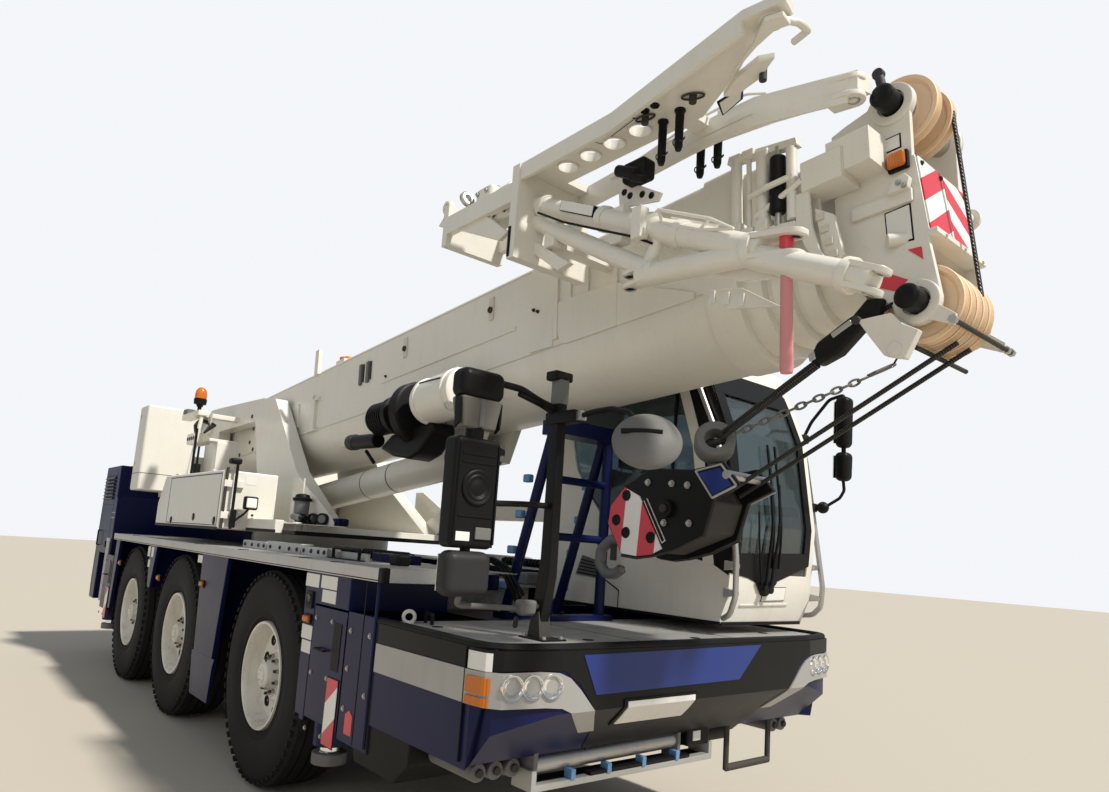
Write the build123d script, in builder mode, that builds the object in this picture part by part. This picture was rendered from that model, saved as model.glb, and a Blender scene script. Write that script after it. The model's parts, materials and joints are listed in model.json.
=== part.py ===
from build123d import *
from math import asin, atan2, cos, hypot, radians, sin, sqrt
import os

os.makedirs("parts", exist_ok=True)

# Three-axle compact city crane, parked for the road: boom down on its rest, cab lowered in front.
# Millimetres. X forward, Y to the left, Z up. Every x below is measured from the front axle;
# at() moves it into the part's frame, whose origin is on the ground under the middle of the crane.
front_axle_x = 1070

# Running gear
axle_gap_front = 2158
axle_gap_rear = 1757
tyre_radius = 683
tyre_width = 385
tyre_centre_y = 1048
rim_radius = 345
rim_lip = 20
rim_wall = 16
rim_seat_gap = 0.3
rim_disc_inset = 120
hub_radius = 150
spindle_radius = 60
kingpin_y = 770
kingpin_radius = 32
shaft_gap = 0.3
moving_gap = 5

# Carrier
body_half_width = 1275
frame_half_width = 410
frame_bottom = 760
frame_top = 1180
axle_notch_half = 240
axle_notch_top = 900
frame_rear_x = -5900
frame_front_x = 1560
deck_top = 1467
deck_thickness = 56
deck_inner_y = 662
deck_rear_x = -4890
deck_front_x = 1290
skirt_thickness = 34
skirt_bottom = 640
sweep_radius = 2900
front_module_rear_x = 1640
front_module_nose_x = 2650
front_module_toe_x = 2420
front_module_bend_x = 2500
front_module_bend_y = 1185
front_module_top = 1207
front_module_bottom = 720
eye_thickness = 30
eye_radius = 22
housing_front_x = -5290
housing_rear_x = -6180
housing_step_x = -4960
housing_top = 2280
housing_step_top = 1895
housing_bottom = 640
housing_wall = 30
housing_half_width = 1240

# Outriggers: two beams side by side in each cross box
beam_width = 190
beam_height = 250
beam_bottom = 800
beam_gap = 12
slide_gap = 0.5
beam_wall = 14
box_wall = 16
front_box_x = 1080
rear_box_x = -4990
jack_radius = 75
jack_rod_radius = 55
jack_top = 1130
jack_bottom = 470
pad_radius = 190
pad_height = 60
jack_y = body_half_width - 125

# Slewing superstructure
slew_x = -2100
ring_radius = 640
ring_bottom = 1180
ring_top = 1495
ring_gap = 0.5
platform_bottom = 1600
platform_top = 1680
platform_half_width = 745
cheek_outer_y = 500
cheek_inner_y = 372
tail_x = -4880
console_outer_y = 1200
console_top = 2090
console_rear_x, console_front_x = -3440, -1400
cabinet_half_width = 1200
cabinet_inner_y = 640
cabinet_front_x = -4500
cabinet_bottom = 1975
cabinet_top = 2960
cabinet_link_depth = 220
cabinet_link_top = 2440

# Boom
boom_pivot_x = -4450
boom_pivot_z = 2780
boom_angle = 4
boom_pin_radius = 60
boom_width = 660
boom_height = 915
boom_above_pivot = 195
boom_wall = 12
boom_corner_radius = 40
section_step = 34
section_wall = 9
boom_rear = -260
boom_front = 7450
boom_cavity_rear = 160
inner_rear = 260
inner_stagger = 90
collar_step = 110
collar_depth = 12
head_half_width = 240
head_plate = 25
head_pin_radius = 46
head_pin_length = 90
head_lobe = 92
board_top, board_bottom = -60, -390
upper_along = 8175
upper_up = 200
upper_radius = 157
lower_along = 8220
lower_up = -683
lower_radius = 162
sheave_width = 50
sheave_pitch = 60
sheave_axle_radius = 45

# Luffing cylinder
luff_base_x = -2700
luff_base_z = 1920
luff_head_x = 550
luff_eye_drop = 128
luff_barrel_radius = 132
luff_rod_radius = 88
luff_pin_radius = 55
luff_lug_inner_y, luff_lug_outer_y = 95, 165

# Cab
cab_rear_x = 930
cab_front_x = 2430
cab_inner_y = 430
cab_outer_y = 1270
cab_floor = 1270
cab_roof = 2880
cab_wall = 40
cab_arm_rear_x = -560
cab_arm_front_x = 830
cab_arm_z = 1890
cab_arm_y = 600
cab_arm_half = 60
cab_pin_radius = 35
cab_lug_inner, cab_lug_outer = cab_arm_half + moving_gap, cab_arm_half + 45

axle_x = (0, -axle_gap_front, -axle_gap_front - axle_gap_rear)


def at(x):
    """An x from the front axle, in the part's frame."""
    return front_axle_x + x


def block(x, y, z, mode=Mode.ADD):
    """A box between pairs of low and high x, y and z."""
    with Locations((at((x[0] + x[1]) / 2), (y[0] + y[1]) / 2, (z[0] + z[1]) / 2)):
        Box(x[1] - x[0], y[1] - y[0], z[1] - z[0], mode=mode)


def side_plate(points, y, mode=Mode.ADD, grow=0):
    """A plate with an outline of (x, z) points, grown by an offset, between two y."""
    with BuildSketch(Plane.XZ.offset(-y[0])) as face:
        with BuildLine():
            Polyline([(at(px), pz) for px, pz in points], close=True)
        make_face()
        if grow:
            offset(amount=grow, kind=Kind.INTERSECTION)
    extrude(face.sketch, amount=y[0] - y[1], mode=mode)


def flat_plate(points, z, mode=Mode.ADD):
    """A plate with an outline of (x, y) points, between two z."""
    with BuildSketch(Plane.XY.offset(z[0])) as face:
        with BuildLine():
            Polyline([(at(px), py) for px, py in points], close=True)
        make_face()
    extrude(face.sketch, amount=z[1] - z[0], mode=mode)


def rod(start, end, radius, mode=Mode.ADD):
    """A round bar from one point (x, y, z) to another."""
    low = Vector(at(start[0]), start[1], start[2])
    high = Vector(at(end[0]), end[1], end[2])
    with Locations(Plane(origin=low, z_dir=high - low)):
        Cylinder(radius, (high - low).length, align=(Align.CENTER, Align.CENTER, Align.MIN), mode=mode)


def cross_pin(middle, reach, radius, mode=Mode.ADD):
    """A round pin across the crane, reaching as far to each side of its middle."""
    x, y, z = middle
    rod((x, y - reach, z), (x, y + reach, z), radius, mode=mode)


def finish(name, builder):
    """Label a piece and write its STEP file."""
    builder.part.label = name
    export_step(builder.part, f"parts/{name}.step")


sides = (("left", 1), ("right", -1))

# ---------------------------------------------------------------- wheels
wheel_inner_y = tyre_centre_y - tyre_width / 2
wheel_outer_y = tyre_centre_y + tyre_width / 2
rim_inner_y = tyre_centre_y - 150
rim_outer_y = tyre_centre_y + 178
barrel_radius = rim_radius - rim_lip

for axle_number, wheel_x in enumerate(axle_x, 1):
    for side, sign in sides:
        wheel_plane = Plane(origin=(at(wheel_x), 0, tyre_radius), x_dir=(1, 0, 0), z_dir=(0, sign, 0))
        spin_axis = Axis((at(wheel_x), 0, tyre_radius), (0, 1, 0))

        with BuildPart() as tyre:
            bead_inner_y = rim_inner_y + rim_lip + rim_seat_gap
            bead_outer_y = rim_outer_y - rim_lip - rim_seat_gap
            seat_z = tyre_radius + barrel_radius + rim_seat_gap
            lip_z = tyre_radius + rim_radius + rim_seat_gap
            with BuildSketch(Plane.YZ.offset(at(wheel_x))):
                with BuildLine():
                    Polyline(
                        (sign * bead_inner_y, seat_z),
                        (sign * bead_inner_y, lip_z),
                        (sign * (wheel_inner_y + 30), tyre_radius + rim_radius + 10),
                        (sign * wheel_inner_y, tyre_radius + 520),
                        (sign * (wheel_inner_y + 22), tyre_radius + tyre_radius - 30),
                        (sign * (wheel_inner_y + 60), tyre_radius + tyre_radius),
                        (sign * (wheel_outer_y - 60), tyre_radius + tyre_radius),
                        (sign * (wheel_outer_y - 22), tyre_radius + tyre_radius - 30),
                        (sign * wheel_outer_y, tyre_radius + 520),
                        (sign * (wheel_outer_y - 30), tyre_radius + rim_radius + 10),
                        (sign * bead_outer_y, lip_z),
                        (sign * bead_outer_y, seat_z),
                        close=True,
                    )
                make_face()
            revolve(axis=spin_axis)
        finish(f"tyre_{axle_number}_{side}", tyre)

        disc_y = rim_outer_y - rim_disc_inset
        with BuildPart() as rim:
            with BuildSketch(Plane.YZ.offset(at(wheel_x))):
                with BuildLine():
                    Polyline(
                        (sign * rim_inner_y, tyre_radius + rim_radius),
                        (sign * (rim_inner_y + rim_lip), tyre_radius + rim_radius),
                        (sign * (rim_inner_y + rim_lip), tyre_radius + barrel_radius),
                        (sign * (rim_outer_y - rim_lip), tyre_radius + barrel_radius),
                        (sign * (rim_outer_y - rim_lip), tyre_radius + rim_radius),
                        (sign * rim_outer_y, tyre_radius + rim_radius),
                        (sign * rim_outer_y, tyre_radius + barrel_radius - rim_wall),
                        (sign * disc_y, tyre_radius + barrel_radius - rim_wall - 20),
                        (sign * disc_y, tyre_radius + hub_radius + 30),
                        (sign * (disc_y + 25), tyre_radius + hub_radius),
                        (sign * (disc_y + 70), tyre_radius + hub_radius - 20),
                        (sign * (disc_y + 80), tyre_radius),
                        (sign * (disc_y + 40), tyre_radius),
                        (sign * (disc_y + 40), tyre_radius + spindle_radius + shaft_gap),
                        (sign * (disc_y - 20), tyre_radius + spindle_radius + shaft_gap),
                        (sign * (disc_y - 20), tyre_radius + barrel_radius - rim_wall - 4),
                        (sign * rim_inner_y, tyre_radius + barrel_radius - rim_wall),
                        close=True,
                    )
                make_face()
            revolve(axis=spin_axis)
            with Locations(wheel_plane):
                with PolarLocations(barrel_radius - 70, 10):
                    Cylinder(24, 4 * rim_outer_y, mode=Mode.SUBTRACT)
        finish(f"rim_{axle_number}_{side}", rim)

# ---------------------------------------------------------------- axles and knuckles
fork_height = 150
fork_ear = 34
for axle_number, wheel_x in enumerate(axle_x, 1):
    steered = axle_number != 2
    disc_y = rim_outer_y - rim_disc_inset
    with BuildPart() as axle:
        beam_end_y = kingpin_y - 75 if steered else rim_inner_y - 30
        block((wheel_x - 62, wheel_x + 62), (-beam_end_y, beam_end_y), (tyre_radius - 72, tyre_radius + 66))
        with Locations((at(wheel_x), 0, tyre_radius)):
            Sphere(190)
        for side, sign in sides:
            ends = sorted((sign * beam_end_y, sign * (kingpin_y - 110)))
            if steered:
                ears = sorted((sign * (kingpin_y + 55), sign * (kingpin_y - 110)))
                fork_z = (tyre_radius - fork_height, tyre_radius + fork_height)
                block((wheel_x - 55, wheel_x + 55), ends, fork_z)
                for ear_z in (tyre_radius - fork_height, tyre_radius + fork_height - fork_ear):
                    block((wheel_x - 55, wheel_x + 55), ears, (ear_z, ear_z + fork_ear))
                with Locations((at(wheel_x), sign * kingpin_y, tyre_radius)):
                    Cylinder(kingpin_radius + shaft_gap, 3 * fork_height, mode=Mode.SUBTRACT)
            else:
                rod(
                    (wheel_x, sign * (beam_end_y - 10), tyre_radius),
                    (wheel_x, sign * (disc_y + 30), tyre_radius),
                    spindle_radius,
                )
            spring_y = sign * (frame_half_width - 60)
            for spring_x in (wheel_x - 40, wheel_x + 40):
                rod((spring_x, spring_y, tyre_radius), (spring_x, spring_y, axle_notch_top - shaft_gap), 38)
    finish(f"axle_{axle_number}", axle)

    for side, sign in sides:
        if not steered:
            continue
        with BuildPart() as knuckle:
            pin_half = fork_height - fork_ear - moving_gap
            with Locations((at(wheel_x), sign * kingpin_y, tyre_radius)):
                Cylinder(kingpin_radius + 18, 2 * pin_half)
                Cylinder(kingpin_radius, 2 * fork_height + 16)
            rod(
                (wheel_x, sign * kingpin_y, tyre_radius),
                (wheel_x, sign * (disc_y + 30), tyre_radius),
                spindle_radius,
            )
            rod(
                (wheel_x, sign * (kingpin_y + 40), tyre_radius),
                (wheel_x, sign * (rim_inner_y + 60), tyre_radius),
                92,
            )
        finish(f"knuckle_{axle_number}_{side}", knuckle)

# ---------------------------------------------------------------- chassis frame
box_depth = 2 * beam_width + 3 * beam_gap + 2 * box_wall
box_height = beam_height + 2 * beam_gap + 2 * box_wall
box_bottom = beam_bottom - beam_gap - box_wall
box_end_y = jack_y - jack_radius - 40
with BuildPart() as chassis_frame:
    block((frame_rear_x, frame_front_x), (-frame_half_width, frame_half_width), (frame_bottom, frame_top))
    block((frame_front_x - 20, front_module_toe_x - 160), (-frame_half_width, frame_half_width), (860, 1040))
    for box_x in (front_box_x, rear_box_x):
        block(
            (box_x - box_depth / 2, box_x + box_depth / 2),
            (-box_end_y, box_end_y),
            (box_bottom, box_bottom + box_height),
        )
    for box_x in (front_box_x, rear_box_x):
        for lane, sign in ((1, 1), (-1, -1)):
            lane_x = box_x + lane * (beam_width + beam_gap) / 2
            block(
                (lane_x - beam_width / 2 - beam_gap / 2, lane_x + beam_width / 2 + beam_gap / 2),
                (-box_end_y - 1, box_end_y + 1),
                (beam_bottom - slide_gap, beam_bottom + beam_height + beam_gap),
                mode=Mode.SUBTRACT,
            )
    block((slew_x - 620, slew_x + 620), (-620, 620), (frame_top - 200, ring_bottom - shaft_gap))
    for wheel_x in axle_x:
        block(
            (wheel_x - axle_notch_half, wheel_x + axle_notch_half),
            (-frame_half_width - 1, frame_half_width + 1),
            (frame_bottom - 1, axle_notch_top),
            mode=Mode.SUBTRACT,
        )
finish("chassis_frame", chassis_frame)

with BuildPart() as slew_ring:
    with Locations((at(slew_x), 0, (ring_bottom + ring_top) / 2)):
        Cylinder(ring_radius, ring_top - ring_bottom)
        Cylinder(ring_radius - 90, ring_top - ring_bottom, mode=Mode.SUBTRACT)
    with Locations((at(slew_x), 0, ring_top - 35)):
        Cylinder(ring_radius + 15, 60)
        Cylinder(ring_radius - 90, 70, mode=Mode.SUBTRACT)
finish("slew_ring", slew_ring)

# ---------------------------------------------------------------- side decks and skirts
# skirt panels below the deck: the two top x, the two bottom x, bottom z and the x of the web behind
skirts = (
    (-760, -1420, -1330, -870, skirt_bottom, -1100),
    (-2880, -3190, -3080, -2990, 1000, -3035),
    (-4560, -4750, -4750, -4660, skirt_bottom, -4735),
    (700, 800, 800, 740, 600, 780),
)
web_half = 15
deck_lip = 242
cover_front_x = (front_box_x - 220, front_box_x + 220)
cover_step_z = deck_top - deck_lip
for side, sign in sides:
    outer = sorted((sign * body_half_width, sign * (body_half_width - skirt_thickness)))
    lane = sorted((sign * deck_inner_y, sign * body_half_width))
    with BuildPart() as deck:
        front_x = deck_front_x if side == "right" else slew_x + sqrt(sweep_radius**2 - body_half_width**2)
        block((deck_rear_x, front_x), lane, (deck_top - deck_thickness, deck_top))
        if side == "right":
            block((front_x - 30, front_x), lane, (cover_step_z, deck_top - 10))
        low_web = sorted((sign * (frame_half_width + shaft_gap), sign * (body_half_width - 5)))
        high_web = sorted((sign * deck_inner_y, sign * (body_half_width - 5)))
        for top_a, top_b, low_a, low_b, low, web_x in skirts:
            if side == "left" and top_a > 0:
                continue
            outline = ((top_a, deck_top - 20), (top_b, deck_top - 20), (low_a, low), (low_b, low))
            side_plate(outline, outer)
            if top_a > 0:
                continue
            block((web_x - web_half, web_x + web_half), low_web, (max(low, frame_bottom), 1300))
            block((web_x - web_half, web_x + web_half), high_web, (1299, deck_top - 20))
        rear_lane = sorted((sign * deck_inner_y, sign * (body_half_width - skirt_thickness - moving_gap)))
        block((deck_rear_x, deck_rear_x + 30), rear_lane, (1150, deck_top - 10))
        cover_top = deck_top - 20 if side == "right" else cover_step_z
        block((800, cover_front_x[0]), outer, (580, cover_top))
        block((cover_front_x[1], front_module_rear_x - 2), outer, (580, cover_step_z))
        block((cover_front_x[0] - 24, cover_front_x[0] - 9), low_web, (660, min(cover_top, 1300)))
        block((front_module_rear_x - 60, front_module_rear_x - 30), low_web, (beam_bottom, 1140))
        if side == "right":
            block((800, deck_front_x), outer, (cover_step_z, deck_top - 20))
    finish(f"deck_{side}", deck)

with BuildPart() as centre_deck:
    block((deck_rear_x + 40, 780), (-deck_inner_y + 2, deck_inner_y - 2), (1340, 1380))
    with Locations((at(slew_x), 0, 1360)):
        Cylinder(ring_radius + 60, 100, mode=Mode.SUBTRACT)
    for web_x in (-4500, -3100, -1000, 700):
        block((web_x, web_x + 30), (-380, 380), (frame_top + shaft_gap, 1350))
finish("centre_deck", centre_deck)

# ---------------------------------------------------------------- front module
nose = (
    (front_module_rear_x, -body_half_width),
    (front_module_bend_x - 210, -body_half_width),
    (front_module_bend_x, -front_module_bend_y),
    (front_module_nose_x, -900),
    (front_module_nose_x, 900),
    (front_module_bend_x, front_module_bend_y),
    (front_module_bend_x - 210, body_half_width),
    (front_module_rear_x, body_half_width),
)
with BuildPart() as front_module:
    flat_plate(nose, (front_module_bottom, front_module_top))
    toe_cut = (
        (front_module_toe_x - 200, front_module_bottom - 1),
        (front_module_toe_x, front_module_bottom - 1),
        (front_module_nose_x + 1, front_module_top - 260),
        (front_module_nose_x + 1, front_module_bottom - 1),
    )
    side_plate(toe_cut, (-body_half_width - 1, body_half_width + 1), mode=Mode.SUBTRACT)
    block(
        (front_module_rear_x - 1, front_module_toe_x - 120),
        (-body_half_width + 40, body_half_width - 40),
        (front_module_bottom - 1, front_module_top - 60),
        mode=Mode.SUBTRACT,
    )
    for eye_y in (-560, 300):
        side_plate(((2305, 730), (2415, 730), (2400, 640), (2320, 640)), (eye_y, eye_y + eye_thickness))
        rod((2360, eye_y - 1, 680), (2360, eye_y + eye_thickness + 1, 680), eye_radius, mode=Mode.SUBTRACT)
finish("front_module", front_module)

# ---------------------------------------------------------------- rear housing and engine
with BuildPart() as rear_housing:
    profile = (
        (housing_rear_x, 900),
        (housing_rear_x + 60, housing_top),
        (housing_front_x, housing_top),
        (housing_front_x, housing_step_top),
        (housing_step_x - 280, housing_step_top),
        (housing_step_x - 280, frame_top + 30),
        (housing_rear_x + 300, frame_top + 30),
        (housing_rear_x + 300, housing_bottom),
        (housing_rear_x + 40, housing_bottom),
    )
    side_plate(profile, (-housing_half_width, housing_half_width))
    block(
        (housing_rear_x + 120, housing_front_x - housing_wall),
        (-housing_half_width + housing_wall, housing_half_width - housing_wall),
        (frame_top - 1, housing_top - housing_wall),
        mode=Mode.SUBTRACT,
    )
    block(
        (frame_rear_x - 1, housing_front_x + 500),
        (-frame_half_width - shaft_gap, frame_half_width + shaft_gap),
        (frame_bottom - 200, frame_top + shaft_gap),
        mode=Mode.SUBTRACT,
    )
finish("rear_housing", rear_housing)

engine_rear_x, engine_front_x = -6020, -5420
engine_half_width, engine_head_half_width = 480, 250
engine_crankcase_top, engine_head_top = 2050, 2180
with BuildPart() as engine_block:
    block((engine_rear_x, engine_front_x), (-engine_half_width, engine_half_width),
          (frame_top + shaft_gap, engine_crankcase_top))
    block((engine_rear_x + 60, engine_front_x - 60), (-engine_head_half_width, engine_head_half_width),
          (engine_crankcase_top - 10, engine_head_top))
finish("engine_block", engine_block)

# ---------------------------------------------------------------- outrigger beams and jacks
for place, box_x in (("front", front_box_x), ("rear", rear_box_x)):
    for (side, sign), lane in zip(sides, (1, -1)):
        lane_x = box_x + lane * (beam_width + beam_gap) / 2
        with BuildPart() as beam:
            span = sorted((sign * (jack_y - jack_radius), -sign * (box_end_y - 120)))
            block(
                (lane_x - beam_width / 2, lane_x + beam_width / 2),
                span,
                (beam_bottom, beam_bottom + beam_height),
            )
            block(
                (lane_x - beam_width / 2 + beam_wall, lane_x + beam_width / 2 - beam_wall),
                (span[0] - 1, span[1] + 1),
                (beam_bottom + beam_wall, beam_bottom + beam_height - beam_wall),
                mode=Mode.SUBTRACT,
            )
            with Locations((at(lane_x), sign * jack_y, (jack_top + jack_bottom) / 2)):
                Cylinder(jack_radius + 20, jack_top - jack_bottom)
            end_y = sorted((sign * body_half_width, sign * (body_half_width - skirt_thickness)))
            block((box_x - 210, box_x + 210), end_y, (beam_bottom - 190, 1215))
            with Locations((at(lane_x), sign * jack_y, (jack_top + jack_bottom) / 2 - 24)):
                Cylinder(jack_rod_radius + 1, jack_top - jack_bottom, mode=Mode.SUBTRACT)
        finish(f"outrigger_beam_{place}_{side}", beam)
        with BuildPart() as jack:
            rod(
                (lane_x, sign * jack_y, jack_bottom - 40),
                (lane_x, sign * jack_y, jack_top - 40),
                jack_rod_radius,
            )
            with Locations((at(lane_x), sign * jack_y, jack_bottom - 40 - pad_height / 2)):
                Cylinder(pad_radius / 2, pad_height)
        finish(f"jack_{place}_{side}", jack)

# ---------------------------------------------------------------- boom rest, mirrors and steps
rest_x = 1500
with BuildPart() as boom_rest:
    for y in (-210, 210):
        rod((rest_x + 150, y, front_module_top + 10), (rest_x + 150, y, 2330), 32)
        rod((rest_x - 260, y, frame_top + 20), (rest_x + 100, y, 2330), 32)
    for rung_z in (1700, 2040):
        rod((rest_x + 150, -210, rung_z), (rest_x + 150, 210, rung_z), 24)
    block((rest_x + 40, rest_x + 200), (-250, 250), (2310, 2400))
    block((rest_x + 145, rest_x + 230), (-250, 250), (front_module_top + shaft_gap, front_module_top + 40))
    block((rest_x - 320, rest_x - 200), (-250, 250), (frame_top + shaft_gap, frame_top + 40))
finish("boom_rest", boom_rest)

mirror_reach_y = 1450
mirror_width = 220
post_x, post_y, post_top = 2380, -840, 2460
ramp_mirror_x, ramp_mirror_z, ramp_mirror_radius = 2860, 2050, 150
mirror_y = mirror_reach_y - mirror_width
with BuildPart() as mirror_post:
    rod((post_x, post_y, front_module_top + shaft_gap), (post_x, post_y, post_top), 30)
    block((post_x - 90, post_x + 90), (post_y - 70, post_y + 70),
          (front_module_top + shaft_gap, front_module_top + 22))
    hanger_x, hanger_y = post_x + 10, -mirror_y - 15
    for arm_z in (2200, 1800):
        rod((post_x, post_y, arm_z), (hanger_x, hanger_y, arm_z), 16)
    rod((hanger_x, hanger_y, 1390), (hanger_x, hanger_y, 2400), 22)
    rod((post_x, post_y, ramp_mirror_z + 120), (ramp_mirror_x, post_y, ramp_mirror_z + 60), 14)
    rod((ramp_mirror_x, post_y, ramp_mirror_z + 70), (ramp_mirror_x, post_y, ramp_mirror_z), ramp_mirror_radius)
    for half_depth, low, high in ((45, 2110, 2340), (50, 1560, 2080), (60, 1400, 1545)):
        block((post_x - half_depth, post_x + half_depth), (-mirror_reach_y, -mirror_y), (low, high))
finish("mirror_post", mirror_post)

with BuildPart() as front_steps:
    for y in (-700, 500):
        rod((2250, y, 640), (2250, y, front_module_top - 60 - shaft_gap), 26)
    rod((2250, -1000, 640), (2250, 700, 640), 42)
    for y in (560, 960):
        rod((2380, y, 470), (2380, y, front_module_bottom - shaft_gap), 16)
    rod((2380, 560, 480), (2380, 960, 480), 20)
finish("front_steps", front_steps)

# ---------------------------------------------------------------- superstructure
cheek_heel_x, cheek_toe_x = -4650, -760
cheek = (
    (cheek_heel_x, 2930), (-4560, 3010), (-4300, 3010), (-2790, 2970), (-2420, 2925), (-1660, 2172),
    (cheek_toe_x, platform_top - 20), (cheek_toe_x, platform_bottom), (cheek_heel_x, platform_bottom),
)
window = ((-4150, 2010), (-4150, 2720), (-2950, 2740), (-2620, 2010))
with BuildPart() as turntable_frame:
    block((tail_x + 300, -700), (-platform_half_width, platform_half_width), (platform_bottom, platform_top))
    for sign in (1, -1):
        y = sorted((sign * cheek_inner_y, sign * cheek_outer_y))
        side_plate(cheek, y)
        side_plate(window, (y[0] - 1, y[1] + 1), mode=Mode.SUBTRACT)
    for y in ((-330, -180), (180, 330)):
        block((luff_base_x - 130, luff_base_x + 130), y, (platform_top - 5, luff_base_z + 110))
    cross_pin((luff_base_x, 0, luff_base_z), 330, luff_pin_radius)
    cross_pin((boom_pivot_x, 0, boom_pivot_z), cheek_outer_y + 20, boom_pin_radius)
    with Locations((at(slew_x), 0, ring_top + ring_gap)):
        Cylinder(ring_radius, platform_bottom - ring_top, align=(Align.CENTER, Align.CENTER, Align.MIN))
    arm_lug = (
        (cab_arm_rear_x - 400, platform_bottom), (cab_arm_rear_x + 60, cab_arm_z - 70),
        (cab_arm_rear_x + 60, cab_arm_z + 70), (cab_arm_rear_x - 60, cab_arm_z + 70),
        (cab_arm_rear_x - 600, platform_bottom + 100),
    )
    for arm_y in (cab_arm_y - cab_arm_half - 50, cab_arm_y + cab_arm_half + 10):
        side_plate(arm_lug, (arm_y, arm_y + 40))
    block((tail_x + 60, cabinet_front_x + 150), (-900, 900), (1925, cabinet_bottom - shaft_gap))
    cross_pin((cab_arm_rear_x, cab_arm_y, cab_arm_z), 200, cab_pin_radius + shaft_gap, Mode.SUBTRACT)
finish("turntable_frame", turntable_frame)

with BuildPart() as consoles:
    console_foot = platform_bottom + 10
    console_inner_y = platform_half_width + shaft_gap
    consoles_y = (-console_outer_y, -console_inner_y)
    block((console_rear_x, console_front_x), consoles_y, (console_foot, console_top))
    over_top = console_top + 1
    slope = ((console_rear_x - 1, 1820), (console_rear_x - 1, over_top), (console_rear_x + 200, over_top))
    side_plate(slope, (-console_outer_y - 1, -platform_half_width + 1), mode=Mode.SUBTRACT)
    block((console_front_x - 1, cheek_toe_x), (-console_inner_y - 60, -console_inner_y), (console_foot, 1700))
    block((console_rear_x + 140, console_front_x - 100), (console_inner_y, console_outer_y),
          (console_foot, console_top - 150))
finish("consoles", consoles)

with BuildPart() as counterweight:
    for sign in (1, -1):
        y = sorted((sign * cabinet_inner_y, sign * cabinet_half_width))
        block((tail_x, cabinet_front_x), y, (cabinet_bottom, cabinet_top))
    block((tail_x, tail_x + cabinet_link_depth), (-cabinet_inner_y - 1, cabinet_inner_y + 1),
          (cabinet_bottom, cabinet_link_top))
finish("counterweight", counterweight)

winch_x, winch_z = -3780, 1890
with BuildPart() as winch_drum:
    rod((winch_x, -360, winch_z), (winch_x, 360, winch_z), 150)
    rod((winch_x, shaft_gap - cheek_inner_y, winch_z), (winch_x, cheek_inner_y - shaft_gap, winch_z), 50)
    for y in (-360, 330):
        rod((winch_x, y, winch_z), (winch_x, y + 30, winch_z), 195)
finish("winch_drum", winch_drum)

# ---------------------------------------------------------------- boom
boom_plane = Plane(
    origin=(at(boom_pivot_x), 0, boom_pivot_z),
    x_dir=(0, 1, 0),
    z_dir=(cos(radians(boom_angle)), 0, sin(radians(boom_angle))),
)


def boom_section(along, inset, wall, mode=Mode.ADD):
    """A hollow boom tube between two distances along the boom, or a solid one with no wall."""
    half = boom_width / 2 - inset
    top = boom_above_pivot - inset
    low = boom_above_pivot - boom_height + inset
    with BuildSketch(boom_plane.offset(along[0])) as face:
        with BuildLine():
            upper = ((-half, low + half), (-half, top), (half, top), (half, low + half))
            FilletPolyline(*upper, radius=boom_corner_radius)
            ThreePointArc((-half, low + half), (0, low), (half, low + half))
        make_face()
        if wall:
            offset(amount=-wall, mode=Mode.SUBTRACT)
    extrude(face.sketch, amount=along[1] - along[0], mode=mode)


def boom_point(along, across, up):
    """A point given along, across and above the boom's pivot line, as (x, y, z)."""
    tilt = radians(boom_angle)
    return (
        boom_pivot_x + along * cos(tilt) - up * sin(tilt),
        across,
        boom_pivot_z + along * sin(tilt) + up * cos(tilt),
    )


def boom_side_plate(points, y, mode=Mode.ADD):
    """A plate along the boom: an outline of (along, up) points between two y."""
    plane = Plane(
        origin=(at(boom_pivot_x), y[0], boom_pivot_z),
        x_dir=(cos(radians(boom_angle)), 0, sin(radians(boom_angle))),
        z_dir=(0, -1, 0),
    )
    with BuildSketch(plane) as face:
        with BuildLine():
            Polyline(points, close=True)
        make_face()
    extrude(face.sketch, amount=y[0] - y[1], mode=mode)


luff_along = (luff_head_x - boom_pivot_x) / cos(radians(boom_angle))
boom_low = boom_above_pivot - boom_height
luff_up = boom_low - luff_eye_drop
luff_head = boom_point(luff_along, 0, luff_up)

with BuildPart() as boom_base:
    boom_section((boom_cavity_rear, boom_front), 0, boom_wall)
    boom_section((boom_rear, boom_cavity_rear), 0, 0)
    boom_side_plate(
        ((boom_rear - 1, boom_low - 1), (boom_rear - 1, -190), (boom_cavity_rear - 30, boom_low - 1)),
        (-boom_width, boom_width), mode=Mode.SUBTRACT,
    )
    boom_section((boom_front - 180, boom_front), -collar_depth, collar_depth + 1)
    for sign in (1, -1):
        y = sorted((sign * luff_lug_inner_y, sign * luff_lug_outer_y))
        boom_side_plate(
            ((luff_along - 260, boom_low + 60), (luff_along + 200, boom_low + 60),
             (luff_along + 60, luff_up - 70), (luff_along - 60, luff_up - 70)), y,
        )
    boom_section((boom_cavity_rear, boom_front + 10), boom_wall, 0, mode=Mode.SUBTRACT)
    boom_section((boom_front - 90, boom_front), boom_wall - 1, section_step - boom_wall + 1 - slide_gap)
    cross_pin((boom_pivot_x, 0, boom_pivot_z), boom_width, boom_pin_radius + shaft_gap, Mode.SUBTRACT)
    cross_pin(luff_head, luff_lug_outer_y - 5, luff_pin_radius)
finish("boom_base", boom_base)

for number in (2, 3, 4):
    inset = section_step * (number - 1)
    rear = inner_rear + inner_stagger * (number - 2)
    front = boom_front + collar_step * (number - 1)
    with BuildPart() as section:
        boom_section((rear, front), inset, section_wall)
        boom_section((front - collar_step + 30, front), inset - collar_depth, collar_depth + 1)
        pad_depth = section_step - section_wall + 1 - slide_gap
        boom_section((front - 90, front), inset + section_wall - 1, pad_depth)
    finish(f"boom_section_{number}", section)

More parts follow.
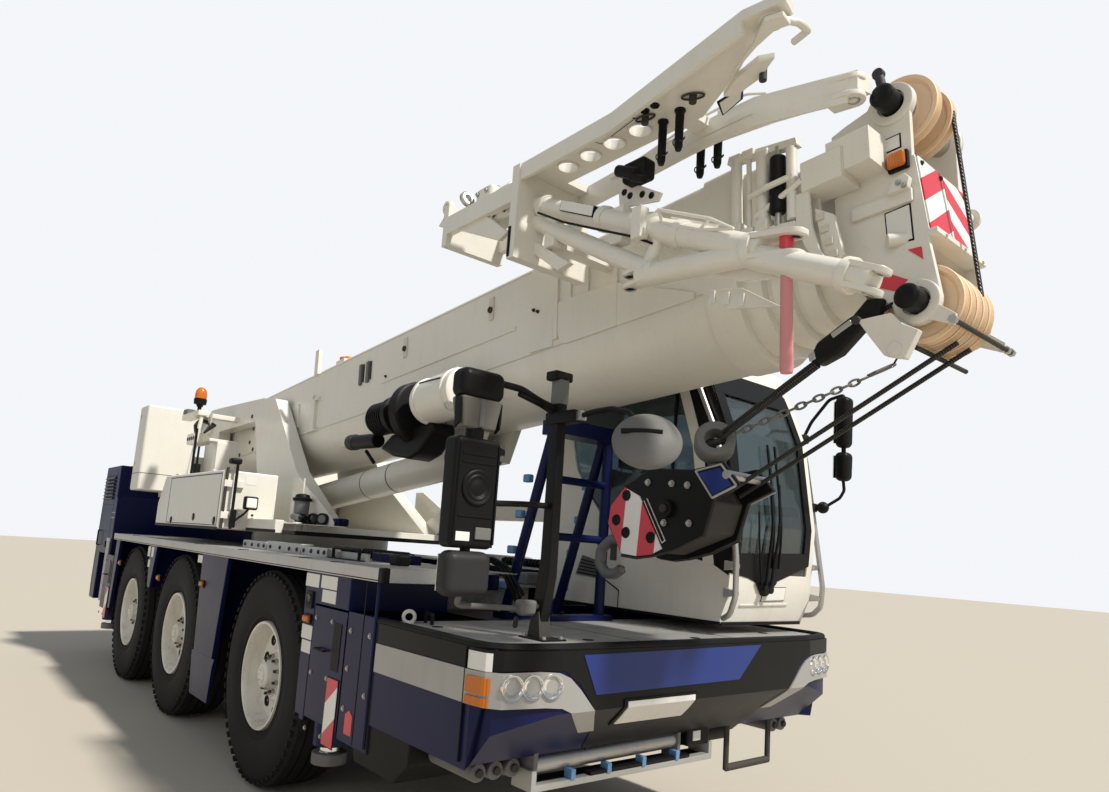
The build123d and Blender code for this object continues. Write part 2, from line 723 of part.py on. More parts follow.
with BuildPart() as boom_head:
    inset = section_step * 4
    rear = inner_rear + inner_stagger * 3
    front = boom_front + collar_step * 4
    boom_section((rear, front + 60), inset, section_wall)
    head_cheek = (
        (front + 10, 180), (front + 70, 200),
        (upper_along - 90, upper_up + 30), (upper_along + 70, upper_up + 30),
        (upper_along + 66, board_top), (lower_along + 54, board_bottom),
        (lower_along + head_lobe, lower_up), (lower_along - head_lobe, lower_up),
        (lower_along - 200, lower_up + 120),
        (front + 40, board_bottom - 30), (front + 10, board_bottom - 30),
    )
    for sign in (1, -1):
        y = sorted((sign * head_half_width, sign * (head_half_width - head_plate)))
        pin_y = sorted((sign * (head_half_width - head_plate), sign * (head_half_width + head_pin_length)))
        boom_side_plate(head_cheek, y)
        for along, up in ((upper_along, upper_up), (lower_along, lower_up)):
            x, _, z = boom_point(along, 0, up)
            rod((x, y[0], z), (x, y[1], z), head_lobe)
            rod((x, pin_y[0], z), (x, pin_y[1], z), head_pin_radius)
    for low, high, reach in ((120, 160, 100), (-400, -360, 170), (-200, -160, 170)):
        boom_side_plate(
            ((front + 20, low), (front + reach, low), (front + reach, high), (front + 20, high)),
            (-head_half_width + 5, head_half_width - 5),
        )
    full_width = (-head_half_width, head_half_width)
    board = (
        (upper_along + 56, board_top), (upper_along + 76, board_top),
        (lower_along + 66, board_bottom - 10), (lower_along + 46, board_bottom - 10),
    )
    boom_side_plate(board, full_width)
    board_foot = (
        (lower_along - 30, board_bottom - 30), (lower_along + 96, board_bottom - 30),
        (lower_along + 96, board_bottom - 6), (lower_along - 30, board_bottom - 6),
    )
    boom_side_plate(board_foot, full_width)
    boom_side_plate(
        ((front + 60, -90), (front + 250, -90), (front + 250, 60), (front + 60, 60)),
        (-head_half_width - 150, -head_half_width + 1),
    )
finish("boom_head", boom_head)

with BuildPart() as head_sheaves:
    for along, up, radius, places in (
        (upper_along, upper_up, upper_radius, (-150, -10)),
        (lower_along, lower_up, lower_radius, [-180 + sheave_pitch * turn for turn in range(5)]),
    ):
        x, _, z = boom_point(along, 0, up)
        cross_pin((x, 0, z), head_half_width - head_plate, sheave_axle_radius)
        for y in places:
            cross_pin((x, y, z), sheave_width / 2, radius)
finish("head_sheaves", head_sheaves)

# A cable drum, its motor and a canister, side by side on the right of the boom:
# along where each starts and ends, y and up of its axis, radius
unit_rolls = (
    (4420, 4770, -600, -620, 120),
    (4769, 4910, -500, -620, 210),
    (5035, 5505, -520, -580, 154),
)
with BuildPart() as side_unit:
    for start, end, y, up, radius in unit_rolls:
        low, high = boom_point(start, y, up), boom_point(end, y, up)
        rod(low, high, radius)
    boom_side_plate(((4800, -640), (5450, -600), (5450, -560), (4800, -560)), (-480, -400))
    for arm_along in (4800, 5100):
        arm = ((arm_along, -640), (arm_along + 60, -640), (arm_along + 60, -280), (arm_along, -280))
        boom_side_plate(arm, (-480, -boom_width / 2 - shaft_gap))
    guard = ((4600, -740), (5150, -720), (5150, -800), (4860, -940), (4440, -830))
    boom_side_plate(guard, (-560, -400))
finish("side_unit", side_unit)

# ---------------------------------------------------------------- luffing cylinder
luff_dx = luff_head[0] - luff_base_x
luff_dz = luff_head[2] - luff_base_z
luff_length = hypot(luff_dx, luff_dz)


def luff_point(along):
    """A point on the cylinder's axis, by its distance from the base pin."""
    share = along / luff_length
    return (luff_base_x + luff_dx * share, 0, luff_base_z + luff_dz * share)


with BuildPart() as luff_barrel:
    rod(luff_point(80), luff_point(luff_length - 330), luff_barrel_radius)
    rod(luff_point(0), luff_point(140), 85)
    cross_pin((luff_base_x, 0, luff_base_z), luff_lug_inner_y, 2 * luff_pin_radius)
    cross_pin((luff_base_x, 0, luff_base_z), 200, luff_pin_radius + shaft_gap, Mode.SUBTRACT)
    rod(luff_point(220), luff_point(luff_length), luff_rod_radius + 1, mode=Mode.SUBTRACT)
finish("luff_barrel", luff_barrel)

with BuildPart() as luff_rod:
    rod(luff_point(240), luff_point(luff_length - 40), luff_rod_radius)
    cross_pin(luff_head, luff_lug_inner_y - 7, 100)
    cross_pin(luff_head, luff_lug_inner_y, luff_pin_radius + 4, Mode.SUBTRACT)
finish("luff_rod", luff_rod)

# ---------------------------------------------------------------- cab arm and cab
with BuildPart() as cab_arm:
    block((cab_arm_rear_x, cab_arm_front_x), (cab_arm_y - cab_arm_half, cab_arm_y + cab_arm_half),
          (cab_arm_z - cab_arm_half, cab_arm_z + cab_arm_half))
    for pin_x in (cab_arm_rear_x, cab_arm_front_x):
        cross_pin((pin_x, cab_arm_y, cab_arm_z), cab_arm_half, cab_arm_half + 5)
        pin_y = (cab_arm_y - cab_lug_outer, cab_arm_y + cab_lug_inner)
        rod((pin_x, pin_y[0], cab_arm_z), (pin_x, pin_y[1], cab_arm_z), cab_pin_radius)
finish("cab_arm", cab_arm)

sill_z, screen_low_z, screen_top_z, window_top_z = 1360, 1560, 2700, 2780
cab_y = (cab_inner_y, cab_outer_y)
cab_profile = (
    (cab_rear_x, cab_floor), (cab_front_x - 40, cab_floor), (cab_front_x + 20, 1420), (cab_front_x + 50, 1850),
    (cab_front_x - 30, 2400), (cab_front_x - 230, cab_roof), (cab_rear_x + 60, cab_roof),
    (cab_rear_x, cab_roof - 80),
)
inside = (
    (cab_rear_x + cab_wall, cab_floor + cab_wall), (cab_front_x - 70, cab_floor + cab_wall),
    (cab_front_x - 25, 1440), (cab_front_x + 5, 1850), (cab_front_x - 75, 2390),
    (cab_front_x - 265, cab_roof - cab_wall), (cab_rear_x + 80, cab_roof - cab_wall),
    (cab_rear_x + cab_wall, cab_roof - 120),
)
windscreen = (
    (cab_front_x - 120, screen_low_z), (cab_front_x + 200, screen_low_z),
    (cab_front_x + 200, screen_top_z), (cab_front_x - 230, screen_top_z),
)
side_window = (
    (cab_rear_x + 100, 1800), (cab_front_x - 60, 1700), (cab_front_x - 130, 2350),
    (cab_front_x - 270, window_top_z), (cab_rear_x + 120, window_top_z),
)
door_hole = (
    (cab_rear_x + 90, sill_z), (cab_front_x - 160, sill_z), (cab_front_x - 80, 1700),
    (cab_front_x - 150, 2350), (cab_front_x - 300, window_top_z), (cab_rear_x + 90, window_top_z),
)
rear_window_y = (cab_inner_y + 90, cab_outer_y - 90)
rear_window_z = (2150, 2720)
cab_lug = (
    (cab_rear_x + 5, 1700), (cab_rear_x + 5, 2080),
    (cab_arm_front_x - 60, cab_arm_z + 70), (cab_arm_front_x - 60, cab_arm_z - 70),
)
with BuildPart() as cab_shell:
    side_plate(cab_profile, cab_y)
    side_plate(inside, (cab_inner_y + cab_wall, cab_outer_y - cab_wall), mode=Mode.SUBTRACT)
    side_plate(windscreen, (cab_inner_y + 60, cab_outer_y - 60), mode=Mode.SUBTRACT)
    side_plate(side_window, (cab_inner_y - 1, cab_inner_y + cab_wall + 1), mode=Mode.SUBTRACT)
    side_plate(door_hole, (cab_outer_y - cab_wall - 1, cab_outer_y + 1), mode=Mode.SUBTRACT)
    block((cab_rear_x - 1, cab_rear_x + cab_wall + 1), rear_window_y, rear_window_z, mode=Mode.SUBTRACT)
    for sign in (1, -1):
        side_plate(cab_lug, sorted((cab_arm_y + sign * cab_lug_inner, cab_arm_y + sign * cab_lug_outer)))
    cross_pin((cab_arm_front_x, cab_arm_y, cab_arm_z), 200, cab_pin_radius + shaft_gap, Mode.SUBTRACT)
finish("cab_shell", cab_shell)

door_window = (
    (cab_rear_x + 170, 1850), (cab_front_x - 160, 1750), (cab_front_x - 220, 2330),
    (cab_front_x - 350, 2700), (cab_rear_x + 170, 2700),
)
door_y = (cab_outer_y - cab_wall + 1, cab_outer_y)
door_hinge_radius = 10
door_leaf_height = 70
door_hinge_x, door_hinge_y = cab_rear_x + 55, cab_outer_y + door_hinge_radius + shaft_gap
with BuildPart() as cab_door:
    side_plate(door_hole, door_y, grow=-moving_gap)
    side_plate(door_window, (cab_outer_y - cab_wall, cab_outer_y + 1), mode=Mode.SUBTRACT)
    for leaf_z in (1500, 2450):
        leaf = (leaf_z, leaf_z + door_leaf_height)
        block((door_hinge_x, cab_rear_x + 160), (cab_outer_y + shaft_gap, door_hinge_y), leaf)
        block((cab_rear_x + 100, cab_rear_x + 160), (cab_outer_y - 5, cab_outer_y + 1), leaf)
        rod((door_hinge_x, door_hinge_y, leaf[0]), (door_hinge_x, door_hinge_y, leaf[1]), door_hinge_radius)
finish("cab_door", cab_door)

with BuildPart() as door_glass:
    side_plate(door_window, (cab_outer_y - 20, cab_outer_y - 14), grow=-shaft_gap)
finish("door_glass", door_glass)

with BuildPart() as cab_glass:
    side_plate(side_window, (cab_inner_y + 14, cab_inner_y + 20), grow=-shaft_gap)
    block((cab_rear_x + 14, cab_rear_x + 20), (rear_window_y[0] + shaft_gap, rear_window_y[1] - shaft_gap),
          (rear_window_z[0] + shaft_gap, rear_window_z[1] - shaft_gap))
    screen_low, screen_top = screen_low_z + shaft_gap, screen_top_z - shaft_gap
    screen = (
        (cab_front_x + 18, screen_low), (cab_front_x + 38, 1850), (cab_front_x - 41, 2398),
        (cab_front_x - 166, screen_top), (cab_front_x - 173, screen_top), (cab_front_x - 48, 2396),
        (cab_front_x + 31, 1850), (cab_front_x + 11, screen_low),
    )
    side_plate(screen, (cab_inner_y + 60 + shaft_gap, cab_outer_y - 60 - shaft_gap))
finish("cab_glass", cab_glass)

rail_x, rail_y = cab_front_x + 60, cab_outer_y + 40
cab_mirror_width = 110
with BuildPart() as cab_mirrors:
    rod((rail_x, rail_y, 1320), (rail_x, rail_y, 2500), 18)
    for z in (1320, 2500):
        rod((rail_x, rail_y, z), (cab_front_x - 100, rail_y, z), 18)
        rod((cab_front_x - 100, rail_y, z), (cab_front_x - 100, cab_outer_y + shaft_gap, z), 18)
    rod((rail_x, rail_y, 2250), (rail_x + 30, mirror_reach_y - cab_mirror_width / 2, 2250), 14)
    for low, high in ((2080, 2240), (2260, 2640)):
        block((rail_x - 10, rail_x + 70), (mirror_reach_y - cab_mirror_width, mirror_reach_y), (low, high))
finish("cab_mirrors", cab_mirrors)

with BuildPart() as cab_seat:
    block((1250, 1750), (cab_inner_y + 170, cab_outer_y - 170), (1560, 1700))
    block((1180, 1300), (cab_inner_y + 190, cab_outer_y - 190), (1690, 2350))
    block((1350, 1650), (cab_inner_y + 270, cab_outer_y - 270), (cab_floor + cab_wall + shaft_gap, 1570))
finish("cab_seat", cab_seat)

# ---------------------------------------------------------------- hook block and jib
rope_radius = 10
rope_from = (2880, 1985)
sheave_x, _, sheave_z = boom_point(lower_along, 0, lower_up)
rope_reach = lower_radius + rope_radius + shaft_gap
rope_rise = atan2(sheave_z - rope_from[1], sheave_x - rope_from[0])
rope_span = hypot(sheave_x - rope_from[0], sheave_z - rope_from[1])
rope_slope = rope_rise - asin(rope_reach / rope_span)
rope_length = sqrt(rope_span**2 - rope_reach**2)
rope_to = (rope_from[0] + rope_length * cos(rope_slope), rope_from[1] + rope_length * sin(rope_slope))
hook_cheek = (
    (2153, 1780), (2272, 1613), (2383, 1605), (2489, 1620), (2636, 1658), (2797, 1728), (2855, 1908),
    (2998, 1969), (2902, 2079), (2709, 2052), (2457, 2069), (2272, 1984), (2168, 1880),
)
hook_core = (
    (2710, 2040), (2470, 2050), (2290, 1960), (2210, 1860),
    (2300, 1650), (2480, 1640), (2780, 1750), (2840, 1900),
)
hook_half, hook_plate = 150, 30
hook_middle_y = -100
with BuildPart() as hook_block:
    for sign in (1, -1):
        ends = (hook_middle_y + sign * hook_half, hook_middle_y + sign * (hook_half - hook_plate))
        side_plate(hook_cheek, sorted(ends))
    side_plate(hook_core, (hook_middle_y - hook_half + 1, hook_middle_y + hook_half - 1))
    for y in (-120, 0):
        rod((rope_from[0] - 160, y, rope_from[1] - 150), (rope_from[0], y, rope_from[1]), 2 * rope_radius)
        rod((rope_from[0], y, rope_from[1]), (rope_to[0], y, rope_to[1]), rope_radius)
    rod((2350, hook_middle_y, 1800), (2080, hook_middle_y, 1690), 38)
    hook_bend = (
        (2110, 1735), (2010, 1730), (1930, 1660), (1925, 1560), (1990, 1490), (2080, 1480), (2150, 1530),
        (2100, 1560), (2060, 1545), (2010, 1560), (1985, 1610), (2020, 1660), (2100, 1665),
    )
    side_plate(hook_bend, (hook_middle_y - 30, hook_middle_y + 30))
finish("hook_block", hook_block)

jib_y = -750
jib_top = 3640
foot_plate = 40
# tubes of the folded A-frame: start x, start z, end x, end z, radius
jib_tubes = (
    (2000, jib_top - 185, 3440, 2815, 55),
    (2000, jib_top - 280, 2830, 2890, 45),
    (2790, 2868, 3440, 2812, 50),
    (3400, 2800, 3880, 2590, 52),
    (2830, 2880, 2900, 3060, 30),
)
with BuildPart() as jib:
    for start_x, start_z, end_x, end_z, radius in jib_tubes:
        rod((start_x, jib_y, start_z), (end_x, jib_y, end_z), radius)
    block((1950, 2010), (jib_y - 160, -400), (jib_top - 520, jib_top))
    foot = (
        (1960, -900), (2190, -900), (2690, -905), (3100, -945), (3510, -1035), (3680, -1010), (3660, -930),
        (3500, -920), (3330, -800), (3020, -640), (1960, -640),
    )
    flat_plate(foot, (jib_top - foot_plate, jib_top))
    foot_flange = ((1960, -900), (2690, -905), (3510, -1035), (3510, -1015), (2690, -885), (1960, -880))
    flat_plate(foot_flange, (jib_top - 90, jib_top))
    for hole_x in (2230, 2400, 2570, 2740):
        with Locations((at(hole_x), -760, jib_top)):
            Cylinder(50, 3 * foot_plate, mode=Mode.SUBTRACT)
    second_bar = (
        (1960, -480), (2930, -560), (3230, -560), (3640, -430),
        (3660, -350), (3250, -440), (2930, -480), (1960, -400),
    )
    flat_plate(second_bar, (jib_top - 80, jib_top))
    for cross_x in (2000, 2900):
        block((cross_x, cross_x + 90), (-660, -470), (jib_top - foot_plate, jib_top))
    for y in (jib_y - 150, -520):
        block((1250, 1960), (y, y + 40), (jib_top - 190, jib_top - 80))
    block((1250, 1300), (jib_y - 150, -480), (jib_top - 260, jib_top))
    root_x, root_z, tip_x, tip_z = jib_tubes[0][:4]
    for bracket_x, low_z, high_z in ((2100, 3180, 3400), (2600, 3060, 3240)):
        # the bracket reaches the upper tube wherever the jib's top puts it
        tube_z = root_z + (tip_z - root_z) * (bracket_x + 40 - root_x) / (tip_x - root_x)
        reach = sorted((low_z, high_z, tube_z))
        block((bracket_x, bracket_x + 80), (jib_y + 20, -boom_width / 2 - shaft_gap), (3180, 3240))
        block((bracket_x, bracket_x + 80), (jib_y - 30, jib_y + 30), (reach[0], reach[-1]))
finish("jib", jib)
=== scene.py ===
import bpy, bmesh, json, math
from mathutils import Matrix, Vector


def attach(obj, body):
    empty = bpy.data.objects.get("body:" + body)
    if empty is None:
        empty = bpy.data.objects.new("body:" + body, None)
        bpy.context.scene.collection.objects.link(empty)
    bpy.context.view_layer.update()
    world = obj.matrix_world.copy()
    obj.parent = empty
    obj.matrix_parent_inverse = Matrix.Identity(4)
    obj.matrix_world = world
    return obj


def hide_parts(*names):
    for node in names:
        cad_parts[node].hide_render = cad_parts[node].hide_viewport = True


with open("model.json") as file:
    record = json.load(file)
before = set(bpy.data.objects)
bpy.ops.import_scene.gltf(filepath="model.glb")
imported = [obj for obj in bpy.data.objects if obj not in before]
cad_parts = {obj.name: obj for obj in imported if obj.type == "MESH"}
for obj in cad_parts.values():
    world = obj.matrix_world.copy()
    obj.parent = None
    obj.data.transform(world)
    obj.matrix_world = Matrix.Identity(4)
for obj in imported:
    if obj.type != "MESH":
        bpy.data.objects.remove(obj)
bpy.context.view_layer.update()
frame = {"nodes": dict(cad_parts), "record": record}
frontAxle = 1.07   # x of the front axle in the frame; the crane's own x below start there


def addCamera():
    settings = dict(
        place=(5.085 + frontAxle, -3.106, 1.617), yaw=2.444, pitch=0.139, roll=0.069,
        lens=24.5, sensor=36, shiftX=-0.0013, shiftY=0.0439,
    )
    yaw, pitch, roll = settings["yaw"], settings["pitch"], settings["roll"]
    forward = Vector((math.cos(pitch) * math.cos(yaw), math.cos(pitch) * math.sin(yaw), math.sin(pitch)))
    levelRight = forward.cross(Vector((0, 0, 1))).normalized()
    levelUp = levelRight.cross(forward)
    right = levelRight * math.cos(roll) + levelUp * math.sin(roll)
    up = levelUp * math.cos(roll) - levelRight * math.sin(roll)
    data = bpy.data.cameras.new("camera")
    data.sensor_width = settings["sensor"]
    data.lens = settings["lens"]
    data.shift_x = settings["shiftX"]
    data.shift_y = settings["shiftY"]
    camera = bpy.data.objects.new("camera", data)
    turn = Matrix((right, up, -forward)).transposed().to_4x4()
    camera.matrix_world = Matrix.Translation(Vector(settings["place"])) @ turn
    bpy.context.scene.collection.objects.link(camera)
    bpy.context.scene.camera = camera


def addStudio():
    # suns: name, power, way, spread in degrees
    settings = dict(
        floorSize=60, floorColor=(0.46, 0.415, 0.345, 1), floorRough=0.85,
        sky=0.42, skyColor=(0.84, 0.92, 1, 1), backdrop=0.95, backdropColor=(0.95, 0.97, 1, 1),
        suns=(("keySun", 4.8, (-0.60, -0.20, -0.78), 4), ("fillSun", 0.35, (-0.5, 0.75, -0.45), 40)),
        sunColor=(1, 0.96, 0.9),
    )
    builder = bmesh.new()
    bmesh.ops.create_grid(builder, x_segments=1, y_segments=1, size=settings["floorSize"])
    mesh = bpy.data.meshes.new("floor")
    builder.to_mesh(mesh)
    builder.free()
    floor = bpy.data.objects.new("floor", mesh)
    bpy.context.scene.collection.objects.link(floor)
    paleFloor = bpy.data.materials.new("paleFloor")
    paleFloor.use_nodes = True
    shader = paleFloor.node_tree.nodes["Principled BSDF"]
    shader.inputs["Base Color"].default_value = settings["floorColor"]
    shader.inputs["Roughness"].default_value = settings["floorRough"]
    mesh.materials.append(paleFloor)
    world = bpy.data.worlds.new("studio")
    world.use_nodes = True
    tree = world.node_tree
    sky = tree.nodes["Background"]
    sky.inputs["Color"].default_value = settings["skyColor"]
    sky.inputs["Strength"].default_value = settings["sky"]
    backdrop = tree.nodes.new("ShaderNodeBackground")
    backdrop.inputs["Color"].default_value = settings["backdropColor"]
    backdrop.inputs["Strength"].default_value = settings["backdrop"]
    seen = tree.nodes.new("ShaderNodeLightPath")
    choice = tree.nodes.new("ShaderNodeMixShader")
    tree.links.new(seen.outputs["Is Camera Ray"], choice.inputs[0])
    tree.links.new(sky.outputs[0], choice.inputs[1])
    tree.links.new(backdrop.outputs[0], choice.inputs[2])
    tree.links.new(choice.outputs[0], tree.nodes["World Output"].inputs["Surface"])
    bpy.context.scene.world = world
    bpy.context.scene.view_settings.view_transform = "Standard"
    for name, power, way, angle in settings["suns"]:
        light = bpy.data.lights.new(name, "SUN")
        light.energy = power
        light.angle = math.radians(angle)
        light.color = settings["sunColor"]
        lamp = bpy.data.objects.new(name, light)
        lamp.rotation_euler = Vector(way).to_track_quat("-Z", "Y").to_euler()
        bpy.context.scene.collection.objects.link(lamp)


def link(tree, source, target):
    tree.links.new(source, target)


def addNode(tree, kind, **values):
    node = tree.nodes.new(kind)
    for key, value in values.items():
        if hasattr(node, key):
            setattr(node, key, value)
        else:
            node.inputs[key].default_value = value
    return node


def mathNode(tree, operation, first, second=None):
    node = tree.nodes.new("ShaderNodeMath")
    node.operation = operation
    for place, value in enumerate((first, second)):
        if value is None:
            continue
        if isinstance(value, (int, float)):
            node.inputs[place].default_value = value
        else:
            link(tree, value, node.inputs[place])
    return node.outputs[0]


def noise(tree, vector, scale, detail=4, rough=0.55):
    node = tree.nodes.new("ShaderNodeTexNoise")
    node.inputs["Scale"].default_value = scale
    node.inputs["Detail"].default_value = detail
    node.inputs["Roughness"].default_value = rough
    link(tree, vector, node.inputs["Vector"])
    return node.outputs["Fac"]


def rangeOf(tree, value, low, high, toLow=0.0, toHigh=1.0):
    node = tree.nodes.new("ShaderNodeMapRange")
    node.inputs["From Min"].default_value = low
    node.inputs["From Max"].default_value = high
    node.inputs["To Min"].default_value = toLow
    node.inputs["To Max"].default_value = toHigh
    link(tree, value, node.inputs["Value"])
    return node.outputs["Result"]


def mixColor(tree, factor, first, second):
    node = tree.nodes.new("ShaderNodeMix")
    node.data_type = "RGBA"
    for place, value in ((0, factor), (6, first), (7, second)):
        if isinstance(value, (int, float, tuple)):
            node.inputs[place].default_value = value
        else:
            link(tree, value, node.inputs[place])
    return node.outputs[2]


def objectPlace(tree):
    return addNode(tree, "ShaderNodeTexCoord").outputs["Object"]


def addBump(tree, shader, height, strength, distance):
    bump = addNode(tree, "ShaderNodeBump", Strength=strength, Distance=distance)
    link(tree, height, bump.inputs["Height"])
    link(tree, bump.outputs["Normal"], shader.inputs["Normal"])


def groupWith(name, sockets):
    tree = bpy.data.node_groups.new(name, "ShaderNodeTree")
    for label, way, kind, value in sockets:
        socket = tree.interface.new_socket(label, in_out=way, socket_type=kind)
        if value is not None:
            socket.default_value = value
    return tree, tree.nodes.new("NodeGroupInput"), tree.nodes.new("NodeGroupOutput")


def makeWeathering():
    # paint that fades in patches, gathers road dust low down and runs in faint streaks
    tree, given, made = groupWith("weathering", (
        ("Color", "INPUT", "NodeSocketColor", (0.8, 0.8, 0.8, 1)),
        ("Dirt", "INPUT", "NodeSocketColor", (0.25, 0.2, 0.14, 1)),
        ("Amount", "INPUT", "NodeSocketFloat", 0.3),
        ("Gloss", "INPUT", "NodeSocketFloat", 0.35),
        ("Grain", "INPUT", "NodeSocketFloat", 0.3),
        ("Color", "OUTPUT", "NodeSocketColor", None),
        ("Roughness", "OUTPUT", "NodeSocketFloat", None),
        ("Normal", "OUTPUT", "NodeSocketVector", None),
    ))
    place = objectPlace(tree)
    stretch = addNode(tree, "ShaderNodeMapping")
    stretch.inputs["Scale"].default_value = (1, 1, 0.12)
    link(tree, place, stretch.inputs["Vector"])
    streaks = rangeOf(tree, noise(tree, stretch.outputs["Vector"], 14, 6, 0.6), 0.5, 0.78)
    patches = rangeOf(tree, noise(tree, place, 2.2, 6, 0.6), 0.35, 0.75)
    specks = rangeOf(tree, noise(tree, place, 60, 3, 0.5), 0.62, 0.74)
    height = addNode(tree, "ShaderNodeSeparateXYZ")
    link(tree, place, height.inputs[0])
    low = rangeOf(tree, height.outputs["Z"], 1.6, 0.4, 0.25, 1.0)
    mask = mathNode(tree, "MULTIPLY", mathNode(tree, "ADD", streaks, patches), low)
    mask = mathNode(tree, "ADD", mathNode(tree, "MULTIPLY", mask, 0.8),
                    mathNode(tree, "MULTIPLY", specks, 0.35))
    mask = mathNode(tree, "MULTIPLY", mask, given.outputs["Amount"])
    clamped = addNode(tree, "ShaderNodeClamp")
    link(tree, mask, clamped.inputs["Value"])
    link(tree, mixColor(tree, clamped.outputs[0], given.outputs["Color"], given.outputs["Dirt"]),
         made.inputs["Color"])
    rough = mathNode(tree, "ADD", given.outputs["Gloss"],
                     mathNode(tree, "MULTIPLY", clamped.outputs[0], 0.45))
    rough = mathNode(tree, "ADD", rough, mathNode(tree, "MULTIPLY", patches, 0.06))
    link(tree, rough, made.inputs["Roughness"])
    bump = addNode(tree, "ShaderNodeBump")
    bump.inputs["Distance"].default_value = 0.002
    link(tree, given.outputs["Grain"], bump.inputs["Strength"])
    link(tree, noise(tree, place, 110, 3, 0.5), bump.inputs["Height"])
    link(tree, bump.outputs["Normal"], made.inputs["Normal"])
    return tree


weathering = makeWeathering()
finishes = {}     # finish name -> material


def newFinish(name):
    material = bpy.data.materials.new(name)
    material.use_nodes = True
    finishes[name] = material
    return material.node_tree, material.node_tree.nodes["Principled BSDF"]


def weathered(name, color, dirt=None, amount=0.3, gloss=0.35, grain=0.25, metallic=0.0, coat=0.0):
    tree, shader = newFinish(name)
    if dirt is None:
        depth = 0.06 + 0.94 * (sum(color) / 3) ** 0.5
        dirt = (0.30 * depth, 0.235 * depth, 0.15 * depth, 1)
    shader.inputs["Specular IOR Level"].default_value = 0.5 if sum(color) > 0.5 else 0.14
    shader.inputs["Metallic"].default_value = metallic
    shader.inputs["Coat Weight"].default_value = coat
    shader.inputs["Coat Roughness"].default_value = 0.12
    group = tree.nodes.new("ShaderNodeGroup")
    group.node_tree = weathering
    group.inputs["Color"].default_value = (*color, 1)
    group.inputs["Dirt"].default_value = dirt
    group.inputs["Amount"].default_value = amount
    group.inputs["Gloss"].default_value = gloss
    group.inputs["Grain"].default_value = grain
    link(tree, group.outputs["Color"], shader.inputs["Base Color"])
    link(tree, group.outputs["Roughness"], shader.inputs["Roughness"])
    link(tree, group.outputs["Normal"], shader.inputs["Normal"])
    return shader


def makePaints():
    # name, slot, color, dirt amount, gloss, grain, metallic, coat
    table = (
        ("ivoryPaint", "white_paint", (0.73, 0.705, 0.635), 0.36, 0.34, 0.12, 0, 0.25),
        ("creamPlate", "white_paint", (0.62, 0.58, 0.49), 0.5, 0.45, 0.2, 0, 0.1),
        ("navyPaint", "navy_paint", (0.004, 0.007, 0.050), 0.12, 0.3, 0.1, 0, 0.08),
        ("skyBluePanel", "navy_paint", (0.012, 0.030, 0.17), 0.1, 0.3, 0.05, 0, 0.4),
        ("silverBand", "navy_paint", (0.36, 0.355, 0.34), 0.25, 0.4, 0.1, 0.3, 0.2),
        ("blackPaint", "black_paint", (0.007, 0.007, 0.0075), 0.14, 0.34, 0.15, 0, 0.04),
        ("darkSteel", "black_steel", (0.055, 0.052, 0.05), 0.5, 0.55, 0.6, 0.2, 0),
        ("castIron", "engine_iron", (0.17, 0.17, 0.175), 0.5, 0.6, 0.9, 0.3, 0),
        ("bareAluminium", "deck_plate", (0.56, 0.56, 0.55), 0.35, 0.38, 0.3, 0.85, 0),
        ("rimPaint", "rim_paint", (0.76, 0.73, 0.66), 0.55, 0.42, 0.2, 0, 0.15),
        ("rodChrome", "rod_chrome", (0.78, 0.78, 0.79), 0.05, 0.1, 0.05, 1, 0),
        ("brushedSteel", "winch_steel", (0.50, 0.49, 0.47), 0.3, 0.36, 0.5, 0.9, 0),
        ("blackPlastic", "black_plastic", (0.007, 0.007, 0.0075), 0.12, 0.42, 0.5, 0, 0),
        ("greyPlastic", "black_plastic", (0.15, 0.15, 0.145), 0.3, 0.5, 0.3, 0, 0),
        ("lampRed", "white_paint", (0.55, 0.02, 0.03), 0.1, 0.3, 0.05, 0, 0.3),
        ("signRed", "white_paint", (0.62, 0.035, 0.06), 0.12, 0.35, 0.1, 0, 0.2),
        ("signWhite", "white_paint", (0.80, 0.79, 0.75), 0.15, 0.35, 0.1, 0, 0.2),
        ("fadedPink", "white_paint", (0.60, 0.24, 0.25), 0.35, 0.6, 0.4, 0, 0),
        ("redCloth", "black_plastic", (0.20, 0.015, 0.025), 0.25, 0.8, 0.6, 0, 0),
        ("labelWhite", "white_paint", (0.72, 0.71, 0.67), 0.2, 0.45, 0.05, 0, 0),
        ("amberPaint", "white_paint", (0.72, 0.20, 0.02), 0.15, 0.4, 0.1, 0, 0.2),
        ("hoseBlue", "navy_paint", (0.09, 0.22, 0.42), 0.2, 0.4, 0.2, 0, 0.1),
        ("frostedCover", "black_plastic", (0.13, 0.125, 0.11), 0.3, 0.3, 0.3, 0, 0.3),
        ("mirrorBack", "black_plastic", (0.028, 0.028, 0.03), 0.2, 0.40, 0.5, 0, 0),
    )
    for name, slotName, color, amount, gloss, grain, metallic, coat in table:
        weathered(name, color, amount=amount, gloss=gloss, grain=grain, metallic=metallic,
                  coat=coat)


def makeRubber():
    weathered("tyreRubber", (0.011, 0.011, 0.012), dirt=(0.055, 0.047, 0.036, 1),
              amount=0.4, gloss=0.62, grain=0.6)


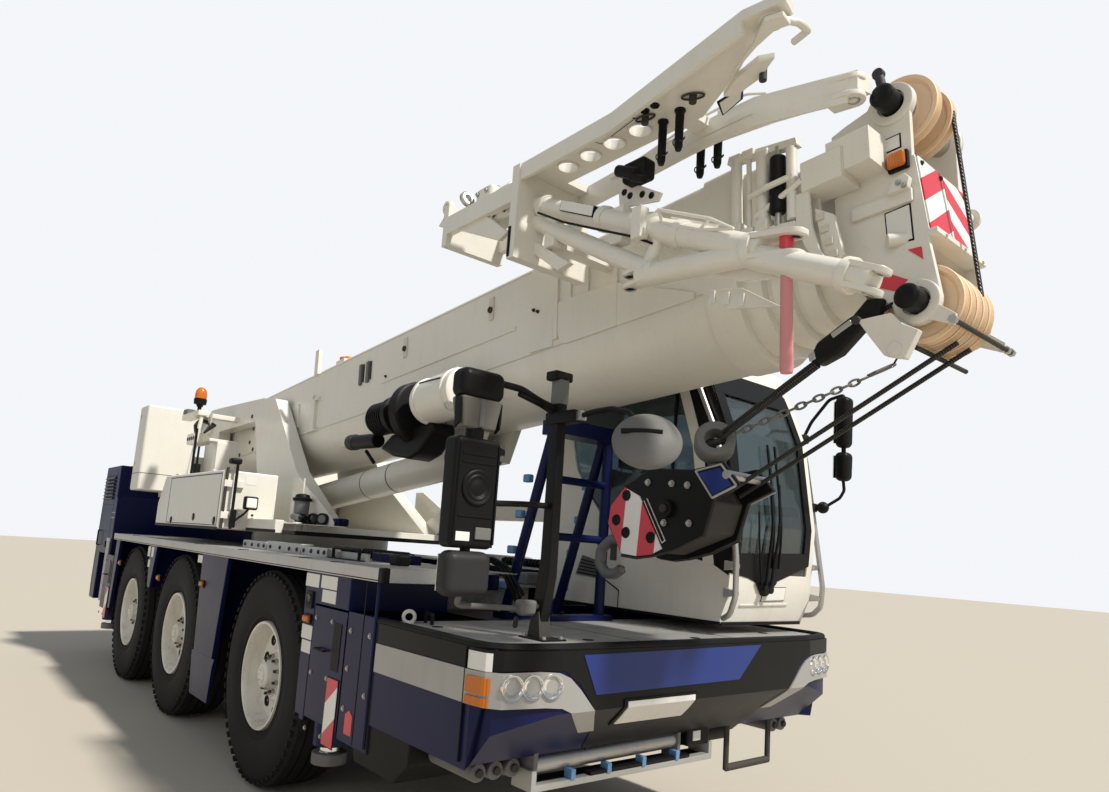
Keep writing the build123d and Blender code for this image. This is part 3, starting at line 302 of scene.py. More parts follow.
def makeDeckPlate():
    # raised lozenges of tread plate, worn bright on top
    settings = dict(pitch=26, raised=0.012, color=(0.46, 0.455, 0.44, 1), worn=(0.62, 0.61, 0.58, 1),
                    grime=(0.27, 0.26, 0.24, 1))
    tree, shader = newFinish("treadPlate")
    place = objectPlace(tree)
    lozenges = []
    for turn in (45, -45):
        mapping = addNode(tree, "ShaderNodeMapping")
        mapping.inputs["Rotation"].default_value = (0, 0, math.radians(turn))
        mapping.inputs["Scale"].default_value = (settings["pitch"], settings["pitch"] * 3, 1)
        link(tree, place, mapping.inputs["Vector"])
        cells = addNode(tree, "ShaderNodeTexVoronoi", Scale=1, Randomness=0.0)
        link(tree, mapping.outputs["Vector"], cells.inputs["Vector"])
        lozenges.append(rangeOf(tree, cells.outputs["Distance"], 0.35, 0.15))
    raised = mathNode(tree, "MAXIMUM", *lozenges)
    patch = rangeOf(tree, noise(tree, place, 3, 6, 0.65), 0.4, 0.68)
    color = mixColor(tree, patch, settings["color"], settings["grime"])
    link(tree, mixColor(tree, mathNode(tree, "MULTIPLY", raised, 0.7), color, settings["worn"]),
         shader.inputs["Base Color"])
    link(tree, rangeOf(tree, patch, 0, 1, 0.42, 0.75), shader.inputs["Roughness"])
    shader.inputs["Metallic"].default_value = 0.55
    addBump(tree, shader, raised, 0.8, settings["raised"])


def makeSheaveNylon():
    shader = weathered("sheaveNylon", (0.78, 0.58, 0.38), dirt=(0.22, 0.15, 0.09, 1),
                       amount=0.5, gloss=0.45, grain=0.2)
    shader.inputs["Subsurface Weight"].default_value = 0.08


def makeRope():
    tree, shader = newFinish("wireRope")
    place = objectPlace(tree)
    wave = addNode(tree, "ShaderNodeTexWave")
    wave.inputs["Scale"].default_value = 42
    wave.inputs["Distortion"].default_value = 0
    wave.bands_direction = "DIAGONAL"
    link(tree, place, wave.inputs["Vector"])
    link(tree, mixColor(tree, wave.outputs["Fac"], (0.012, 0.012, 0.012, 1), (0.06, 0.058, 0.055, 1)),
         shader.inputs["Base Color"])
    link(tree, rangeOf(tree, noise(tree, place, 90), 0.3, 0.7, 0.35, 0.6), shader.inputs["Roughness"])
    shader.inputs["Metallic"].default_value = 0.5
    addBump(tree, shader, wave.outputs["Fac"], 0.7, 0.004)


def makeGlass():
    for name, slotName, color, transmission, rough in (
        ("cabGlass", "cab_glass", (0.34, 0.42, 0.44), 0.92, 0.02),
        ("lampGlass", "cab_glass", (0.92, 0.94, 0.95), 1.0, 0.05),
        ("amberGlass", "cab_glass", (0.95, 0.25, 0.01), 0.45, 0.12),
        ("redGlass", "cab_glass", (0.8, 0.02, 0.01), 0.45, 0.12),
        ("mirrorGlass", "rod_chrome", (0.75, 0.78, 0.8), 0.0, 0.03),
    ):
        tree, shader = newFinish(name)
        shader.inputs["Transmission Weight"].default_value = transmission
        shader.inputs["Metallic"].default_value = 1.0 if name == "mirrorGlass" else 0.0
        shader.inputs["IOR"].default_value = 1.45
        place = objectPlace(tree)
        smears = noise(tree, place, 5, 5)
        shade = tuple(c * 0.86 for c in color)
        link(tree, mixColor(tree, smears, (*color, 1), (*shade, 1)), shader.inputs["Base Color"])
        link(tree, rangeOf(tree, smears, 0.3, 0.8, rough, rough + 0.06), shader.inputs["Roughness"])
        if name in ("amberGlass", "redGlass"):
            ribs = addNode(tree, "ShaderNodeTexWave")
            ribs.inputs["Scale"].default_value = 30
            link(tree, place, ribs.inputs["Vector"])
            addBump(tree, shader, ribs.outputs["Fac"], 0.5, 0.003)


def makeSeatCloth():
    tree, shader = newFinish("seatCloth")
    place = objectPlace(tree)
    weave = noise(tree, place, 420, 2)
    link(tree, mixColor(tree, weave, (0.02, 0.02, 0.024, 1), (0.075, 0.075, 0.085, 1)),
         shader.inputs["Base Color"])
    link(tree, rangeOf(tree, weave, 0, 1, 0.8, 0.95), shader.inputs["Roughness"])
    shader.inputs["Sheen Weight"].default_value = 0.3
    addBump(tree, shader, weave, 0.4, 0.001)


order = []     # finish names in the order they are first used


def finishIndex(name):
    if name not in order:
        order.append(name)
    return order.index(name)


def pour(form, part):
    # empties a small bmesh into the piece's bmesh
    holder = bpy.data.meshes.new("holder")
    part.to_mesh(holder)
    part.free()
    form.from_mesh(holder)
    bpy.data.meshes.remove(holder)


def join(form, part, finish):
    # the same, all in one finish
    index = finishIndex(finish)
    for face in part.faces:
        face.material_index = index
    pour(form, part)


def thicken(part, faces, shift):
    # draws flat faces out into a plate
    grown = bmesh.ops.extrude_face_region(part, geom=faces)
    moved = [v for v in grown["geom"] if isinstance(v, bmesh.types.BMVert)]
    bmesh.ops.translate(part, vec=shift, verts=moved)
    bmesh.ops.recalc_face_normals(part, faces=part.faces)


def cutAcross(part, spot, normal, dist=0.0001):
    bmesh.ops.bisect_plane(part, geom=part.verts[:] + part.edges[:] + part.faces[:], dist=dist,
                           plane_co=spot, plane_no=normal)


def soften(part, width, segments=2, angle=30):
    sharp = [e for e in part.edges if len(e.link_faces) == 2 and e.calc_face_angle(0) > math.radians(angle)]
    bmesh.ops.bevel(part, geom=sharp, offset=width, offset_type="OFFSET", segments=segments, profile=0.5,
                    affect="EDGES", material=-1, clamp_overlap=True)


def addBox(form, low, high, finish, round=0.006, segments=2):
    part = bmesh.new()
    bmesh.ops.create_cube(part, size=1)
    low, high = Vector(low), Vector(high)
    bmesh.ops.scale(part, vec=high - low, verts=part.verts)
    bmesh.ops.translate(part, vec=(low + high) / 2, verts=part.verts)
    if round:
        soften(part, round, segments)
    join(form, part, finish)


def addRod(form, start, end, radius, finish, sides=24, tip=None, round=0.0):
    part = bmesh.new()
    start, end = Vector(start), Vector(end)
    span = end - start
    bmesh.ops.create_cone(part, cap_ends=True, segments=sides, radius1=radius,
                          radius2=radius if tip is None else tip, depth=span.length)
    if round:
        soften(part, round, 2, 50)
    bmesh.ops.rotate(part, matrix=span.to_track_quat("Z", "Y").to_matrix(), verts=part.verts)
    bmesh.ops.translate(part, vec=(start + end) / 2, verts=part.verts)
    join(form, part, finish)


def addPlate(form, outline, depth, finish, way="side", round=0.004, segments=2):
    # an outline of (x, z), (x, y) or (y, z) pairs, made thick between two depths
    spot = {
        "side": lambda a, b, d: (a, d, b),
        "plan": lambda a, b, d: (a, b, d),
        "front": lambda a, b, d: (d, a, b),
    }[way]
    part = bmesh.new()
    face = part.faces.new([part.verts.new(spot(a, b, depth[0])) for a, b in outline])
    thicken(part, [face], Vector(spot(0, 0, depth[1])) - Vector(spot(0, 0, depth[0])))
    if round:
        soften(part, round, segments, 25)
    join(form, part, finish)


def addTurned(form, profile, origin, axis, finish, steps=48):
    # a turned shape: (distance along the axis, radius) pairs spun about it
    part = bmesh.new()
    verts = [part.verts.new((radius, 0, along)) for along, radius in profile]
    edges = [part.edges.new(pair) for pair in zip(verts, verts[1:])]
    bmesh.ops.spin(part, geom=verts + edges, cent=(0, 0, 0), axis=(0, 0, 1), dvec=(0, 0, 0),
                   angle=math.tau, steps=steps, use_merge=True)
    bmesh.ops.remove_doubles(part, verts=part.verts, dist=0.0001)
    bmesh.ops.recalc_face_normals(part, faces=part.faces)
    bmesh.ops.rotate(part, matrix=Vector(axis).to_track_quat("Z", "Y").to_matrix(), verts=part.verts)
    bmesh.ops.translate(part, vec=Vector(origin), verts=part.verts)
    join(form, part, finish)


def routeWithBends(points, reach):
    # a point each side of every corner, so that straight runs stay straight
    points = [Vector(p) for p in points]
    route = [points[0]]
    for before, corner, after in zip(points, points[1:], points[2:]):
        for other in (before, after):
            step = min(reach, (other - corner).length * 0.45)
            route.append(corner + (other - corner).normalized() * step)
            if other is before:
                route.append(corner)
    route.append(points[-1])
    return route


def addPipe(form, points, radius, finish, bend=0.08, sides=10):
    # a round tube along a bent route
    curve = bpy.data.curves.new("route", "CURVE")
    curve.dimensions = "3D"
    curve.bevel_depth = radius
    curve.bevel_resolution = max(1, sides // 4)
    curve.use_fill_caps = True
    curve.resolution_u = 5
    route = routeWithBends(points, bend) if bend else [Vector(p) for p in points]
    spline = curve.splines.new("NURBS")
    spline.points.add(len(route) - 1)
    for spot, place in zip(spline.points, route):
        spot.co = (*place, 1)
    spline.order_u = 3
    spline.use_endpoint_u = True
    holder = bpy.data.objects.new("route", curve)
    mesh = bpy.data.meshes.new_from_object(holder)
    bpy.data.objects.remove(holder)
    part = bmesh.new()
    part.from_mesh(mesh)
    bpy.data.meshes.remove(mesh)
    bmesh.ops.remove_doubles(part, verts=part.verts, dist=0.0001)
    bmesh.ops.recalc_face_normals(part, faces=part.faces)
    join(form, part, finish)


def settle(form, name, body, replaced=(), place=None, crease=38, offset=True):
    # turns a bmesh into a finished piece that rides on its body
    if place is not None:
        bmesh.ops.transform(form, matrix=place, verts=form.verts)
    if offset:
        bmesh.ops.translate(form, vec=(frontAxle, 0, 0), verts=form.verts)
    used = sorted({face.material_index for face in form.faces})
    for face in form.faces:
        face.material_index = used.index(face.material_index)
        face.smooth = True
    for edge in form.edges:
        if len(edge.link_faces) == 2 and edge.calc_face_angle(0) > math.radians(crease):
            edge.smooth = False
    mesh = bpy.data.meshes.new(name)
    form.to_mesh(mesh)
    form.free()
    for index in used:
        mesh.materials.append(finishes[order[index]])
    piece = bpy.data.objects.new(name, mesh)
    bpy.context.scene.collection.objects.link(piece)
    weighted = piece.modifiers.new("weightedNormals", "WEIGHTED_NORMAL")
    weighted.keep_sharp = True
    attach(piece, body)
    if replaced:
        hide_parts(*replaced)
    return piece


bodyOf = {node: body for body, nodes in frame["record"]["behaviour"]["bodies"].items() for node in nodes}


def dressNode(node, finish, width=0.008, extra=None, crease=32):
    # the CAD solid with its edges rounded; extra(form) may add to it
    part = bmesh.new()
    part.from_mesh(frame["nodes"][node].data)
    bmesh.ops.remove_doubles(part, verts=part.verts, dist=0.00002)
    if not node.startswith("deck_"):
        bmesh.ops.dissolve_limit(part, angle_limit=math.radians(0.8), verts=part.verts, edges=part.edges,
                                 use_dissolve_boundaries=False)
    form = bmesh.new()
    join(form, part, finish)
    if extra:
        bmesh.ops.translate(form, vec=(-frontAxle, 0, 0), verts=form.verts)
        extra(form)
        bmesh.ops.translate(form, vec=(frontAxle, 0, 0), verts=form.verts)
    piece = settle(form, node + "Dressed", bodyOf[node], (node,), offset=False, crease=crease)
    if width:
        bevel = piece.modifiers.new("edges", "BEVEL")
        bevel.width = width
        bevel.segments = 2
        bevel.limit_method = "ANGLE"
        bevel.angle_limit = math.radians(40)
        bevel.use_clamp_overlap = True
        bevel.harden_normals = False
        piece.modifiers.move(1, 0)
    return piece


def paintNode(node, finish):
    data = frame["nodes"][node].data
    data.materials.clear()
    data.materials.append(finishes[finish])


addCamera()
addStudio()
makePaints()
makeRubber()
makeDeckPlate()
makeSheaveNylon()
makeRope()
makeGlass()
makeSeatCloth()
print("finishes made:", len(finishes))

nodeFinish = dict(
    chassis_frame="darkSteel", slew_ring="darkSteel", deck_left="navyPaint", deck_right="navyPaint",
    centre_deck="treadPlate", front_module="navyPaint", rear_housing="navyPaint", engine_block="castIron",
    boom_rest="navyPaint", mirror_post="blackPlastic", front_steps="darkSteel",
    turntable_frame="ivoryPaint",
    consoles="ivoryPaint", counterweight="ivoryPaint", winch_drum="brushedSteel", luff_barrel="ivoryPaint",
    luff_rod="rodChrome", boom_base="ivoryPaint", jib="ivoryPaint", boom_section_2="ivoryPaint",
    boom_section_3="ivoryPaint", boom_section_4="ivoryPaint", boom_head="ivoryPaint",
    head_sheaves="sheaveNylon",
    hook_block="blackPaint", side_unit="blackPlastic", cab_arm="ivoryPaint", cab_shell="ivoryPaint",
    cab_glass="cabGlass",
    cab_seat="seatCloth", cab_mirrors="blackPlastic", cab_door="ivoryPaint", door_glass="cabGlass",
)
for node in frame["nodes"]:
    if node.startswith("tyre"):
        paintNode(node, "tyreRubber")
    elif node.startswith("rim"):
        paintNode(node, "rimPaint")
    elif node.startswith(("axle", "knuckle")):
        paintNode(node, "darkSteel")
    elif node.startswith("outrigger"):
        paintNode(node, "navyPaint")
    elif node.startswith("jack"):
        paintNode(node, "rodChrome")
    else:
        paintNode(node, nodeFinish[node])
print("nodes painted")

boomTilt = math.radians(4)
boomMatrix = Matrix((
    (math.cos(boomTilt), 0, -math.sin(boomTilt), -4.45),
    (0, 1, 0, 0),
    (math.sin(boomTilt), 0, math.cos(boomTilt), 2.78),
    (0, 0, 0, 1),
))   # a point given along, across and above the boom, in the crane's own axes


# pieces that keep the CAD solid's shape, with softened edges
for node, width in (
    ("turntable_frame", 0.008), ("consoles", 0.012), ("counterweight", 0.02), ("cab_arm", 0.015),
    ("deck_right", 0.005), ("deck_left", 0.005), ("boom_rest", 0.006),
    ("cab_shell", 0.014), ("cab_door", 0.008), ("chassis_frame", 0.006), ("boom_head", 0.004),
    ("boom_base", 0.006), ("jib", 0.004), ("boom_section_2", 0.004), ("boom_section_3", 0.004),
    ("boom_section_4", 0.004),
):
    dressNode(node, nodeFinish[node], width)


def darkenFoot(form):
    for face in form.faces:
        if face.calc_center_median().z < 0.4335:
            face.material_index = finishIndex("castIron")


def drawInRear(form):
    # the rear panel stands a little inside, so that its louvres and lamps keep the overall length
    for vert in form.verts:
        if vert.co.x < -6.175:
            vert.co.x = -6.172


for end in ("front", "rear"):
    for side in ("left", "right"):
        dressNode(f"jack_{end}_{side}", "rodChrome", 0.004, darkenFoot)
dressNode("rear_housing", "navyPaint", 0.012, drawInRear)
print("edges softened")


def addBolts(form, spots, axis, radius, height, finish="darkSteel"):
    # hexagon heads on washers at a list of spots
    axis = Vector(axis).normalized()
    for spot in spots:
        spot = Vector(spot)
        addRod(form, spot - axis * 0.002, spot + axis * height * 0.25, radius * 1.35, finish, 16)
        addRod(form, spot + axis * height * 0.2, spot + axis * height, radius, finish, 6, round=radius * 0.12)


def makeWheel(axle, side):
    settings = dict(radius=0.683, innerY=0.8555, outerY=1.2405, lugs=58, lugSize=(0.040, 0.044, 0.018),
                    rimOuterY=1.226, boltCircle=0.118, windowCircle=0.245, bolts=10)
    sign = 1 if side == "left" else -1
    wheelX = (0, -2.158, -3.915)[axle - 1]
    body = bodyOf[f"tyre_{axle}_{side}"]
    low, high = settings["innerY"], settings["outerY"]
    middle, half = (low + high) / 2, (high - low) / 2
    origin = (wheelX, sign * middle, settings["radius"])
    axis = Vector((0, sign, 0))
    form = bmesh.new()
    # half a section from the bead to the tread, mirrored
    sidewall = [
        (half - 0.034, 0.352), (half - 0.012, 0.372), (half - 0.018, 0.40), (half - 0.004, 0.44),
        (half, 0.50),
        (half - 0.003, 0.545), (half - 0.001, 0.565), (half - 0.008, 0.615), (half - 0.026, 0.655),
    ]
    tread = [(0.150, 0.6765), (0.100, 0.681), (0.094, 0.668), (0.086, 0.668), (0.080, 0.682), (0.034, 0.683),
             (0.030, 0.668), (0.022, 0.668)]
    flank = [(half - 0.06, 0.33)] + sidewall + tread + [(0.018, 0.683)]
    profile = [(-a, r) for a, r in flank] + flank[::-1] + [(0.06 - half, 0.33)]
    addTurned(form, profile, origin, axis, "tyreRubber", 88)
    # grooves across each shoulder
    for turn in range(settings["lugs"]):
        angle = math.tau * turn / settings["lugs"]
        spin = Matrix.Translation(Vector(origin)) @ Matrix.Rotation(angle, 4, "Y")
        for edge in (-1, 1):
            lug = bmesh.new()
            bmesh.ops.create_cube(lug, size=1)
            bmesh.ops.scale(lug, vec=settings["lugSize"], verts=lug.verts)
            top = [v for v in lug.verts if v.co.z > 0]
            bmesh.ops.scale(lug, vec=(0.8, 0.9, 1), verts=top)
            bmesh.ops.translate(lug, vec=(0, edge * (half - 0.026), 0.650), verts=lug.verts)
            bmesh.ops.transform(lug, matrix=spin, verts=lug.verts)
            join(form, lug, "tyreRubber")
    settle(form, f"tyre{axle}{side.title()}", body, (f"tyre_{axle}_{side}",), crease=30)

    form = bmesh.new()
    rimCentre = (wheelX, 0, settings["radius"])
    outer = settings["rimOuterY"]
    face = [
        (0.898, 0.345), (outer - 0.014, 0.345), (outer, 0.340), (outer, 0.326), (outer - 0.012, 0.318),
        (outer - 0.030, 0.314), (outer - 0.085, 0.306), (outer - 0.118, 0.298), (outer - 0.128, 0.27),
        (outer - 0.122, 0.205), (outer - 0.112, 0.178), (outer - 0.095, 0.160), (outer - 0.092, 0.092),
        (outer - 0.070, 0.086), (outer - 0.022, 0.080), (outer - 0.010, 0.066), (outer - 0.008, 0.0),
    ]
    addTurned(form, face, rimCentre, axis, "rimPaint", 64)
    inner = [(0.898, 0.345), (0.900, 0.318), (1.05, 0.300), (outer - 0.15, 0.29), (outer - 0.15, 0.07),
             (0.99, 0.065)]
    addTurned(form, inner, rimCentre, axis, "rimPaint", 48)
    hub = Vector((wheelX, sign * (outer - 0.094), settings["radius"]))
    for turn in range(settings["bolts"]):
        angle = math.tau * (turn + 0.5) / settings["bolts"]
        way = Vector((math.cos(angle), 0, math.sin(angle)))
        stud = hub + way * settings["boltCircle"]
        addRod(form, stud, stud + axis * 0.012, 0.024, "rimPaint", 20, round=0.003)
        addRod(form, stud + axis * 0.010, stud + axis * 0.034, 0.0165, "brushedSteel", 6, round=0.002)
        addRod(form, stud + axis * 0.03, stud + axis * 0.05, 0.010, "darkSteel", 12)
        window = hub + way * settings["windowCircle"] - axis * 0.032
        addTurned(form, [(0.0, 0.0), (0.003, 0.026), (0.0085, 0.030), (0.0085, 0.034), (0.0, 0.036)],
                  window, axis,
                  "blackPlastic", 20)
    addRod(form, hub + axis * 0.082, hub + axis * 0.090, 0.052, "rimPaint", 32, round=0.003)
    addBolts(form, [hub + axis * 0.086 + Vector((math.cos(a), 0, math.sin(a))) * 0.036 for a in
                    [math.tau * k / 6 for k in range(6)]], axis, 0.006, 0.01, "rimPaint")
    settle(form, f"rim{axle}{side.title()}", body, (f"rim_{axle}_{side}",), crease=30)


for axle in (1, 2, 3):
    for side in ("left", "right"):
        makeWheel(axle, side)
print("wheels made")


# the front module's outline in plan, from the middle of the nose to the rear corner
nosePlan = [Vector(spot) for spot in (
    (2.65, 0), (2.65, 0.95), (2.60, 1.215), (2.545, 1.262), (2.47, 1.275), (1.64, 1.275))]


def noseWrap(s, z, lift):
    # carries a point of the unrolled fascia (distance from the middle, height) onto the module
    sign = 1 if s >= 0 else -1
    left = abs(s)
    for start, end in zip(nosePlan, nosePlan[1:]):
        run = (end - start).length
        if left <= run or end is nosePlan[-1]:
            spot = start.lerp(end, left / run)
            normal = Vector((end.y - start.y, start.x - end.x)).normalized()
            break
        left -= run
    cut = 2.42 + (z - 0.72) * 0.23 / 0.227 if z < 0.947 else 9
    if spot.x > cut:
        return Vector((cut + lift * 0.7, sign * spot.y + sign * normal.y * lift * 0.3, z - lift * 0.7))
    return Vector((spot.x + normal.x * lift, sign * (spot.y + normal.y * lift), z))


def addWrapped(form, outline, finish, lift=0.006, step=0.045):
    # a thin panel that follows the module's faces
    part = bmesh.new()
    part.faces.new([part.verts.new((s, z, 0)) for s, z in outline])
    lowS, highS = min(s for s, z in outline), max(s for s, z in outline)
    lowZ, highZ = min(z for s, z in outline), max(z for s, z in outline)
    corner = [0]
    for start, end in zip(nosePlan, nosePlan[1:]):
        corner.append(corner[-1] + (end - start).length)
    cutsS = [sign * (c + d) for c in corner for sign in (1, -1) for d in (-0.0005, 0.0005)]
    cutsS += [lowS + step * k for k in range(1, int((highS - lowS) / step) + 1)]
    cutsZ = [0.947] + [lowZ + step * k for k in range(1, int((highZ - lowZ) / step) + 1)]
    for cut in cutsS:
        cutAcross(part, (cut, 0, 0), (1, 0, 0))
    for cut in cutsZ:
        cutAcross(part, (0, cut, 0), (0, 1, 0))
    for vert in part.verts:
        vert.co = noseWrap(vert.co.x, vert.co.y, lift)
    bmesh.ops.recalc_face_normals(part, faces=part.faces)
    outward = sum(1 for f in part.faces if f.normal.dot(f.calc_center_median() - Vector((1.0, 0, 0.9))) > 0)
    if outward < len(part.faces) / 2:
        bmesh.ops.reverse_faces(part, faces=part.faces)
    bmesh.ops.solidify(part, geom=part.faces[:], thickness=lift * 0.9)
    join(form, part, finish)


def arcPoints(centre, radius, start, end, count=8):
    return [(centre[0] + radius * math.cos(math.radians(start + (end - start) * k / count)),
             centre[1] + radius * math.sin(math.radians(start + (end - start) * k / count)))
            for k in range(count + 1)]


def makeFrontModule():
    settings = dict(lampZ=1.06, lamps=3, firstLamp=0.995, lampStep=0.092, lift=0.012, top=1.203, low=0.725)
    form = bmesh.new()
    part = bmesh.new()
    part.from_mesh(frame["nodes"]["front_module"].data)
    bmesh.ops.remove_doubles(part, verts=part.verts, dist=0.00002)
    bmesh.ops.dissolve_limit(part, angle_limit=0.01, verts=part.verts, edges=part.edges,
                             use_dissolve_boundaries=False)
    bmesh.ops.translate(part, vec=(-frontAxle, 0, 0), verts=part.verts)
    # the solid's corners are drawn out to the fuller plan of the panels
    for vert in part.verts:
        sign = 1 if vert.co.y > 0 else -1
        for old, new in (((2.5, 1.185), (2.572, 1.238)), ((2.29, 1.275), (2.47, 1.275)),
                         ((2.65, 0.9), (2.65, 0.95))):
            if abs(vert.co.x - old[0]) < 0.012 and abs(abs(vert.co.y) - old[1]) < 0.012:
                if vert.co.z < 0.94 and old[0] == 2.5:
                    vert.co.z = 0.72 + (new[0] - 2.42) * 0.227 / 0.23
                vert.co.x, vert.co.y = new[0], sign * new[1]
                break
    join(form, part, "navyPaint")
    # black middle of the fascia with the grained band above it, the same round to both sides
    top, low = settings["top"], settings["low"]
    for sign in (1, -1):
        black = [(0, low), (0, top), (sign * 2.19, top), (sign * 2.19, 1.108), (sign * 1.05, 1.125)]
        black += [(sign * s, z) for s, z in ((0.93, 1.12), (0.84, 1.06), (0.66, 0.85), (0.6, low))]
        addWrapped(form, black, "blackPaint", 0.004)
        silver = [(sign * s, z) for s, z in (
            (2.19, 1.108), (1.40, 1.114), (1.05, 1.120), (0.96, 1.114), (0.90, 1.09), (0.84, 1.04),
            (0.64, 0.835),
            (0.735, 0.835), (0.88, 0.945), (0.94, 0.970), (1.02, 0.976), (1.40, 0.978), (2.19, 0.974))]
        addWrapped(form, silver, "silverBand", 0.009)
        # headlamps: bezel, lens and bulb cup
        for k in range(settings["lamps"]):
            s = sign * (settings["firstLamp"] + k * settings["lampStep"])
            before, middle, after = (noseWrap(s + d, settings["lampZ"], settings["lift"])
                                     for d in (-0.02, 0, 0.02))
            ahead = after - before
            outward = Vector((ahead.y, -ahead.x, 0)).normalized()
            if outward.x < 0:
                outward.negate()
            addTurned(form, [(-0.012, 0.0), (-0.012, 0.030), (0.0, 0.044), (0.006, 0.046), (0.007, 0.050),
                             (-0.004, 0.053)],
                      middle, outward, "rodChrome", 28)
            addTurned(form, [(-0.009, 0.0), (-0.006, 0.018), (-0.001, 0.034), (0.001, 0.043)], middle,
                      outward, "lampGlass", 28)
            addTurned(form, [(-0.013, 0.0), (-0.006, 0.012), (-0.004, 0.014), (-0.013, 0.02)], middle,
                      outward, "brushedSteel", 16)
        # indicator and marker lenses at the corner, a bare place over them and the panel joint
        for start, end, foot, head, finish, lift, step in (
            (1.268, 1.388, 1.028, 1.092, "amberGlass", 0.018, 0.03),
            (1.272, 1.388, 0.980, 1.016, "amberGlass", 0.018, 0.03),
            (1.265, 1.395, 1.118, 1.190, "labelWhite", 0.007, 0.045),
            (1.408, 1.413, 0.745, 1.2, "blackPlastic", 0.0105, 0.045),
        ):
            corners = ((start, foot), (start, head), (end, head), (end, foot))
            addWrapped(form, [(sign * s, z) for s, z in corners], finish, lift, step)
    # bare blue panel and the number plate's place
    addWrapped(form, [(-0.83, 1.183), (0.462, 1.192), (0.276, 1.022), (-0.745, 1.012)], "skyBluePanel", 0.007)
    addWrapped(form, [(-0.55, 0.868), (-0.55, 0.972), (-0.085, 0.972), (-0.085, 0.868)], "labelWhite", 0.016)
    addWrapped(form, [(-0.57, 0.858), (-0.57, 0.982), (-0.065, 0.982), (-0.065, 0.858)], "blackPlastic",
               0.011)
    # grained edge strip round the deck's rim, and the tread plate inside it
    for sign in (1, -1):
        route = [(p.x - 0.016, sign * (p.y - (0.016 if p.y else 0)), 1.212) for p in nosePlan]
        addPipe(form, route, 0.020, "blackPlastic", 0.05, 12)
    deck = [(1.66, -1.235), (2.45, -1.235), (2.555, -1.19), (2.61, -0.92), (2.61, 0.92), (2.555, 1.19),
            (2.45, 1.235), (1.66, 1.235)]
    addPlate(form, deck, (1.200, 1.214), "treadPlate", "plan", 0.002)
    for y in (-0.35, 0.38):
        addBox(form, (1.70, y - 0.004, 1.2135), (2.58, y + 0.004, 1.2148), "darkSteel", 0)
    for x, y in ((2.45, -0.62), (2.5, 0.1), (2.4, 0.85), (1.9, -1.1), (1.8, 0.9)):
        addTurned(form, [(0.0, 0.028), (0.004, 0.026), (0.006, 0.0)], (x, y, 1.213), (0, 0, 1),
                  "blackPlastic", 20)
    settle(form, "frontModule", "carrier", ("front_module",), crease=26)


makeFrontModule()
print("front module made")


def addStriped(form, outline, depth, way, spacing, turn, finishPair, shift=0.0):
    # a flat plate cut into slanting stripes of two finishes
    spot = {"side": lambda a, b: (a, depth[0], b), "front": lambda a, b: (depth[0], a, b)}[way]
    across = (math.cos(math.radians(turn)), math.sin(math.radians(turn)))
    origin = Vector(spot(0, 0))
    step = Vector(spot(*across)) - origin
    part = bmesh.new()
    part.faces.new([part.verts.new(spot(a, b)) for a, b in outline])
    reach = [a * across[0] + b * across[1] for a, b in outline]
    first = math.floor((min(reach) - shift) / spacing)
    last = math.ceil((max(reach) - shift) / spacing)
    for k in range(first, last + 1):
        offset = k * spacing + shift
        cutAcross(part, spot(offset * across[0], offset * across[1]), step, 0.00005)
    indexes = [finishIndex(name) for name in finishPair]
    for face in part.faces:
        along = (face.calc_center_median() - origin).dot(step)
        face.material_index = indexes[int(math.floor((along - shift) / spacing)) % 2]
    if part.faces[:][0].normal.dot(origin) < 0:
        bmesh.ops.reverse_faces(part, faces=part.faces)
    thick = depth[1] - depth[0]
    thicken(part, part.faces[:], (0, thick, 0) if way == "side" else (thick, 0, 0))
    pour(form, part)


def makeSheaves():
    settings = dict(upper=(8.175, 0.2, 0.157), lower=(8.22, -0.683, 0.162), width=0.05)
    form = bmesh.new()
    for (along, up, radius), places in (
        (settings["upper"], (-0.15, -0.01)),
        (settings["lower"], [-0.18 + 0.06 * k for k in range(5)]),
    ):
        half = settings["width"] / 2
        section = [
            (-half, 0.05), (-half, radius * 0.42), (-half * 0.45, radius * 0.50),
            (-half * 0.45, radius * 0.80),
            (-half, radius * 0.88), (-half, radius * 0.985), (-half * 0.72, radius),
            (-half * 0.2, radius * 0.90),
            (half * 0.2, radius * 0.90), (half * 0.72, radius), (half, radius * 0.985),
            (half, radius * 0.88),
            (half * 0.45, radius * 0.80), (half * 0.45, radius * 0.50), (half, radius * 0.42), (half, 0.05),
            (-half, 0.05),
        ]
        for y in places:
            addTurned(form, section, (along, y, up), (0, 1, 0), "sheaveNylon", 72)
            addTurned(form, [(-half - 0.004, 0.048), (half + 0.004, 0.048), (half + 0.004, 0.07),
                             (-half - 0.004, 0.07),
                             (-half - 0.004, 0.048)], (along, y, up), (0, 1, 0), "brushedSteel", 32)
        addRod(form, (along, -0.214, up), (along, 0.214, up), 0.045, "brushedSteel", 32)
    settle(form, "headSheaves", "head", ("head_sheaves",), place=boomMatrix, crease=32)


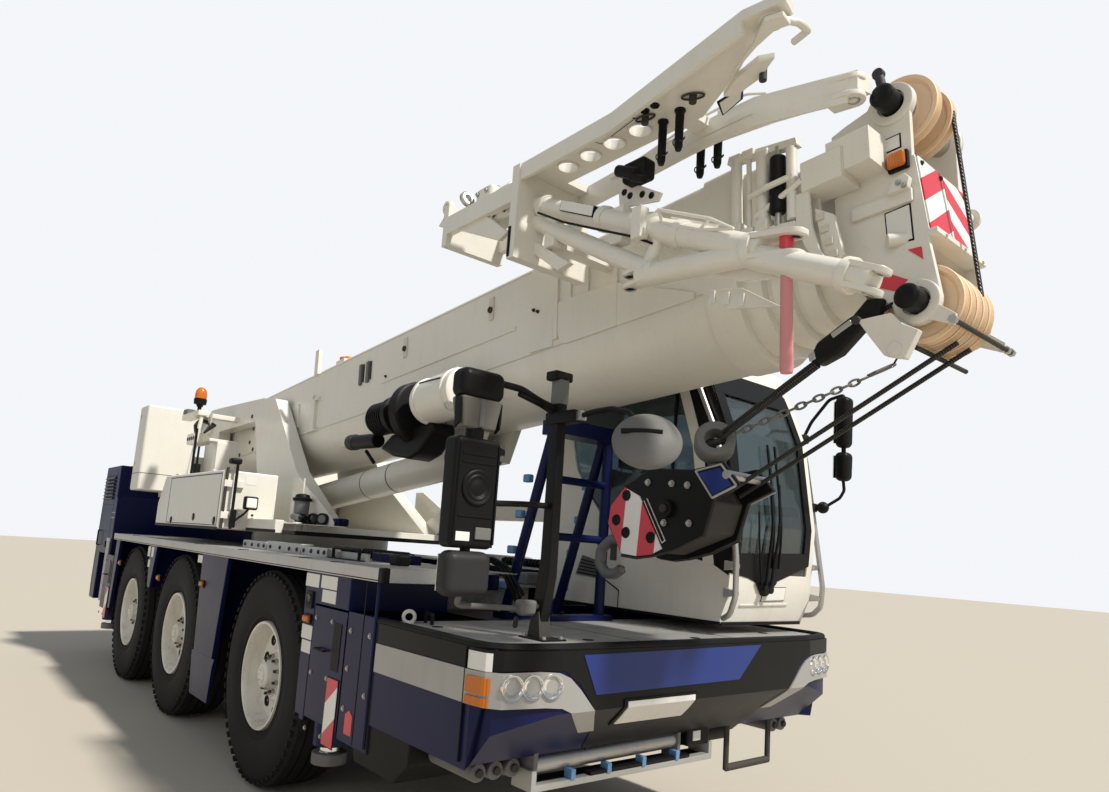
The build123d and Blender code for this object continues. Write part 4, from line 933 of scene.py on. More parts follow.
def makeHeadFittings():
    # everything bolted to the boom head, given along, across and above the boom
    settings = dict(plateY=0.24, boardX=8.2515, boardTop=-0.06, boardLean=0.1029)
    right = -settings["plateY"]
    form = bmesh.new()
    # chevron board on the sloping front, split by a seam
    for low, high, turn in ((-0.236, -0.004, -58), (0.0, 0.236, 58)):
        board = bmesh.new()
        addStriped(board, [(low, -0.396), (high, -0.396), (high, -0.064), (low, -0.064)], (0, 0.006), "front",
                   0.085, turn, ("signRed", "signWhite"), shift=0.02)
        for vert in board.verts:
            vert.co.x += settings["boardX"] + (settings["boardTop"] - vert.co.z) * settings["boardLean"]
        pour(form, board)
    # reflex marks low on the right cheek, then two bare label places with their dark borders
    for outline, proud, sunk, finish in (
        ([(8.057, -0.572), (8.114, -0.531), (8.191, -0.581), (8.141, -0.616)], 0.004, 0.001, "signRed"),
        ([(8.199, -0.458), (8.252, -0.462), (8.254, -0.515)], 0.004, 0.001, "signRed"),
        ([(8.028, -0.010), (8.202, -0.008), (8.202, 0.058), (8.028, 0.056)], 0.002, 0.001, "blackPlastic"),
        ([(8.034, -0.004), (8.196, -0.002), (8.196, 0.052), (8.034, 0.05)], 0.004, -0.001, "labelWhite"),
        ([(8.118, -0.415), (8.226, -0.425), (8.222, -0.263), (8.114, -0.269)], 0.002, 0.001, "blackPlastic"),
        ([(8.124, -0.408), (8.220, -0.417), (8.216, -0.270), (8.120, -0.275)], 0.004, -0.001, "labelWhite"),
    ):
        addPlate(form, outline, (right - proud, right + sunk), finish, "side", 0)
    # marker lamp
    addBox(form, (8.146, right - 0.022, -0.112), (8.232, right, -0.032), "blackPlastic", 0.006)
    addBox(form, (8.152, right - 0.044, -0.106), (8.226, right - 0.02, -0.038), "amberGlass", 0.012, 3)
    # plate that steps out along the front edge with its lug
    addBox(form, (7.98, right - 0.02, -0.262), (8.236, right, -0.204), "ivoryPaint", 0.006)
    addPlate(form, [(8.15, -0.215), (8.232, -0.215), (8.244, -0.175), (8.225, -0.150), (8.18, -0.165)],
             (right - 0.05, right - 0.018), "ivoryPaint", "side", 0.005)
    addBolts(form, [(8.2, right - 0.05, -0.185), (8.222, right - 0.05, -0.205)], (0, -1, 0), 0.009, 0.012,
             "brushedSteel")
    # pin heads and lobes
    for along, up in ((8.175, 0.2), (8.22, -0.683)):
        for sign in (-1, 1):
            start = sign * settings["plateY"]
            addTurned(form, [(0, 0.092), (0.012, 0.09), (0.016, 0.084), (0.016, 0.058), (0.0, 0.056)],
                      (along, start, up), (0, sign, 0), "ivoryPaint", 40)
            addTurned(form, [(0, 0.050), (0.094, 0.050), (0.104, 0.042), (0.108, 0.03), (0.108, 0.0)],
                      (along, start, up), (0, sign, 0), "blackPaint", 40)
    # upright sensor on the upper pin
    addRod(form, (8.165, right - 0.05, 0.24), (8.150, right - 0.05, 0.33), 0.019, "darkSteel", 20,
           round=0.003)
    addRod(form, (8.150, right - 0.066, 0.33), (8.150, right - 0.034, 0.33), 0.024, "darkSteel", 20,
           round=0.004)
    # square sensor box with its round eye and the curved arm below it
    addBox(form, (7.832, -0.40, -0.118), (8.02, right - 0.002, 0.02), "ivoryPaint", 0.008)
    addBox(form, (8.018, -0.395, -0.112), (8.028, right - 0.03, 0.014), "creamPlate", 0.003)
    addTurned(form, [(0.0, 0.0), (0.002, 0.016), (0.004, 0.021), (0.0, 0.024)], (8.028, -0.30, -0.05),
              (1, 0, 0), "blackPlastic", 24)
    for y in (-0.385, -0.30):
        addPlate(form, [(7.80, -0.11), (7.86, -0.11), (7.868, -0.28), (7.90, -0.40), (7.95, -0.49),
                        (7.90, -0.475), (7.83, -0.36), (7.795, -0.24)],
                 (y, y + 0.02), "ivoryPaint", "side", 0.004)
    for k in range(4):
        spot = (7.885 + k * 0.018, -0.34, -0.24 - k * 0.062)
        addBox(form, (spot[0] - 0.006, -0.372, spot[2] - 0.02), (spot[0] + 0.03, -0.31, spot[2] + 0.012),
               "creamPlate", 0.004)
    addPlate(form, [(7.87, -0.19), (7.955, -0.25), (7.99, -0.44), (7.935, -0.50), (7.90, -0.40)],
             (-0.36, -0.335), "ivoryPaint", "side", 0.004)
    addRod(form, (7.60, -0.392, -0.14), (7.835, -0.392, -0.06), 0.014, "ivoryPaint", 14)
    # flange under the board with a capped tube
    addRod(form, (8.13, right - 0.03, -0.405), (8.235, right + 0.05, -0.40), 0.028, "ivoryPaint", 24,
           round=0.004)
    addRod(form, (8.232, right + 0.04, -0.40), (8.262, right + 0.065, -0.398), 0.034, "brushedSteel", 24,
           round=0.005)
    addBox(form, (8.24, -0.236, -0.425), (8.312, 0.236, -0.398), "ivoryPaint", 0.005)
    addBolts(form, [(8.31, y, -0.412) for y in (-0.16, 0.02, 0.2)], (1, 0, 0), 0.008, 0.01, "brushedSteel")
    addBolts(form, [(8.262, y, -0.09) for y in (-0.205, -0.03, 0.205)], (1, 0, 0), 0.008, 0.008, "darkSteel")
    # bracket with its disc beyond the far cheek
    addRod(form, (8.21, 0.24, -0.11), (8.21, 0.39, -0.11), 0.026, "ivoryPaint", 24)
    addTurned(form, [(0, 0.0), (0, 0.05), (0.014, 0.052), (0.018, 0.046), (0.018, 0.02), (0.004, 0.016),
                     (0.004, 0.0)], (8.21, 0.385, -0.11), (0, 1, 0), "ivoryPaint", 32)
    # rope guard bars across the lower sheaves
    for along, up, reach in ((8.355, -0.795, 0.30), (8.20, -0.862, 0.235)):
        addRod(form, (along, -0.235, up), (along, reach, up), 0.010, "darkSteel", 14)
    addPlate(form, [(8.24, -0.66), (8.362, -0.770), (8.352, -0.812), (8.22, -0.745)],
             (right - 0.008, right + 0.006), "ivoryPaint", "side", 0.003)
    addPlate(form, [(8.24, -0.66), (8.362, -0.770), (8.352, -0.812), (8.22, -0.745)], (0.234, 0.248),
             "ivoryPaint", "side", 0.003)
    for y in (-0.262, 0.262, 0.31):
        addTurned(form, [(-0.013, 0.0), (-0.013, 0.017), (0.013, 0.017), (0.013, 0.0)], (8.355, y, -0.795),
                  (0, 1, 0), "brushedSteel", 6)
    # wedge bracket under the lower pin
    addPlate(form, [(8.02, -0.73), (8.16, -0.735), (8.20, -0.79), (8.26, -0.83), (8.20, -0.93),
                    (8.12, -0.90), (8.06, -0.80)],
             (right - 0.10, right - 0.06), "ivoryPaint", "side", 0.006)
    addPlate(form, [(8.02, -0.73), (8.16, -0.735), (8.20, -0.79), (8.16, -0.85), (8.06, -0.80)],
             (right - 0.062, right), "ivoryPaint", "side", 0.006)
    addRod(form, (8.165, right - 0.108, -0.885), (8.165, right - 0.04, -0.885), 0.028, "ivoryPaint", 24,
           round=0.004)
    settle(form, "headFittings", "head", place=boomMatrix)

    form = bmesh.new()
    # hoist rope over the front of the sheaves
    addPipe(form, [(8.323, -0.01, 0.2), (8.36, -0.01, -0.44), (8.372, -0.01, -0.64)], 0.009, "wireRope",
            0.1, 12)
    settle(form, "headRope", "head", place=boomMatrix, crease=60)


def makeBoomFittings():
    settings = dict(sideY=-0.33, seamUp=-0.39)
    side = settings["sideY"]
    form = bmesh.new()
    # weld seams where the upper plates meet the rounded belly
    for sign in (1, -1):
        addBox(form, (0.2, sign * 0.332 - 0.003, settings["seamUp"] - 0.004),
               (7.26, sign * 0.332 + 0.003, settings["seamUp"] + 0.004), "creamPlate", 0.002)
        addBox(form, (0.2, sign * 0.331 - 0.003, 0.155), (5.9, sign * 0.331 + 0.003, 0.163), "creamPlate",
               0.002)
        # guide rail low on the side, and the stiffened band with its curved panel
        addBox(form, (3.95, sign * 0.334 - 0.006, -0.19), (5.75, sign * 0.334 + 0.006, -0.165),
               "ivoryPaint", 0.003)
        addBox(form, (6.13, sign * 0.337 - 0.010, -0.35), (6.17, sign * 0.337 + 0.010, 0.185), "ivoryPaint",
               0.004)
        addBox(form, (6.64, sign * 0.337 - 0.010, -0.40), (6.67, sign * 0.337 + 0.010, 0.18), "ivoryPaint",
               0.004)
        panel = [(6.17, -0.12), (6.17, -0.30)] + arcPoints((6.26, -0.31), 0.09, 180, 270, 6)
        panel += [(7.20, -0.40), (7.20, -0.365), (6.64, -0.14)]
        addPlate(form, panel, (sign * 0.329, sign * 0.343), "ivoryPaint", "side", 0.004)
        for along in (6.25, 6.40, 6.9):
            addBox(form, (along, sign * 0.336 - 0.007, -0.13), (along + 0.035, sign * 0.336 + 0.007, 0.17),
                   "ivoryPaint", 0.003)
        addPlate(form, [(5.9, -0.38), (6.12, -0.20), (6.12, -0.385)], (sign * 0.328, sign * 0.338),
                 "ivoryPaint", "side", 0.003)
    addBolts(form, [(5.93, side - 0.004, -0.105), (5.97, side - 0.004, -0.125),
                    (4.02, side - 0.004, -0.14)], (0, -1, 0), 0.009, 0.012)
    # small lugs, latch and service flaps
    for along, up in ((5.45, 0.02), (4.30, 0.02)):
        addBox(form, (along, side - 0.012, up - 0.07), (along + 0.05, side + 0.002, up + 0.09),
               "creamPlate", 0.004)
        addTurned(form, [(0, 0.022), (0.012, 0.022), (0.012, 0.012), (0.0, 0.012)],
                  (along + 0.025, side - 0.012, up), (0, -1, 0), "darkSteel", 20)
    for along in (3.55, 3.68):
        addBox(form, (along, side - 0.02, -0.13), (along + 0.045, side, 0.055), "greyPlastic", 0.006)
        addBox(form, (along + 0.055, side - 0.012, -0.11), (along + 0.075, side, 0.05), "darkSteel", 0.004)
    addBox(form, (2.60, side - 0.03, 0.155), (2.68, side + 0.01, 0.40), "ivoryPaint", 0.006)
    addBox(form, (2.93, side + 0.04, 0.19), (3.10, side + 0.16, 0.235), "ivoryPaint", 0.004)
    addRod(form, (2.98, side + 0.10, 0.235), (2.98, side + 0.10, 0.275), 0.045, "amberGlass", 24, round=0.006)
    addRod(form, (3.06, side + 0.10, 0.235), (3.06, side + 0.10, 0.265), 0.032, "amberPaint", 24, round=0.006)
    # channel bracket low on the side, ahead of the cheek
    for a, b, c, d, out in ((2.60, 2.68, -0.385, -0.10, 0.030), (2.56, 2.75, -0.105, -0.088, 0.034),
                            (2.50, 2.74, -0.400, -0.383, 0.034),
                            (2.585, 2.605, -0.09, -0.035, 0.020)):
        addBox(form, (a, side - out, c), (b, side + 0.002, d), "ivoryPaint", 0.003)
    # stiffening ribs at the pivot
    for along in (-0.1, 0.35, 1.1):
        addBox(form, (along, side - 0.012, -0.42), (along + 0.03, side + 0.002, 0.17), "ivoryPaint", 0.004)
    addBox(form, (1.15, side - 0.014, -0.30), (2.25, side + 0.002, -0.06), "ivoryPaint", 0.005)
    settle(form, "boomFittings", "boom", place=boomMatrix)


def makeSideUnit():
    # cable drum with its ribbed motor and the round canister, on the right of the boom
    settings = dict(y=-0.52)
    form = bmesh.new()
    y = settings["y"]
    addTurned(form, [(-0.235, 0.0), (-0.235, 0.145), (-0.228, 0.153), (-0.20, 0.156), (-0.195, 0.165),
                     (-0.172, 0.165), (-0.167, 0.156),
                     (0.14, 0.156), (0.145, 0.165), (0.168, 0.165), (0.173, 0.156), (0.225, 0.154),
                     (0.235, 0.14), (0.235, 0.0)],
              (5.27, y, -0.58), (1, 0, 0), "ivoryPaint", 48)
    addBox(form, (5.10, y - 0.03, -0.435), (5.42, y + 0.05, -0.405), "ivoryPaint", 0.006)
    addRod(form, (5.07, y - 0.11, -0.47), (5.40, y - 0.135, -0.50), 0.007, "blackPlastic", 10)
    addRod(form, (5.45, y - 0.10, -0.68), (5.52, y - 0.13, -0.70), 0.026, "brushedSteel", 20, round=0.004)
    for along in (5.05, 5.42):
        addBox(form, (along, -0.50, -0.50), (along + 0.05, -0.325, -0.44), "ivoryPaint", 0.005)
    # ribbed motor
    face = [(0.0, 0.0), (0.0, 0.085), (0.02, 0.10), (0.05, 0.104)]
    for k in range(7):
        start = 0.055 + k * 0.024
        face += [(start, 0.104), (start + 0.002, 0.120), (start + 0.012, 0.120), (start + 0.014, 0.104)]
    face += [(0.24, 0.104), (0.25, 0.135), (0.30, 0.138), (0.31, 0.10), (0.34, 0.09), (0.34, 0.0)]
    addTurned(form, face, (4.42, -0.60, -0.62), (1, 0.12, 0.02), "blackPlastic", 40)
    addBox(form, (4.405, -0.655, -0.67), (4.42, -0.575, -0.57), "labelWhite", 0.004)
    addTurned(form, [(-0.05, 0.0), (-0.05, 0.20), (-0.035, 0.22), (0.035, 0.22), (0.05, 0.20), (0.05, 0.0)],
              (4.86, -0.50, -0.62), (1, 0.1, 0), "blackPlastic", 48)
    addPlate(form, [(4.62, -0.60), (4.70, -0.40), (4.92, -0.36), (5.10, -0.44), (5.05, -0.60)],
             (-0.45, -0.36), "blackPlastic", "side", 0.01)
    addPlate(form, [(4.60, -0.74), (5.15, -0.72), (5.16, -0.80), (5.00, -0.92), (4.86, -0.95),
                    (4.62, -0.90), (4.42, -0.82)], (-0.56, -0.36), "blackPlastic", "side", 0.03, 3)
    addRod(form, (4.0, -0.56, -0.72), (4.42, -0.56, -0.76), 0.055, "blackPlastic", 24, round=0.012)
    addRod(form, (3.96, -0.56, -0.715), (4.06, -0.56, -0.725), 0.062, "darkSteel", 24, round=0.01)
    addRod(form, (3.82, -0.55, -0.71), (3.98, -0.56, -0.715), 0.03, "creamPlate", 20, round=0.005)
    addBox(form, (4.62, -0.45, -0.72), (4.95, -0.31, -0.50), "darkSteel", 0.01)
    addRod(form, (4.15, -0.52, -0.80), (4.25, -0.50, -0.90), 0.014, "blackPlastic", 12)
    settle(form, "boomSideUnit", "boom", ("side_unit",), place=boomMatrix)


makeSheaves()
makeHeadFittings()
makeBoomFittings()
makeSideUnit()
print("boom and head dressed")


def addEye(form, centre, axis, reach, hole, depth, finish, sides=28):
    # a rounded ring about an axis
    fat = (reach - hole) * 0.3
    section = [(-depth, hole + fat * 0.4), (-depth * 0.8, hole), (depth * 0.8, hole),
               (depth, hole + fat * 0.4),
               (depth, reach - fat), (depth * 0.6, reach), (-depth * 0.6, reach), (-depth, reach - fat),
               (-depth, hole + fat * 0.4)]
    addTurned(form, section, centre, axis, finish, sides)


def makeHookBlock():
    # sheave block on the hoist rope, its hook folded back towards the boom rest
    settings = dict(nearY=-0.25, farY=0.05, plate=0.03)
    near, far = settings["nearY"], settings["farY"]
    cheek = [(2.153, 1.780), (2.272, 1.613), (2.383, 1.605), (2.489, 1.620), (2.636, 1.658), (2.797, 1.728),
             (2.855, 1.908), (2.998, 1.969), (2.902, 2.079), (2.709, 2.052), (2.457, 2.069), (2.272, 1.984),
             (2.168, 1.880)]
    striped = [(2.166, 1.782), (2.276, 1.626), (2.383, 1.617), (2.486, 1.630), (2.553, 1.662), (2.384, 1.925),
               (2.276, 1.972), (2.180, 1.876)]
    form = bmesh.new()
    for low, high in ((near, near + settings["plate"]), (far - settings["plate"], far)):
        addPlate(form, cheek, (low, high), "blackPaint", "side", 0.006, 3)
    core = [(2.72, 2.035), (2.47, 2.045), (2.29, 1.955), (2.20, 1.86), (2.30, 1.64), (2.48, 1.64),
            (2.78, 1.75), (2.83, 1.90)]
    addPlate(form, core, (near + 0.026, far - 0.026), "darkSteel", "side", 0.01)
    for low, high in ((near - 0.006, near + 0.004), (far - 0.004, far + 0.006)):
        addStriped(form, striped, (low, high), "side", 0.116, -4.3, ("signWhite", "signRed"), shift=2.139)
        side, outer = (-1, low) if low < 0 else (1, high)
        for x, z in ((2.292, 1.93), (2.30, 1.735), (2.475, 1.715), (2.225, 1.80)):
            addTurned(form, [(0, 0.0), (0.004, 0.020), (0.006, 0.027), (0.0, 0.030)], (x, outer, z),
                      (0, side, 0), "blackPlastic", 24)
        # painted highlight: a lighter steel line along the cheek's edge, and the cheek's bolts
        rim = outer - side * 0.004
        addPipe(form, [(x, rim, z) for x, z in cheek[1:6]], 0.005, "darkSteel", 0.02, 8)
        spots = ((2.44, 1.995), (2.56, 1.79), (2.70, 1.975), (2.72, 1.79), (2.60, 1.985))
        addBolts(form, [(x, outer, z) for x, z in spots], (0, side, 0), 0.013, 0.014, "brushedSteel")
        # bare strip along the stripes' edge
        strip = [(2.414, 1.900), (2.436, 1.914), (2.572, 1.702), (2.550, 1.688)]
        addPlate(form, strip, (low + 0.001, high - 0.001), "labelWhite", "side", 0.001)
        strip = [(2.420, 1.902), (2.434, 1.911), (2.567, 1.704), (2.553, 1.694)]
        addPlate(form, strip, (low - 0.0005, high + 0.0005), "blackPlastic", "side", 0)
    # open rope box with bright edges
    box = [(2.745, 2.043), (2.895, 2.070), (2.985, 1.968), (2.850, 1.912)]
    for start, end in zip(box, box[1:] + box[:1]):
        addPipe(form, [(start[0], near - 0.003, start[1]), (end[0], near - 0.003, end[1])], 0.006,
                "brushedSteel", 0, 8)
        addPipe(form, [(start[0], far + 0.003, start[1]), (end[0], far + 0.003, end[1])], 0.006,
                "brushedSteel", 0, 8)
    addPlate(form, [(2.765, 2.032), (2.888, 2.055), (2.962, 1.97), (2.855, 1.925)],
             (near - 0.006, near + 0.002), "skyBluePanel", "side", 0.002)
    addRod(form, (2.93, near - 0.012, 2.02), (2.93, far + 0.012, 2.02), 0.022, "brushedSteel", 24,
           round=0.004)
    addRod(form, (2.575, near - 0.03, 1.86), (2.575, far + 0.03, 1.86), 0.045, "blackPaint", 32, round=0.008)
    addRod(form, (2.575, near - 0.042, 1.86), (2.575, far + 0.042, 1.86), 0.022, "darkSteel", 6)
    # swivel and the folded hook
    addRod(form, (2.26, -0.10, 1.765), (2.10, -0.10, 1.700), 0.038, "darkSteel", 28, tip=0.030, round=0.006)
    addTurned(form, [(-0.02, 0.0), (-0.02, 0.052), (0.02, 0.056), (0.03, 0.04), (0.03, 0.0)],
              (2.165, -0.10, 1.727), (-0.927, 0, -0.375), "castIron", 32)
    hookRoute = [(2.12, -0.10, 1.705), (2.04, -0.10, 1.700), (1.962, -0.10, 1.640), (1.958, -0.10, 1.560),
                 (2.010, -0.10, 1.510),
                 (2.080, -0.10, 1.510), (2.128, -0.10, 1.540)]
    addPipe(form, hookRoute, 0.030, "castIron", 0.05, 20)
    addRod(form, (2.118, -0.10, 1.532), (2.145, -0.10, 1.552), 0.029, "castIron", 20, tip=0.010)
    addBox(form, (2.045, -0.112, 1.585), (2.078, -0.088, 1.690), "darkSteel", 0.004)
    settle(form, "hookBlock", "head", ("hook_block",), crease=34)


def makeHoistRopes():
    settings = dict(radius=0.0105, sheave=(3.818, 2.673), reach=0.1735, start=(2.88, 1.985))
    startX, startZ = settings["start"]
    sheaveX, sheaveZ = settings["sheave"]
    rise = math.atan2(sheaveZ - startZ, sheaveX - startX)
    span = math.hypot(sheaveX - startX, sheaveZ - startZ)
    slope = rise - math.asin(settings["reach"] / span)
    length = math.sqrt(span ** 2 - settings["reach"] ** 2)
    form = bmesh.new()
    for y in (-0.12, 0.0):
        end = (startX + length * math.cos(slope), y, startZ + length * math.sin(slope))
        addRod(form, (startX - 0.06, y, startZ - 0.045), end, settings["radius"], "wireRope", 12)
    # rope's dead end: two strands up to the black socket, which hangs from the boom head
    for lift in (-0.018, 0.018):
        addRod(form, (2.86, -0.21 + lift * 0.4, 2.215 + lift), (3.42, -0.30 + lift * 0.4, 2.475 + lift),
               settings["radius"], "wireRope", 12)
    addRod(form, (3.58, -0.285, 2.605), (3.70, -0.23, 2.69), settings["radius"], "wireRope", 12)
    socket = [(3.383, 2.478), (3.430, 2.455), (3.520, 2.490), (3.628, 2.590), (3.612, 2.632),
              (3.575, 2.640), (3.420, 2.552)]
    addPlate(form, socket, (-0.335, -0.265), "blackPaint", "side", 0.016, 3)
    addPlate(form, [(3.50, 2.555), (3.585, 2.600), (3.572, 2.620), (3.488, 2.575)], (-0.341, -0.333),
             "brushedSteel", "side", 0.003)
    addPlate(form, [(3.395, 2.470), (3.425, 2.480), (3.415, 2.515), (3.388, 2.500)], (-0.341, -0.333),
             "brushedSteel", "side", 0.003)
    addPlate(form, [(3.545, 2.560), (3.67, 2.62), (3.69, 2.70), (3.62, 2.71), (3.53, 2.62)],
             (-0.30, -0.255), "blackPlastic", "side", 0.012)
    addRod(form, (3.60, -0.35, 2.61), (3.60, -0.25, 2.61), 0.018, "darkSteel", 20, round=0.003)
    # grey cast eye on the block, and the chain that runs from it to the far side of the head
    eye = Vector((2.81, -0.20, 2.185))
    addTurned(form, [(-0.055, 0.060), (-0.05, 0.052), (0.05, 0.052), (0.055, 0.060), (0.055, 0.086),
                     (0.04, 0.098), (-0.04, 0.098),
                     (-0.055, 0.086), (-0.055, 0.060)], eye, (0.62, -0.72, 0.30), "castIron", 36)
    addRod(form, eye + Vector((0.0, 0.02, -0.09)), eye + Vector((-0.01, 0.05, -0.17)), 0.045, "castIron",
           24, tip=0.030, round=0.008)
    addRod(form, eye + Vector((-0.07, -0.03, -0.02)), eye + Vector((0.07, 0.03, 0.02)), 0.017, "darkSteel",
           20)
    start, end = Vector((2.89, -0.16, 2.225)), Vector((3.32, 0.30, 2.545))
    way = (end - start).normalized()
    count = 15
    for k in range(count):
        middle = start.lerp(end, (k + 0.5) / count)
        sideways = way.cross(Vector((0, 0, 1))).normalized()
        if k % 2:
            sideways = way.cross(sideways).normalized()
        ring = []
        for t in range(12):
            angle = math.tau * t / 12
            ring.append(middle + way * 0.030 * math.cos(angle) + sideways * 0.014 * math.sin(angle))
        addPipe(form, ring + ring[:2], 0.0058, "castIron", 0, 8)
    pear = Vector((3.365, 0.345, 2.582))
    outline = [pear + way * a + Vector((0, 0, 1)).cross(way).normalized() * b for a, b in
               ((-0.07, 0), (-0.045, 0.030), (0.03, 0.034), (0.06, 0.015), (0.07, 0), (0.06, -0.015),
                (0.03, -0.034), (-0.045, -0.030))]
    addPipe(form, outline + outline[:2], 0.009, "castIron", 0.01, 10)
    addRod(form, pear + way * 0.06, (3.60, 0.17, 2.70), 0.005, "wireRope", 8)
    settle(form, "hoistRopes", "head", crease=50)


def addShell(form, low, high, finish, round=0.04, taper=1.0, segments=5):
    # a moulded housing: a box with generous rounded edges, narrowed towards its foot
    part = bmesh.new()
    bmesh.ops.create_cube(part, size=1)
    low, high = Vector(low), Vector(high)
    bmesh.ops.scale(part, vec=(taper, taper, 1), verts=[v for v in part.verts if v.co.z < 0])
    bmesh.ops.scale(part, vec=high - low, verts=part.verts)
    bmesh.ops.translate(part, vec=(low + high) / 2, verts=part.verts)
    soften(part, round, segments)
    join(form, part, finish)


def makeRightMirrors():
    settings = dict(postX=2.38, postY=-0.84, stackX=2.40, stackY=-1.315)
    x, y = settings["postX"], settings["postY"]
    form = bmesh.new()
    # square post with a cranked foot
    addBox(form, (x - 0.09, y - 0.07, 1.2075), (x + 0.09, y + 0.07, 1.222), "blackPaint", 0.003)
    addBolts(form, [(x + a, y + b, 1.222) for a in (-0.07, 0.07) for b in (-0.05, 0.05)], (0, 0, 1), 0.009,
             0.012, "brushedSteel")
    addPlate(form, [(x - 0.075, 1.22), (x - 0.005, 1.22), (x + 0.045, 1.50), (x + 0.035, 2.35),
                    (x - 0.022, 2.35), (x - 0.025, 1.58)],
             (y - 0.026, y + 0.026), "blackPaint", "side", 0.006)
    addPlate(form, [(x - 0.075, 1.22), (x + 0.02, 1.22), (x + 0.0, 1.34), (x - 0.05, 1.32)],
             (y - 0.034, y + 0.034), "darkSteel", "side", 0.005)
    addBox(form, (x - 0.028, y - 0.030, 2.30), (x + 0.040, y + 0.030, 2.42), "greyPlastic", 0.008)
    # work lamp on top
    addShell(form, (x - 0.045, y - 0.055, 2.415), (x + 0.035, y + 0.055, 2.46), "blackPlastic", 0.010, 1, 3)
    addBox(form, (x + 0.032, y - 0.045, 2.422), (x + 0.040, y + 0.045, 2.454), "lampGlass", 0.003)
    # bracket across the post with the ramp mirror's arm
    addBox(form, (x - 0.05, y - 0.036, 2.205), (x + 0.155, y + 0.036, 2.262), "blackPaint", 0.006)
    addBox(form, (x + 0.150, y - 0.020, 2.212), (x + 0.185, y + 0.020, 2.255), "brushedSteel", 0.004)
    addPipe(form, [(x + 0.17, y, 2.235), (x + 0.25, y, 2.245), (x + 0.36, y + 0.01, 2.25),
                   (x + 0.47, y + 0.01, 2.22), (x + 0.52, y, 2.15)],
            0.013, "blackPlastic", 0.06, 14)
    dish = Vector((2.955, y + 0.01, 2.075))
    tilt = Vector((-0.60, 0.60, -0.54)).normalized()
    addTurned(form, [(-0.060, 0.0), (-0.055, 0.06), (-0.040, 0.105), (-0.012, 0.138), (0.006, 0.147),
                     (0.014, 0.146), (0.016, 0.138),
                     (0.010, 0.130), (0.010, 0.0)], dish + Vector((0, 0, 0.02)), tilt, "greyPlastic", 48)
    addTurned(form, [(0.0, 0.0), (0.0, 0.128), (0.003, 0.128), (0.006, 0.0)], dish + tilt * 0.010 +
              Vector((0, 0, 0.02)), tilt, "mirrorGlass", 48)
    addRod(form, (2.905, y, 2.165), (2.920, y, 2.095), 0.026, "blackPlastic", 24, round=0.006)
    band = [dish + Vector((0, 0, 0.02)) - tilt * (0.057 - 0.55 * (a * a)) +
            Vector((0.70, 0.70, 0)).normalized() * a for a in (-0.11, -0.06, 0.0, 0.06)]
    addPipe(form, band, 0.011, "blackPlastic", 0.02, 8)
    # the mirror head's arms
    sx, sy = settings["stackX"], settings["stackY"]
    addPipe(form, [(x, y, 2.275), (x - 0.02, y - 0.10, 2.305), (sx, y - 0.24, 2.330), (sx, sy, 2.335)],
            0.016, "blackPlastic", 0.07, 14)
    addPipe(form, [(x, y, 2.245), (x - 0.02, y - 0.08, 2.285), (sx, y - 0.25, 2.305)], 0.012, "blackPaint",
            0.05, 12)
    addPipe(form, [(x, y, 1.82), (x, y - 0.16, 1.815), (sx, sy + 0.10, 1.80)], 0.014, "blackPlastic", 0.05,
            12)
    addPipe(form, [(x - 0.02, y - 0.02, 1.36), (x - 0.06, y - 0.12, 1.345), (x - 0.04, sy + 0.02, 1.36),
                   (sx, sy, 1.43)], 0.013, "greyPlastic", 0.08, 14)
    addShell(form, (x - 0.07, y - 0.13, 1.315), (x - 0.01, y - 0.02, 1.385), "greyPlastic", 0.018, 0.8)
    addRod(form, (x - 0.075, y - 0.10, 1.30), (x - 0.03, y - 0.14, 1.27), 0.012, "darkSteel", 14, round=0.003)
    # cap, frosted housing, tall mirror and square mirror
    addShell(form, (sx - 0.055, sy - 0.112, 2.235), (sx + 0.060, sy + 0.112, 2.365), "blackPlastic", 0.038)
    addShell(form, (sx - 0.045, sy - 0.105, 2.105), (sx + 0.050, sy + 0.105, 2.240), "frostedCover", 0.014,
             0.80, 3)
    addBox(form, (sx + 0.034, sy - 0.012, 2.115), (sx + 0.052, sy + 0.012, 2.235), "greyPlastic", 0.003)
    for offset in (-0.108, 0.10):
        addPlate(form, [(sx + 0.0, 2.10), (sx + 0.035, 2.12), (sx + 0.04, 2.23), (sx - 0.01, 2.24)],
                 (sy + offset, sy + offset + 0.010), "blackPlastic", "side", 0.003)
    addRod(form, (sx, sy, 2.03), (sx, sy, 2.12), 0.040, "blackPlastic", 24, round=0.008)
    addShell(form, (sx - 0.058, sy - 0.115, 1.600), (sx + 0.055, sy + 0.115, 2.068), "blackPlastic", 0.026,
             0.96)
    face = sx + 0.052
    addTurned(form, [(0, 0.0), (0, 0.074), (0.008, 0.076), (0.012, 0.070), (0.008, 0.056), (0.012, 0.050),
                     (0.006, 0.036), (0.010, 0.018), (0.012, 0.0)],
              (face, sy, 1.855), (1, 0, 0), "blackPlastic", 40)
    addBox(form, (face, sy - 0.090, 1.630), (face + 0.006, sy - 0.020, 1.668), "labelWhite", 0.003)
    addBox(form, (face, sy + 0.005, 1.640), (face + 0.010, sy + 0.085, 1.690), "greyPlastic", 0.004)
    for z in (1.73, 1.955, 1.99):
        addBox(form, (face - 0.002, sy - 0.085, z), (face + 0.006, sy + 0.085, z + 0.008), "blackPaint",
               0.002)
    for offset in (-0.10, 0.094):
        addBox(form, (face - 0.006, sy + offset, 1.62), (face + 0.008, sy + offset + 0.010, 2.04),
               "blackPaint", 0.003)
    addRod(form, (sx, sy, 1.56), (sx, sy, 1.62), 0.022, "blackPlastic", 20)
